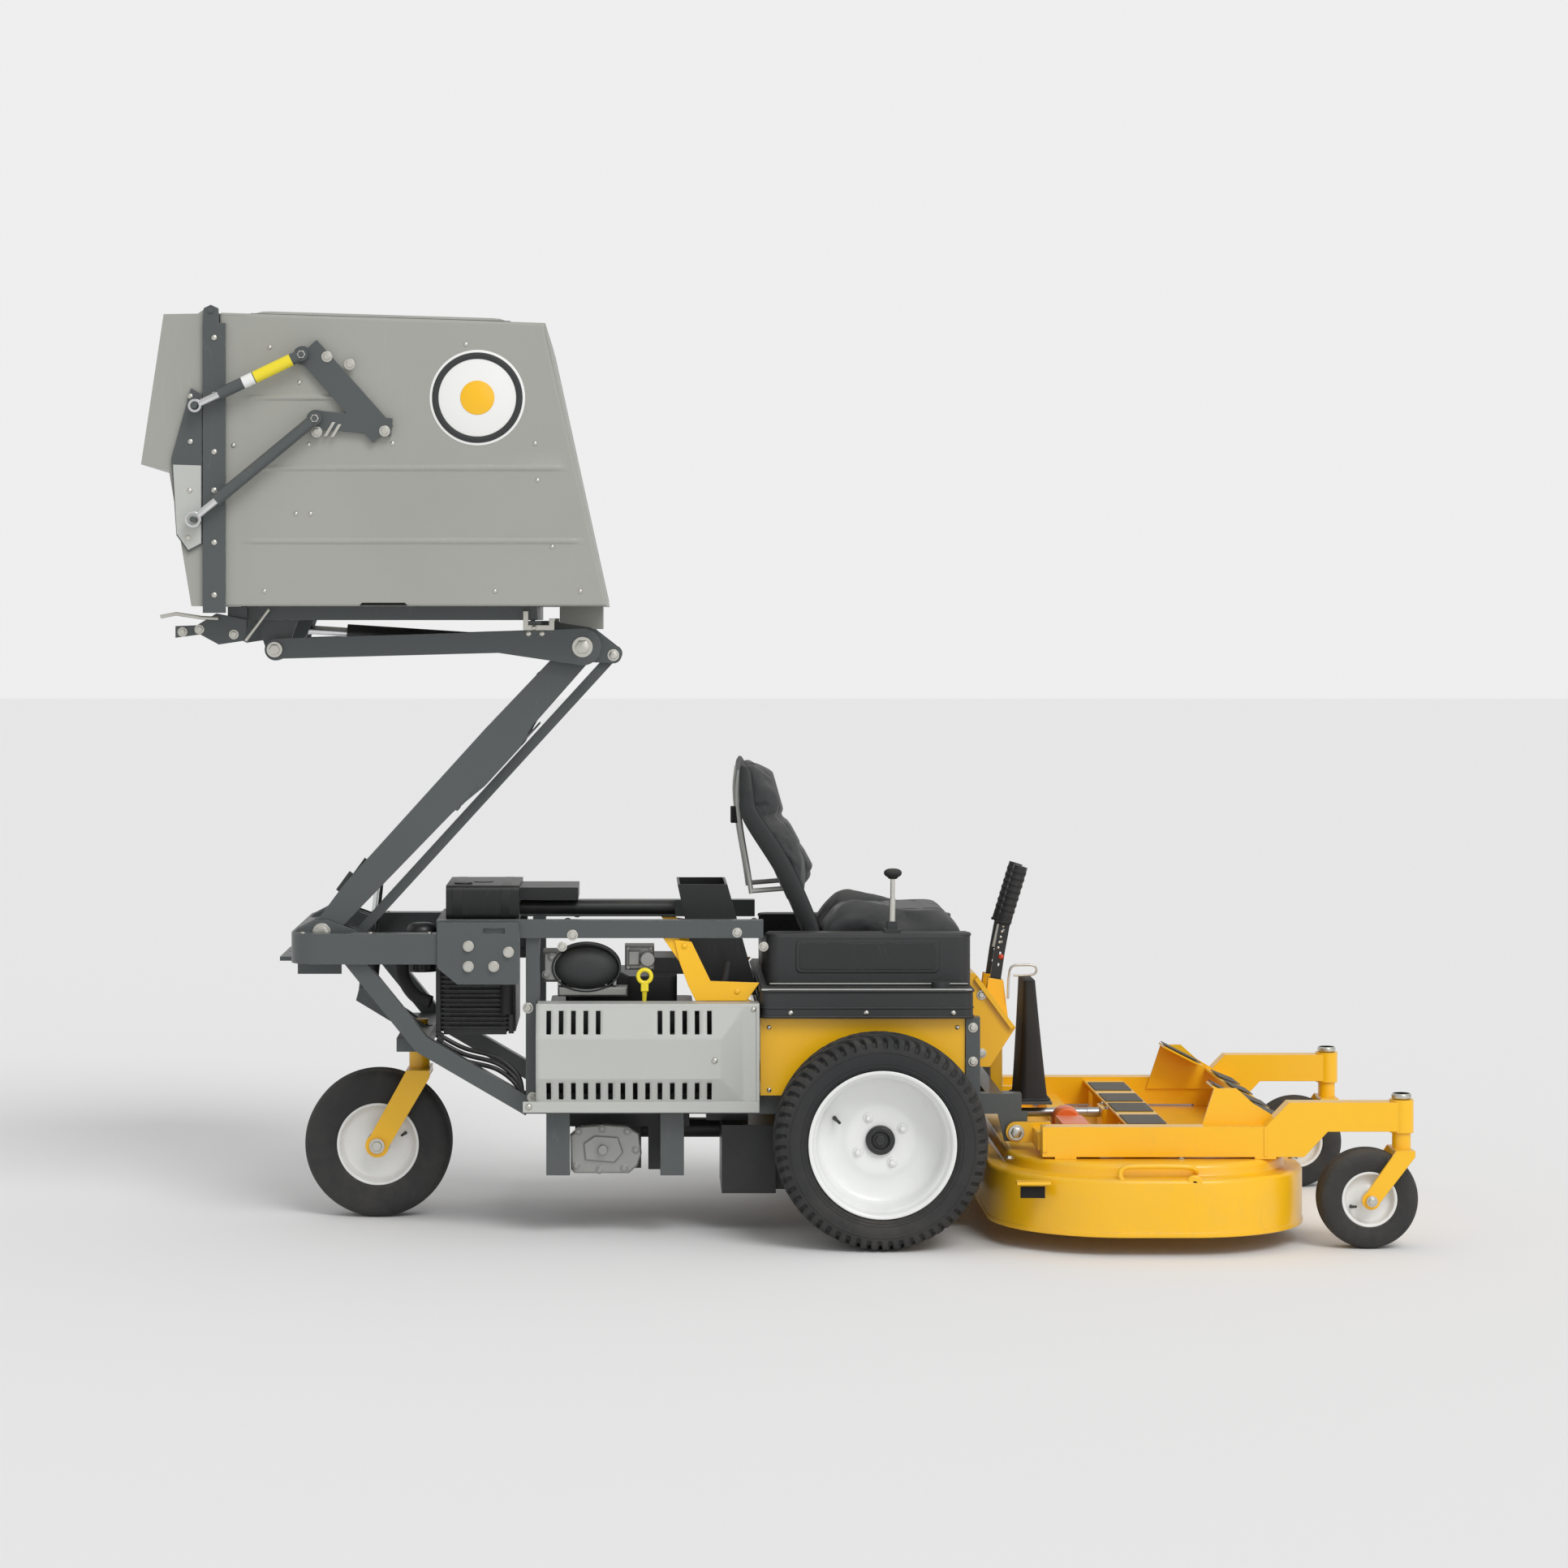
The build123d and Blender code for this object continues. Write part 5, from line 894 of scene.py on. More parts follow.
def bin_side(side, hand):
    """Side sheet: flat, with pressed beads of smooth-step section along it, a step at its rear seam
    and edges that turn in on a quarter circle."""
    beads = ((1647.0, -1470.0, -712.0), (1818.0, -1470.0, -752.0), (1983.0, -1470.0, -1215.0))
    share = knots(0, 1, 0.016, (0.0, 1.0), 0.0022, 0.014)[None]
    z = knots(BIN_FLOOR, BIN_TOP, 34.0, [b[0] for b in beads] + [BIN_FLOOR, BIN_TOP], 2.2, 15.0)[:, None]
    front = bin_front(z)
    x = BIN_REAR + share * (front - BIN_REAR)
    roof = bin_roof(x)
    z = BIN_FLOOR + (z - BIN_FLOOR) * (roof - BIN_FLOOR) / (BIN_TOP - BIN_FLOOR)
    out = np.zeros_like(x)
    for height, start, end in beads:
        ends = smooth(x, start - 10, start) * (1 - smooth(x, end, end + 10))
        out = out + 3.4 * bump(z, height, 3.0, 4.0) * ends
    out = out + 1.6 * smooth(x, -1478, -1474)
    radius = 7.0
    for gap in (roof - z, z - BIN_FLOOR, (front - x) * 0.977, x - BIN_REAR):
        t = np.clip((radius - gap) / radius, 0, 1)
        out = out - (radius - np.sqrt(np.maximum(radius ** 2 - (radius * t) ** 2, 0))) * 0.6
    skin = np.stack([x, side * (HALF_BIN + out), z + 0 * x], -1)
    inner = skin - np.array([0, side * 2.6, 0])
    rings = np.concatenate([skin, inner[:, ::-1]], 1)
    Shape().loft(rings).make(f"bin_sheet_{hand}", "bin", "bin_paint", "bin enamel", smooth_angle=50,
                             replaces=(f"bin_side_{hand}",))


def bin_trim(side, hand):
    """Rivets, bolts, badge and slot of one side of the bin."""
    face = side * (HALF_BIN + 0.4)
    rivets = Shape()
    for x, z in ((-1427, 2101), (-1358, 2019), (-968, 2108), (-1512, 1872), (-1336, 1874), (-1140, 1876),
                 (-806, 1876), (-1366, 1711), (-1332, 1711), (-800, 1790), (-766, 1634), (-1440, 1530),
                 (-900, 1530), (-700, 1530)):
        rivets.dome((x, face + side * 1.0, z), 5.5, 3.2, way=side)
    rivets.make(f"bin_rivets_{hand}", "bin", "zinc", "zinc plate")
    bolts = Shape()
    for z in (2123, 1990, 1856, 1766, 1644, 1521):
        bolts.dome((-1556, side * 462.0, z), 7.5, 4.5, way=side)
    for x, z in ((-1239, 2060), (-1157, 1904), (-1316, 1902), (-1292, 2078)):
        bolts.bolt((x, side * 468.0, z), 9, 7, way=side)
    for x, z in ((-1349, 2081), (-1318, 1932)):
        bolts.bolt((x, side * 505.5, z), 10, 0.45, way=side, washer=False)
    bolts.make(f"bin_bolts_{hand}", "bin", "zinc", "zinc plate")
    centre = (-941, face, 1983)
    badge = Shape().lathe([(0, 0), (112, 0), (112, side * 2.0), (110.5, side * 2.6), (0, side * 2.6)],
                          centre, segments=96)
    badge.make(f"badge_disc_{hand}", "bin", "rim_paint", "label white")
    ring = Shape().lathe([(91, side * 2.4), (106, side * 2.4), (106, side * 3.6), (105, side * 4.0),
                          (92, side * 4.0), (91, side * 3.6)], centre, segments=96, closed=True)
    ring.make(f"badge_ring_{hand}", "bin", "black_plastic", "moulded black")
    spot = Shape().lathe([(0, side * 2.5), (40, side * 2.5), (40, side * 3.4), (39, side * 3.8),
                          (0, side * 3.8)],
                         centre, segments=64)
    spot.make(f"badge_spot_{hand}", "bin", "yellow_paint", "yellow enamel")
    # The drain slot is a flat near-black strip on the sheet, not a hole: painted shade for the dark inside
    # the opening.
    slot = Shape().prism([(-1217, 1496), (-1211, 1503), (-1111, 1503), (-1105, 1496)], side * 449,
                         side * 452.5)
    slot.make(f"bin_drain_{hand}", "bin", "black_plastic", "painted opening shade")
    patch = Shape()
    patch.prism([(-1300, 1892), (-1292, 1892), (-1272, 1925), (-1280, 1925)], side * 468, side * 470)
    patch.prism([(-1284, 1890), (-1276, 1890), (-1258, 1920), (-1266, 1920)], side * 468, side * 470)
    patch.make(f"bracket_shims_{hand}", "bin", "zinc", "zinc plate")


class MOWER_OT_bin(bpy.types.Operator):
    """Grass bin: beaded side sheets, lid, seams, badge, bolts, door hardware and floor brackets"""

    bl_idname = "mower.bin"
    bl_label = "Grass bin"

    def execute(self, context):
        for side, hand in HANDS:
            bin_side(side, hand)
            bin_trim(side, hand)
        seam = Shape()
        corner_x = np.array([BIN_REAR + 4, -1300, -1000, -784, -778, -700, -640])
        corner_z = np.array([BIN_TOP, 2173.4, 2164.4, 2157, 2140, 1783, 1510])
        for side in SIDES:
            path = np.stack([corner_x, np.full(7, side * 446.0), corner_z - 3.0], 1)
            path[4:, 0] -= 3.0
            seam.tube(path, 4.6, 10, up=(0, 1, 0))
        seam.make("bin_corner_rolls", "bin", "bin_paint", "bin enamel")
        lid = Shape()
        x = np.linspace(-1470, -868, 30)
        share = np.linspace(0, 1, 30)[:, None]
        crown = 9.0 * np.minimum(1, np.minimum(share, 1 - share) * 22) ** 0.5
        across = np.linspace(-1, 1, 41)[None]
        wide = 428 * across
        side_fall = np.minimum(1, (1 - np.abs(across)) * 34) ** 0.5
        top = bin_roof(x)[:, None] + 2.0 + crown * side_fall + 1.6 * (1 - across ** 2)
        skin = np.stack([x[:, None] + 0 * wide, wide + 0 * top, top], -1)
        base = np.stack([x[:, None] + 0 * wide, wide + 0 * top, bin_roof(x)[:, None] + 0 * top + 0.2], -1)
        lid.loft(np.concatenate([skin, base[:, ::-1]], 1))
        lid.make("bin_lid", "bin", "bin_paint", "bin enamel", smooth_angle=60)
        gasket = Shape()
        low, high = bin_roof(-1474.0) + 0.1, bin_roof(-864.0) + 0.1
        gasket.prism([(-1474, low), (-864, high), (-864, high + 3.6), (-1474, low + 3.6)], -433, 433)
        gasket.make("bin_gasket", "bin", "black_plastic", "moulded black", bevel=1.0)

        door = Shape()
        for side in SIDES:
            for x, z in ((-1703, 1985), (-1716, 1895)):
                door.dome((x, side * 300, z), 9, 6, axis="x", way=-1)
            for x, z in ((-1612, 1986), (-1612, 1880), (-1614, 1765), (-1618, 1655)):
                door.dome((x, side * 459.2, z), 7, 4.5, way=side)
        door.make("door_bolts", "bin_door", "zinc", "zinc plate")
        lower = Shape()
        for side in SIDES:
            lower.prism([(-1587, 1824), (-1653, 1826), (-1644, 1664), (-1617, 1626), (-1587, 1642)],
                        side * 458.6, side * 460.6, edge=0.4)
        lower.make("door_plates", "bin_door", "guard_paint", "guard enamel")
        ribs = Shape()
        for y in (-250, 0, 250):
            across = np.linspace(-1, 1, 9)
            lift = 3.0 * (1 - across ** 2)
            rear = np.array([(-1689, 2120), (-1703, 2020), (-1724, 1880)])
            front = rear + (8, 0)
            rings = [np.stack([np.concatenate([np.full(9, r[0]) + 3 - lift, [f[0]]]),
                               np.concatenate([y + 60 * across, [y]]), np.full(10, r[1])], 1)
                     for r, f in zip(rear, front)]
            ribs.loft(rings)
        ribs.make("door_ribs", "bin_door", "bin_paint", "bin enamel")

        under = Shape()
        zinc = Shape()
        for side in SIDES:
            under.prism([(-1663, 1448), (-1612, 1450), (-1566, 1478), (-1494, 1464), (-1494, 1414),
                         (-1560, 1404), (-1604, 1428), (-1663, 1420)], side * 318, side * 330, edge=0.8)
            under.prism([(-1494, 1494), (-1540, 1494), (-1540, 1440), (-1494, 1440)], side * 301,
                        side * 318)
            for x, z in ((-1646, 1434), (-1606, 1440), (-1524, 1428)):
                zinc.bolt((x, side * 330, z), 8, 6, way=side)
            zinc.tube([(-1496, side * 336, 1413), (-1468, side * 336, 1450), (-1440, side * 336, 1488)],
                      4.2, 10)
        zinc.tube([(-1697, -338, 1470), (-1660, -338, 1477), (-1600, -338, 1468), (-1560, -338, 1466)],
                  4.5, 10)
        under.make("bin_hooks", "bin", "frame_paint", "frame enamel", bevel=0.8)
        zinc.make("bin_hook_bolts", "bin", "zinc", "zinc plate")

        barrel_eye, rod_eye = np.array([-1349.0, 2081.0]), np.array([-1598.0, 1962.0])
        along = (rod_eye - barrel_eye) / np.linalg.norm(rod_eye - barrel_eye)
        for start, end, finish, slot in ((27, 122, "label yellow", "yellow_paint"),
                                         (124, 152, "label white", "rim_paint")):
            sleeve = Shape()
            for side in SIDES:
                ends = np.array([barrel_eye + along * start, barrel_eye + along * end])
                sleeve.tube(at_y(ends, side * 490), 14.5, 28)
            sleeve.make(f"upper_strut_band_{start}", "upper_strut_barrel", slot, finish)
        return {"FINISHED"}


# ------------------------------------------------------------------ lift
class MOWER_OT_lift(bpy.types.Operator):
    """Pivot bolts, weld beads, stops and latch of the folding lift"""

    bl_idname = "mower.lift"
    bl_label = "Lift"

    def execute(self, context):
        knee_x, knee_z = KNEE
        base, head = Shape(), Shape()
        for side in SIDES:
            base.bolt((LIFT_PIVOT[0], side * 289, LIFT_PIVOT[1]), 15, 9, way=side)
            head.bolt((knee_x, side * 310, knee_z), 17, 9, way=side)
            head.bolt((knee_x + 73, side * 231.2, knee_z - 20), 10, 3, way=side)
            head.bolt((knee_x - 732, side * 316, knee_z - 6), 13, 8, way=side)
            head.dome((knee_x - 96, side * 310, knee_z + 32), 7, 4, way=side)
            head.dome((knee_x - 128, side * 310, knee_z + 32), 7, 4, way=side)
        base.make("lift_foot_bolts", "chassis", "zinc", "zinc plate")
        head.make("knee_bolts", "upper_frame", "zinc", "zinc plate")
        catch = Shape()
        for side in SIDES:
            catch.prism([(-838, 1484), (-826, 1484), (-826, 1450), (-776, 1450), (-776, 1466), (-764, 1466),
                         (-764, 1438), (-838, 1438)], side * 300, side * 316, edge=0.5)
            catch.dome((-812, side * 316, 1444), 6, 4, way=side)
        catch.make("bin_catch", "upper_frame", "zinc", "zinc plate", bevel=0.6)
        welds = Shape()
        for side in SIDES:
            for y in (ARM_INNER, ARM_OUTER):
                for low, high, offset in ((430, 512, -41), (650, 700, -47)):
                    distance = np.linspace(low, high, 30)
                    wobble = offset + 0.7 * np.sin(distance * 1.9)
                    xz = LIFT_PIVOT + distance[:, None] * ARM_ALONG + wobble[:, None] * ARM_UP
                    welds.tube(at_y(xz, side * y), 2.2 + 0.5 * np.sin(distance * 2.3), 8)
        welds.make("arm_welds", "lift_arm", "frame_paint", "frame enamel")
        stop = Shape()
        for side in SIDES:
            foot = LIFT_PIVOT + 96 * ARM_ALONG + 35 * ARM_UP
            tip = LIFT_PIVOT + 150 * ARM_ALONG + 41 * ARM_UP
            stop.tube([(foot[0], side * 255, foot[1]), (tip[0], side * 255, tip[1])], 9, 16, flat=0.8)
        stop.make("arm_stops", "lift_arm", "black_plastic", "moulded black")
        collars = Shape()
        for side in SIDES:
            for centre in (LIFT_PIVOT, KNEE):
                collars.lathe([(14, side * 275.2), (24, side * 275.2), (24, side * 278.2),
                               (14, side * 278.2)],
                              (centre[0], 0, centre[1]), segments=32, closed=True)
        collars.make("arm_collars", "lift_arm", "zinc", "zinc plate")
        return {"FINISHED"}


# ------------------------------------------------------------------ seat
def stuffed(name, shape, body, node_name, sew):
    """Cushion: the closed shape is remeshed evenly, blown up as cloth under pressure with every point's
    move capped, then drawn in along its seams by the sew function, and given one subdivision."""
    seat = bpy.context.scene.mower_seat
    piece = shape.make(name, body, "seat_vinyl", "seat vinyl", smooth_angle=180, replaces=(node_name,))
    piece.parent = None
    remesh = piece.modifiers.new("Even", "REMESH")
    remesh.mode, remesh.voxel_size = "VOXEL", seat.voxel
    graph = bpy.context.evaluated_depsgraph_get()
    mesh = bpy.data.meshes.new_from_object(piece.evaluated_get(graph))
    piece.modifiers.clear()
    old, piece.data = piece.data, mesh
    bpy.data.meshes.remove(old)
    count = len(mesh.vertices)
    rest = np.empty(count * 3)
    mesh.vertices.foreach_get("co", rest)
    rest = rest.reshape(-1, 3)
    cloth = piece.modifiers.new("Cloth", "CLOTH")
    cloth.settings.use_pressure, cloth.settings.uniform_pressure_force = True, seat.pressure
    cloth.settings.effector_weights.gravity = 0
    cloth.settings.quality = 4
    scene = bpy.context.scene
    for step in range(1, 21):
        scene.frame_set(step)
    graph = bpy.context.evaluated_depsgraph_get()
    blown = bpy.data.meshes.new_from_object(piece.evaluated_get(graph))
    moved = np.empty(count * 3)
    blown.vertices.foreach_get("co", moved)
    bpy.data.meshes.remove(blown)
    piece.modifiers.clear()
    scene.frame_set(1)
    step = moved.reshape(-1, 3) - rest
    size = np.linalg.norm(step, axis=1)[:, None]
    rest = rest + step * np.minimum(1, seat.swell / np.maximum(size, 1e-9))
    rest = sew(rest / MM - np.array([AXLE, 0, 0]))
    mesh.vertices.foreach_set("co", ((rest + np.array([AXLE, 0, 0])) * MM).ravel())
    mesh.polygons.foreach_set("use_smooth", np.ones(len(mesh.polygons), bool))
    mesh.materials.clear()
    mesh.materials.append(finish_of("seat vinyl"))
    mesh.update()
    soft = piece.modifiers.new("Soft", "SUBSURF")
    soft.levels = soft.render_levels = 1
    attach(piece, body)
    return piece


def pad_rings(stations, half_width, low, high, round_ends=0.16):
    """Closed pillow: at each station a squared-off oval ring between the low and high lines. The ends
    close by drawing the rings in along a quarter circle."""
    u = np.linspace(0, 1, stations)
    angle = np.linspace(0, 2 * pi, 72, endpoint=False)
    power = 0.42
    p = np.sign(np.cos(angle)) * np.abs(np.cos(angle)) ** power
    q = np.sign(np.sin(angle)) * np.abs(np.sin(angle)) ** power
    ends = np.minimum(1, np.minimum(u, 1 - u) / round_ends)
    draw = np.sqrt(np.maximum(1 - (1 - ends) ** 2, 0.02))
    y = half_width(u)[:, None] * (0.90 + 0.10 * draw[:, None]) * p[None]
    bottom, top = low(u)[:, None, :], high(u[:, None], y)
    middle = (bottom + top) / 2
    share = (q[None] * draw[:, None])[..., None]
    points = middle + (top - middle) * share
    return np.stack([points[..., 0], y, points[..., 1]], -1)


class MOWER_OT_seat(bpy.types.Operator):
    """Padded vinyl seat and back in a moulded shell"""

    bl_idname = "mower.seat"
    bl_label = "Seat"

    def execute(self, context):
        def low(u):
            return np.stack([np.interp(u, (0, 1), (-134, 224)), np.full_like(u, 671)], -1)

        def high(u, y):
            line_x = np.interp(u, (0, 1), (-134, 226)) + 0 * y
            crown = np.interp(line_x, (-140, -60, 60, 150, 200, 232), (724, 738, 741, 744, 742, 734))
            horn = np.interp(line_x, (-140, -110, -74, -40, 40, 84), (8, 22, 36, 36, 14, 0))
            rise = crown + horn * smooth(np.abs(y), 128, 182)
            return np.stack([line_x, rise - 6 * smooth(np.abs(y), 222, 245)], -1)

        def sew_base(p):
            x, y, z = p.T
            side = np.abs(y)
            upper = smooth(z, 694, 708)
            groove = 7.0 * np.exp(-((side - 140) / 5.0) ** 2)
            groove = groove * smooth(x, -132, -120) * (1 - smooth(x, 205, 222))
            cross = sum(5.0 * np.exp(-((x - at) / 4.5) ** 2) * (1 - smooth(side, 130, 142))
                        for at in (-40, 40, 120))
            rim = 3.0 * np.exp(-((z - 688) / 3.5) ** 2)
            drop = np.maximum(groove, cross) * upper
            y = y - np.sign(y) * rim * smooth(side, 200, 235)
            x = x - np.sign(x - 40) * rim * smooth(np.abs(x - 40), 150, 178)
            return np.stack([x, y, np.maximum(z - drop, 664)], 1)

        rings = pad_rings(44, lambda u: 238 + 0 * u, low, high, 0.10)
        stuffed("seat_pad", Shape().loft(rings), "seat", "seat_cushion", sew_base)

        rear_line = np.array([(-190, 768), (-232, 868), (-300, 990), (-309, 1060), (-313, 1122)])
        front_line = np.array([(-168, 772), (-184, 872), (-243, 985), (-254, 1060), (-268, 1124)])
        lumbar = np.array([(-172, 774), (-158, 856), (-228, 985), (-250, 1062), (-268, 1124)])

        def along(line, u):
            steps = np.linspace(0, 1, len(line))
            return np.stack([np.interp(u, steps, line[:, 0]), np.interp(u, steps, line[:, 1])], -1)

        def back_high(u, y):
            mid = (1 - smooth(np.abs(y), 90, 150))[..., None]
            plain = along(front_line, u + 0 * y)
            swell = along(lumbar, u + 0 * y)
            bolster = smooth(np.abs(y), 150, 195)[..., None] * np.array([14.0, 4.0])
            taper = (1 - smooth(u, 0.7, 1.0))[..., None]
            return plain * (1 - mid) + swell * mid + bolster * taper

        def sew_back(p):
            x, y, z = p.T
            side = np.abs(y)
            rear = np.interp(z, rear_line[:, 1], rear_line[:, 0])
            facing = smooth(x - rear, 12, 30)
            groove = 6.0 * np.exp(-((side - 128) / 5.0) ** 2)
            groove = groove * smooth(z, 775, 800) * (1 - smooth(z, 1085, 1105))
            cross = sum(4.0 * np.exp(-((z - at) / 5.0) ** 2) * (1 - smooth(side, 118, 132))
                        for at in (850, 915))
            strap = 9.0 * np.exp(-((z - 984) / 13.0) ** 4)
            draw = np.maximum(np.maximum(groove, cross), strap) * facing
            return np.stack([np.maximum(x - draw, rear - 6), y, z], 1)

        rings = pad_rings(52, lambda u: 214 - 26 * u ** 3, lambda u: along(rear_line, u), back_high, 0.11)
        stuffed("seat_back_pad", Shape().loft(rings), "seat", "seat_back_cushion", sew_back)

        line = curve([(-150, 664), (-166, 700), (-178, 735), (-234, 852), (-313, 980), (-322, 1040),
                      (-321, 1100), (-314, 1124)], 60)
        slope = directions(line)
        ahead = np.stack([slope[:, 1], -slope[:, 0]], 1)
        u = np.linspace(0, 1, 60)
        half = np.interp(u, (0, 0.1, 0.75, 0.92, 1), (226, 235, 228, 206, 150))
        flange = np.interp(u, (0, 0.12, 0.5, 0.85, 1), (14, 34, 42, 26, 4))
        v = np.linspace(-1, 1, 61)
        edge = smooth(np.abs(v), 0.86, 0.97)
        forward = flange[:, None] * edge[None] + 3.0 * (1 - v[None] ** 2)
        wide = half[:, None] * np.sign(v)[None] * np.minimum(np.abs(v) / 0.93, 1)[None]

        def skin(extra):
            reach = forward + extra
            return np.stack([line[:, None, 0] + ahead[:, None, 0] * reach, wide * (1 - extra * 0.0009),
                             line[:, None, 1] + ahead[:, None, 1] * reach], -1)
        shell = Shape().loft(np.concatenate([skin(0.0), skin(5.0)[:, ::-1]], 1))
        shell.box((-150, 206), (-232, 232), (655, 663), edge=1)
        rim = rounded(350, 478, 40, 8)
        shell.prism(rim + (35, 0), 656, 668, plane="xy", edge=1.0)
        for side in SIDES:
            shell.box((206, 222), (side * 128, side * 178), (652, 661), edge=1)
            shell.lathe([(5.4, side * 128), (11, side * 128), (11, side * 178), (5.4, side * 178)],
                        (226, 0, 652),
                        segments=24, closed=True)
        shell.make("seat_tub", "seat", "black_plastic", "moulded black", smooth_angle=50,
                   replaces=("seat_shell",))
        strip = Shape()
        for side in SIDES:
            run = curve([(-318, 1098), (-323, 1040), (-316, 960), (-299, 860), (-290, 800)], 30)
            strip.tube(at_y(run, side * 142.0), 6.0, 10, up=(0, 1, 0.001), flat=1.7)
            strip.tube([(-290, side * 142, 806), (-212, side * 142, 812)], 6.0, 10, up=(0, 1, 0.001),
                       flat=1.7)
        strip.make("seat_edge_strip", "seat", "guard_paint", "guard enamel")
        stop = Shape()
        stop.box((-337, -316), (-24, 24), (964, 1004), edge=3)
        stop.make("seat_rear_pad", "seat", "black_plastic", "soft grip", bevel=1.5)
        return {"FINISHED"}


# ------------------------------------------------------------------ body and controls
def ring_tube(outline, height, radius, sides=8):
    """Closed tube round a level outline: a circle carried along it and joined to its own start."""
    points = np.column_stack([outline, np.full(len(outline), height)])
    slope = np.roll(points, -1, 0) - np.roll(points, 1, 0)
    slope /= np.linalg.norm(slope, axis=1)[:, None]
    up = np.array([0, 0, 1.0])
    side = np.cross(slope, up)
    angle = np.arange(sides) / sides * 2 * pi
    return points[:, None] + radius * (np.cos(angle)[None, :, None] * side[:, None]
                                       + np.sin(angle)[None, :, None] * up)


class MOWER_OT_body(bpy.types.Operator):
    """Moulded seat base and tanks, side trim, bolts and the yellow side brackets"""

    bl_idname = "mower.body"
    bl_label = "Body"

    def execute(self, context):
        trim = Shape()
        for side in SIDES:
            rim = rounded(480, 54, 25, 9) + (-16.5, side * 297)
            trim.grid(ring_tube(rim, 714, 5.0, 12), True, True)
        tank = rounded(502, 800, 24, 8) + (-25, 0)
        for height, bead in ((588, 4.2), (548, 2.6), (527, 3.6)):
            trim.grid(ring_tube(tank, height, bead), True, True)
        for side in SIDES:
            trim.prism(rounded(340, 78, 12) + (-20, 664), side * 329.5, side * 333, edge=1.2)
        trim.make("tank_trim", "chassis", "black_plastic", "moulded black", bevel=0.6)
        shine = Shape()
        for side in SIDES:
            shine.prism(rounded(322, 62, 8) + (-20, 664), side * 333.2, side * 334.4)
        shine.make("base_plaque", "chassis", "black_plastic", "black enamel")
        # Thin light-grey strips along the top edges of the tanks: painted highlights standing in for the
        # light that those rounded edges catch, not a trim of their own.
        edge = Shape()
        for side in SIDES:
            edge.box((-274, 222), (side * 400.5, side * 402.2), (590, 594))
            edge.box((-252, 218), (side * 330.5, side * 331.6), (598, 601))
        edge.make("tank_edge_painted_highlights", "chassis", "guard_paint", "guard enamel")
        fixings = Shape()
        for side in SIDES:
            for x in (-205, -27, 178):
                fixings.dome((x, side * 399.6, 537), 6.5, 4, way=side)
            for x, z in ((-255, 352), (-255, 500), (190, 500), (190, 352)):
                fixings.dome((x, side * 371.8, z), 6, 3.5, way=side)
            for x, y, z, radius, height in (
                    (226, 378, 500, 8, 6), (226, 378, 420, 8, 6), (226, 378, 330, 8, 6),
                    (262, 205, 420, 8, 6), (262, 205, 560, 8, 6), (-826, 335, 542, 9, 7),
                    (-720, 350, 716, 9, 6), (-330, 350, 722, 8, 6), (-815, 335, 330, 9, 7),
                    (330, 362, 250, 13, 7)):
                fixings.bolt((x, side * y, z), radius, height, way=side)
            for x in (-1360, -1200, -1060):
                fixings.dome((x, side * 330, 719), 7, 4, axis="z", way=1)
        fixings.make("body_bolts", "chassis", "zinc", "zinc plate")
        plates = Shape()
        for side in SIDES:
            plates.prism([(-479, 705), (-438, 700), (-393, 607), (-277, 603), (-307, 560), (-428, 560),
                          (-446, 596), (-466, 650)], side * 341.5, side * 346, edge=0.6)
            plates.dome((-455, side * 346, 690), 7, 4, way=side)
            plates.dome((-330, side * 346, 582), 7, 4, way=side)
        plates.make("side_brackets", "chassis", "yellow_paint", "yellow enamel", bevel=0.8)
        nose = Shape()
        for side in SIDES:
            nose.prism([(243, 598), (252, 606), (342, 484), (332, 478)], side * 205.2, side * 217, edge=1)
        nose.make("nose_lips", "chassis", "yellow_paint", "yellow enamel")
        return {"FINISHED"}


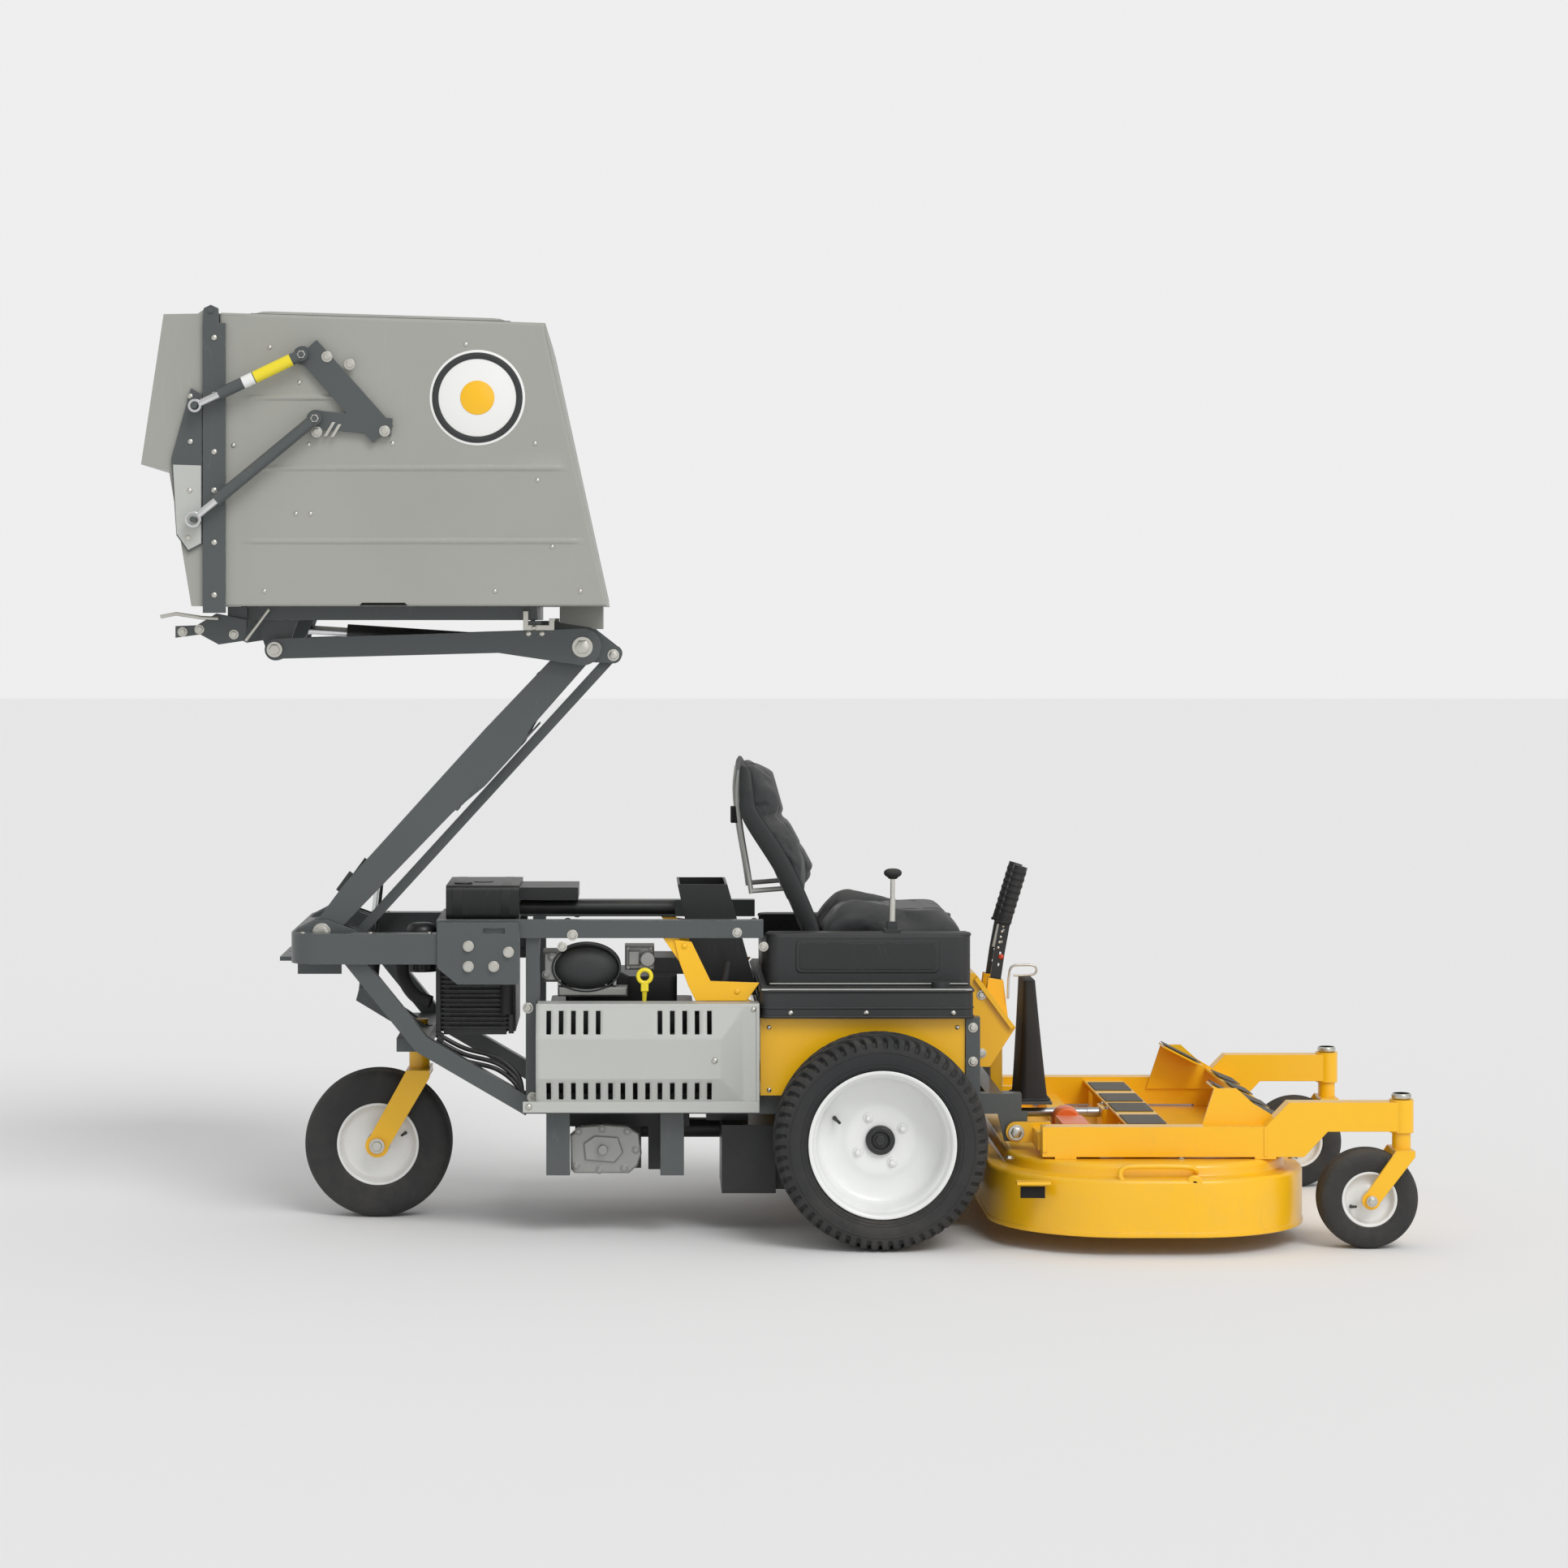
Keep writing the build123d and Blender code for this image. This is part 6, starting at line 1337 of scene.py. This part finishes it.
class MOWER_OT_controls(bpy.types.Operator):
    """Lever boot, steering levers with grips, speed lever and wire handle"""

    bl_idname = "mower.controls"
    bl_label = "Controls"

    def execute(self, context):
        z = np.linspace(291, 582, 40)
        share = (z - 291) / 291
        rings = []
        for s, h in zip(share, z):
            wide, deep = np.interp(s, (0, 1), (190, 150)), np.interp(s, (0, 1), (74, 28))
            wide = wide + 5 * sin(s * pi)
            outline = rounded(deep, wide, min(deep, wide) * 0.30, 8)
            angle = np.arctan2(outline[:, 1] / wide, outline[:, 0] / deep)
            pleat = 1 - 0.05 * (0.5 + 0.5 * np.cos(angle * 8)) * sin(s * pi) ** 0.5
            ring = outline * pleat[:, None] + (np.interp(s, (0, 1), (398, 391)), 0)
            rings.append(np.column_stack([ring, np.full(len(ring), h)]))
        top = rings[-1].copy()
        top[:, 2] += 4
        centre = top.mean(0)
        top[:, :2] = centre[:2] + (top[:, :2] - centre[:2]) * 0.7
        rings.append(top)
        boot = Shape().loft(rings)
        boot.grid(ring_tube(rounded(78, 194, 16, 7) + (398, 0), 293, 4.0), True, True)
        boot.make("lever_boot", "chassis", "black_plastic", "soft grip", smooth_angle=60,
                  replaces=("pedestal_cover",))
        for side, hand in HANDS:
            y = side * 60
            body = f"steering_lever_{hand}"
            t = np.linspace(0, 1, 60)
            foot, tip = np.array([329.0, y, 722.0]), np.array([371.0, y, 861.0])
            radius = 17.4 + 1.0 * np.cos(t * 2 * pi * 9) * smooth(t, 0.1, 0.2) * (1 - smooth(t, 0.86, 0.94))
            radius = radius * np.sqrt(np.maximum(1 - smooth(t, 0.90, 1.0) ** 2 * 0.75, 0.05))
            grip = Shape().tube(foot + (tip - foot) * t[:, None], radius, 24)
            grip.lathe([(0, 0), (19, 0), (20, 3), (19, 6), (0, 6)], (329, y, 721), "z", 24)
            grip.make(f"lever_grip_{hand}", body, "black_plastic", "soft grip")
            plate = Shape()
            plate.prism([(310, 655), (323, 652), (341, 716), (326, 722)], y - side * 6, y - side * 7.6,
                        edge=0.3)
            for k in range(5):
                at = foot - np.array([2.0, 0, 8.0]) - np.array([3.0, 0, 13.0]) * k
                plate.dome((at[0], y + side * 5, at[2]), 3.6, 2.0, way=side)
            plate.bolt((306, y + side * 5, 568), 9, 5, way=side)
            plate.make(f"lever_plate_{hand}", body, "zinc", "zinc plate")
            cap = Shape().dome((322, y + side * 5, 640), 7, 5, way=side)
            cap.make(f"lever_button_{hand}", body, "yellow_paint", "red enamel")
        wire = Shape()
        loop = curve([(336, 540), (338, 590), (346, 618), (372, 622), (398, 621), (406, 611), (400, 600),
                      (376, 597), (350, 597)], 46)
        wire.tube(at_y(loop, -92.0), 2.8, 10)
        wire.make("brake_handle", "chassis", "zinc", "zinc plate")
        lever = Shape()
        lever.tube([(40, -300, 737), (41, -300, 800)], [8, 7.4], 16)
        lever.tube([(41, -300, 790), (42, -300, 852)], 5.4, 16)
        lever.lathe([(4.2, -5), (10, -5), (10, 5), (4.2, 5)], (40, -300, 737), segments=24, closed=True)
        lever.make("speed_stick", "speed_lever", "zinc", "zinc plate", replaces=("speed_lever",))
        knob = curve([(0, 0), (9, 1), (13, 5), (19, 9), (21.5, 15), (19, 21), (11, 25), (0, 26)], 40)
        knob[0, 0] = knob[-1, 0] = 0
        knob[:, 0] = np.abs(knob[:, 0])
        Shape().lathe(knob, (42, -300, 845), "z", 32).make("speed_knob", "speed_lever", "black_plastic",
                                                          "soft grip", smooth_angle=70)
        return {"FINISHED"}


# ------------------------------------------------------------------ engine bay
def guard_out(x, z):
    """How far the guard's face stands out: a flat middle panel between faces that slope back to the
    edges above, below and in front of it."""
    top = np.interp(z, (478, 553), (1, 0))
    low = np.interp(z, (331, 385), (0, 1))
    front = np.interp(x, (-370, -316), (1, 0))
    return 24.0 * np.minimum(np.minimum(top, low), front)


class MOWER_OT_engine_bay(bpy.types.Operator):
    """Pressed muffler guard, air cleaner, dipstick, carburettor, radiator fins, pipes and castings"""

    bl_idname = "mower.engine_bay"
    bl_label = "Engine bay"

    def execute(self, context):
        slots = [-774.8 + 29.06 * k for k in range(14)]
        half_slot = 5.5
        marks = np.concatenate([[s - half_slot, s + half_slot] for s in slots])
        x = np.unique(np.concatenate([np.linspace(-805, -389, 40), marks,
                                      np.linspace(-370, -279, 24)]).round(2))
        x = x[np.concatenate([[True], np.diff(x) > 0.8])]
        x = np.unique(np.concatenate([x, marks.round(2)]))
        z = np.unique(np.concatenate([np.linspace(303, 559, 44),
                                      [331, 333, 375, 385, 478, 489, 543]]).round(2))
        grid_x, grid_z = np.meshgrid(x, z, indexing="ij")
        y = -(406.0 + guard_out(grid_x, grid_z))
        face = np.stack([grid_x, y, grid_z], -1)
        cells = quads(len(x), len(z))
        middle_x = ((x[:-1] + x[1:]) / 2)[:, None] + 0 * z[None, 1:]
        middle_z = ((z[:-1] + z[1:]) / 2)[None] + 0 * x[1:, None]
        open_cell = np.zeros(middle_x.shape, bool)
        for k, slot in enumerate(slots):
            inside = np.abs(middle_x - slot) < half_slot
            open_cell |= inside & (middle_z > 333) & (middle_z < 375)
            if k < 5 or k > 8:
                open_cell |= inside & (middle_z > 489) & (middle_z < 543)
        guard = Shape().add(face, cells[~open_cell.ravel()])
        guard.make("guard_press", "chassis", "guard_paint", "guard enamel", wall=2.6, smooth_angle=18,
                   replaces=("muffler_guard",), open_edges=True)
        folds = Shape()
        folds.prism([(-836, 303), (-279, 303), (-279, 329), (-836, 329)], -406.5, -410.5, edge=0.8)
        for low in (556, 303):
            folds.prism([(-805, -403.5), (-805, -337), (-279, -337), (-279, -403.5)], low, low + 3,
                        plane="xy")
        folds.prism([(-805, 303), (-802, 303), (-802, 559), (-805, 559)], -337, -403.5)
        folds.prism([(-286, 329.2), (-279, 329.2), (-279, 552), (-286, 552)], -406.4, -409.4, edge=0.5)
        folds.make("guard_folds", "chassis", "guard_paint", "guard enamel", bevel=0.7)
        shield = Shape().box((-798, -300), (-268, -266), (320, 552), edge=1)
        shield.make("heat_shield", "chassis", "black_paint", "black enamel")
        heads = Shape()
        heads.dome((-822, -410.6, 317), 8, 5)
        heads.dome((-385, -431.0, 428), 7, 3)
        heads.dome((-293, -406.4, 546), 6, 4)
        for side in SIDES:
            for x_at, z_at in ((-744, 690), (-268, 690)):
                heads.bolt((x_at, side * 363, z_at), 8, 6, way=side)
        heads.make("guard_heads", "chassis", "zinc", "zinc plate")

        turn = np.linspace(-pi / 2, pi / 2, 30)
        belly = np.stack([np.cos(turn), np.sin(turn)], 1)
        filter_case = Shape()
        radius = 56 * np.abs(belly[:, 0]) ** 0.7
        height = -268 + 62 * np.sign(belly[:, 1]) * np.abs(belly[:, 1]) ** 0.8
        radius[0] = radius[-1] = 0
        filter_case.lathe(np.stack([radius, height], 1), (-688, 0, 634), segments=64, squash=(1.46, 1.0))
        for at in (-300, -240):
            band = np.array([(54.2, at - 5), (57.4, at - 4), (57.4, at + 4), (54.2, at + 5)])
            filter_case.lathe(band, (-688, 0, 634), segments=64, closed=True, squash=(1.44, 1.0))
        filter_case.tube(curve([(-688, -218, 634), (-680, -190, 622), (-640, -170, 600),
                                (-600, -160, 580)], 24), 26, 20)
        filter_case.make("filter_case", "chassis", "black_plastic", "moulded black", smooth_angle=60,
                         replaces=("air_cleaner",))
        loop = Shape()
        loop.ring((-549, -352, 619), 15.5, 5.0, sides=12)
        loop.tube([(-549, -352, 602), (-549, -350, 590), (-550, -335, 560)], [5.4, 6.5, 5], 12)
        loop.box((-558, -540), (-356, -348), (583, 602), edge=1.5)
        loop.make("dipstick_loop", "chassis", "yellow_paint", "label yellow")

        cast = Shape()
        cast.box((-596, -526), (-300, -210), (629, 686), edge=5)
        cast.box((-588, -560), (-312, -300), (640, 676), edge=3)
        cast.lathe([(0, -330), (16, -330), (18, -322), (18, -300), (0, -300)], (-542, 0, 656), segments=28)
        for x_at, z_at in ((-588, 680), (-534, 680), (-588, 636), (-534, 636)):
            cast.bolt((x_at, -300, z_at), 5, 4, washer=False)
        cast.box((-756, -590), (-302, -256), (566, 590), edge=4)
        for k in range(7):
            cast.box((-756 + k * 22, -748 + k * 22), (-304, -262), (592, 606), edge=1)
        cast.box((-792, -742), (-300, -180), (600, 672), edge=6)
        cast.bolt((-770, -300, 660), 7, 6)
        cast.bolt((-784, -300, 618), 7, 6)
        cast.make("intake_castings", "chassis", "cast_metal", "cast alloy", bevel=1.2)
        plate = Shape()
        outline = [(-724, 160), (-716, 150), (-586, 150), (-566, 168), (-556, 196), (-562, 244),
                   (-590, 262), (-640, 266), (-700, 262), (-726, 240)]
        plate.prism(outline, -304, -338, edge=4)
        plate.prism([(-690, 182), (-620, 176), (-600, 200), (-612, 236), (-668, 240), (-694, 222)], -338,
                    -345, edge=3)
        for x_at, z_at in ((-712, 168), (-706, 250), (-650, 256), (-590, 250), (-570, 206), (-598, 162),
                           (-656, 158)):
            plate.bolt((x_at, -338, z_at), 6.5, 5)
        plate.lathe([(0, -362), (11, -362), (12, -356), (12, -345), (0, -345)], (-648, 0, 208), segments=24)
        plate.make("gear_casting", "chassis", "cast_metal", "cast alloy", bevel=1.0)
        hangers = Shape()
        for low, high in ((-782, -726), (-512, -456)):
            hangers.prism([(low, 148), (high, 148), (high, 300), (low, 300)], -352, -358, edge=1)
            hangers.prism([(low, 148), (high, 148), (high, 154), (low, 154)], -300, -352)
        hangers.make("gear_hangers", "chassis", "frame_paint", "frame enamel", bevel=0.8)

        pipes = Shape()
        runs = (([(-448, -316, 486), (-440, -318, 520), (-420, -320, 540), (-380, -318, 560),
                  (-360, -315, 600), (-350, -310, 650)], 9),
                ([(-262, -318, 566), (-240, -322, 576), (-220, -320, 590), (-212, -318, 602)], 13))
        for path, wide in runs:
            pipes.tube(curve(path, 40), wide, 14)
        for y_at in (-120, 120):
            pipes.tube(curve([(-955, y_at, 722), (-940, y_at * 1.2, 690), (-900, y_at * 1.7, 650),
                              (-880, y_at * 2.2, 600), (-878, y_at * 2.25, 520)], 40), 15, 16)
        pipes.lathe([(0, 0), (60, 0), (60, 30), (54, 44), (36, 54), (0, 58)], (-1133, -210, 640), "z", 40)
        pipes.tube(curve([(-1133, -210, 642), (-1128, -214, 600), (-1100, -222, 560), (-1062, -230, 545)],
                         30), 16, 16)
        pipes.make("bay_pipes", "chassis", "black_plastic", "soft grip")
        lines = Shape()
        for offset in (0, 14, 28):
            run = [(-1040, -266 - offset * 0.4, 470 - offset), (-980, -272 - offset * 0.4, 440 - offset),
                   (-900, -300, 420 - offset), (-850, -318, 380 - offset), (-838, -322, 330 - offset)]
            lines.tube(curve(run, 40), 5.5, 12)
            end = np.array(run[-1])
            lines.tube([end + (0, 0, 14), end + (0, 0, -6)], 9, 6)
            lines.tube([np.array(run[0]) + (-6, 0, 4), np.array(run[0]) + (8, 0, -4)], 9, 6)
        lines.make("rigid_lines", "chassis", "black_paint", "black enamel")
        fins = Shape()
        for k in range(18):
            z_at = 486 + k * 11.0
            fins.box((-1040, -870), (-262, -250.5), (z_at, z_at + 4.5), edge=0.5)
        fins.box((-1048, -1036), (-268, -250.5), (474, 690), edge=1.5)
        fins.box((-874, -862), (-268, -250.5), (474, 690), edge=1.5)
        fins.make("cooler_fins", "chassis", "black_paint", "black enamel")
        tank = Shape()
        for x_at in (-1002, -884):
            strap = rounded(330, 81, 12, 6)
            band = [np.column_stack([np.full(len(strap), x_at + d), strap[:, 0] * s,
                                     779.5 + strap[:, 1] * s])
                    for d, s in ((-11, 1.0), (-11, 1.008), (11, 1.008), (11, 1.0))]
            tank.grid(np.stack(band), True, True)
        tank.lathe([(0, 0), (24, 0), (24, 2), (0, 2.6)], (-943, -20, 819.6), "z", 32)
        tank.make("tank_straps", "chassis", "black_paint", "black enamel")
        can = Shape()
        for k in range(12):
            angle = 2 * pi * k / 12
            foot = np.array([-1089 + 38 * cos(angle), -120 + 38 * sin(angle), 616])
            can.tube([foot, foot + (0, 0, 24)], 3.4, 6, up=(1, 0, 0.01))
        can.make("filter_flutes", "chassis", "black_paint", "black enamel")
        return {"FINISHED"}


# ------------------------------------------------------------------ deck
def deck_skin():
    """Pressed deck: rounded-rectangle rings from the skirt's lip up over two rounded shoulders to the
    flat top, then the same inside, one wall thickness in."""
    def rings(inset, height):
        out = []
        for i, z in zip(inset, height):
            corner = max(300.0 - i, 60.0)
            flat = rounded(DECK_FRONT - DECK_REAR - 2 * i, 2 * HALF_DECK - 2 * i, corner, 20)
            out.append(np.column_stack([flat + (DECK_MIDDLE, 0), np.full(len(flat), z)]))
        return out
    turn = np.linspace(0, pi / 2, 7)
    lip = [(3.0, 45.0), (0.4, 46.5), (0.0, 50.0), (0.0, 56.0), (2.0, 58.0), (2.0, 110.0), (2.0, 168.0)]
    low = [(2 + 10 * (1 - cos(t)), 168 + 10 * sin(t)) for t in turn[1:]]
    rise = [(30.0, 178.0), (38.0, 178.8), (43.0, 181.5), (45.0, 186.0), (45.5, 196.0)]
    top = [(45.5 + 12 * (1 - cos(t)), 196 + 12 * sin(t)) for t in turn[1:]]
    outer = np.array(lip + low + rise + top + [(90.0, 208.0), (200.0, 208.0), (320.0, 208.0)])
    inner = outer[3:] + (4.0, -4.0)
    inner[:, 1] = np.minimum(inner[:, 1], 204.0)
    inner = np.vstack([[(6.5, 46.5)], inner])
    every = np.vstack([inner[::-1], outer])
    return np.array(rings(every[:, 0], every[:, 1]))


class MOWER_OT_deck(bpy.types.Operator):
    """Pressed deck shell, foot plates with grip strips, handles, caps and shaft guards"""

    bl_idname = "mower.deck"
    bl_label = "Deck"

    def execute(self, context):
        Shape().loft(deck_skin()).make("deck_press", "deck", "yellow_paint", "yellow enamel",
                                       smooth_angle=30,
                                       replaces=("deck_shell",))
        trim, dark, bolts, grip = Shape(), Shape(), Shape(), Shape()
        # The side slot is a flat near-black plate, not an opening: painted shade for the dark inside it.
        dark.prism([(316, 132), (372, 132), (372, 158), (316, 158)], -597, -606)
        trim.prism([(306, 164), (384, 164), (384, 171), (306, 171)], -585, -622, edge=1)
        for side in SIDES:
            path = curve([(86, 584, 190), (86, 606, 192), (72, 618, 204), (30, 620, 207), (-40, 620, 207),
                          (-78, 620, 205), (-92, 622, 192), (-84, 626, 172), (-60, 629, 163),
                          (-10, 630, 162), (50, 630, 163), (72, 630, 168)], 90) + (DECK_MIDDLE, 0, 0)
            trim.tube(path * (1, side, 1), 6.0, 14, up=(0.01, 1, 0.02))
            trim.lathe([(0, 0), (19, 0), (19, 5), (16, 8), (0, 8)] * np.array([1, side]),
                       (DECK_MIDDLE + 78, side * 629, 170), segments=32)
            bolts.bolt((DECK_MIDDLE + 78, side * 632, 170), 7, 5, way=side, washer=False)
            trim.box((DECK_MIDDLE + 70, DECK_MIDDLE + 106), (side * 560, side * 590), (179, 205), edge=3)
            for x_at in (300, 700, 960):
                bolts.bolt((x_at, side * 500, 208.5), 8, 6, axis="z", way=1)
            trim.prism([(376, 224), (386, 224), (386, 276), (376, 276)], side * 511, side * 513.5)
            trim.prism([(BEND - 4, 214), (BEND + 4, 214), (BEND + 4, 282), (BEND - 4, 282)], side * 511,
                       side * 512.6)
        for side, hand in HANDS:
            cap = Shape()
            cap.lathe([(0, 0), (21, 0), (23, 2), (23, 9), (20, 13), (0, 13)],
                      (CASTER_PIN, side * ARM_Y, 346), "z", 40)
            cap.make(f"kingpin_cap_{hand}", f"front_caster_{hand}", "zinc", "zinc plate", bevel=0.8)
            nuts = Shape()
            for outer in SIDES:
                nuts.bolt((CASTER_AXLE, side * ARM_Y + outer * 66.5, 116), 9, 7, way=outer)
            nuts.make(f"caster_nuts_{hand}", f"front_caster_{hand}", "zinc", "zinc plate")
        tail = Shape()
        for outer in SIDES:
            tail.bolt((TAIL_AXLE, outer * 87, 180), 13, 8, way=outer)
        tail.make("tail_nuts", "tail_caster", "zinc", "zinc plate")

        for side in SIDES:
            for near, far in ((240, 400), (20, 170)):
                grip.box((DECK_MIDDLE - 46, DECK_MIDDLE + 46), (side * near, side * far), (275.2, 277.4),
                         edge=0.4)
            start, end = np.array([BEND - 112, 374.5]), np.array([BEND - 22, 328.5])
            out = (end - start) / np.linalg.norm(end - start)
            away = np.array([-out[1], out[0]]) * 2.2
            grip.prism([start, end, end + away, start + away], side * 368, side * 458, edge=0.3)
            for y_low, y_high in ((60, 190), (260, 400)):
                a, b = np.array([BEND + 8, 308.5]), np.array([BEND + 62, 286.6])
                out = (b - a) / np.linalg.norm(b - a)
                away = np.array([-out[1], out[0]])
                grip.prism([a, b, b + away * 2, a + away * 2], side * y_low, side * y_high, edge=0.3)
        grip.make("grip_strips", "deck", "black_plastic", "grip strip")
        orange = Shape()
        orange.box((446, 512), (-300, -130), (210, 262), edge=8)
        orange.lathe([(0, -118), (30, -118), (34, -110), (34, -60), (0, -60)], (478, 0, 244), segments=36)
        orange.make("chute_flap", "deck", "yellow_paint", "orange enamel", bevel=1.5)
        caps = Shape()
        for side in SIDES:
            caps.lathe([(0, 0), (26, 0), (26, 7), (20, 12), (0, 13)], (DECK_MIDDLE, side * BLADE_Y, 262.5),
                       "z", 36)
            for k in range(6):
                angle = 2 * pi * k / 6
                caps.bolt((DECK_MIDDLE + 37 * cos(angle), side * BLADE_Y + 34 * sin(angle), 262.2), 5.5, 5,
                          axis="z",
                          way=1, washer=False)
        for x_at, y_at in ((-50, -48), (-50, 48), (42, -48), (42, 48)):
            caps.bolt((DECK_MIDDLE + x_at, y_at, 266.2), 6.5, 5, axis="z", way=1)
        caps.make("gearbox_caps", "deck", "zinc", "zinc plate")
        trim.make("deck_handles", "deck", "yellow_paint", "yellow enamel", bevel=0.6)
        dark.make("deck_slot", "deck", "black_plastic", "painted opening shade")
        bolts.make("deck_bolts", "deck", "zinc", "zinc plate")
        return {"FINISHED"}


# ------------------------------------------------------------------ panel, register and main
SETTINGS = (("mower_looks", MowerLooks), ("mower_stage", MowerStage), ("mower_tread", MowerTread),
            ("mower_seat", MowerSeat))
OPERATORS = [MOWER_OT_stage, MOWER_OT_frame_finishes, MOWER_OT_wheels, MOWER_OT_bin, MOWER_OT_lift,
             MOWER_OT_seat, MOWER_OT_body, MOWER_OT_controls, MOWER_OT_engine_bay, MOWER_OT_deck]


class MOWER_PT_pieces(bpy.types.Panel):
    """Sidebar panel that lists the settings and the pieces"""

    bl_idname = "MOWER_PT_pieces"
    bl_label = "Mower"
    bl_space_type = "VIEW_3D"
    bl_region_type = "UI"
    bl_category = "Mower"

    def draw(self, context):
        for name, settings in SETTINGS:
            for title in settings.__annotations__:
                self.layout.prop(getattr(context.scene, name), title)
        for operator in OPERATORS:
            self.layout.operator(operator.bl_idname)


def register():
    for name, settings in SETTINGS:
        bpy.utils.register_class(settings)
        setattr(bpy.types.Scene, name, bpy.props.PointerProperty(type=settings))
    for made in (*OPERATORS, MOWER_PT_pieces):
        bpy.utils.register_class(made)


def unregister():
    for made in (MOWER_PT_pieces, *reversed(OPERATORS)):
        bpy.utils.unregister_class(made)
    for name, settings in reversed(SETTINGS):
        delattr(bpy.types.Scene, name)
        bpy.utils.unregister_class(settings)


def main():
    register()
    for operator in OPERATORS:
        section, action = operator.bl_idname.split(".")
        getattr(getattr(bpy.ops, section), action)()


if __name__ == "__main__":
    main()
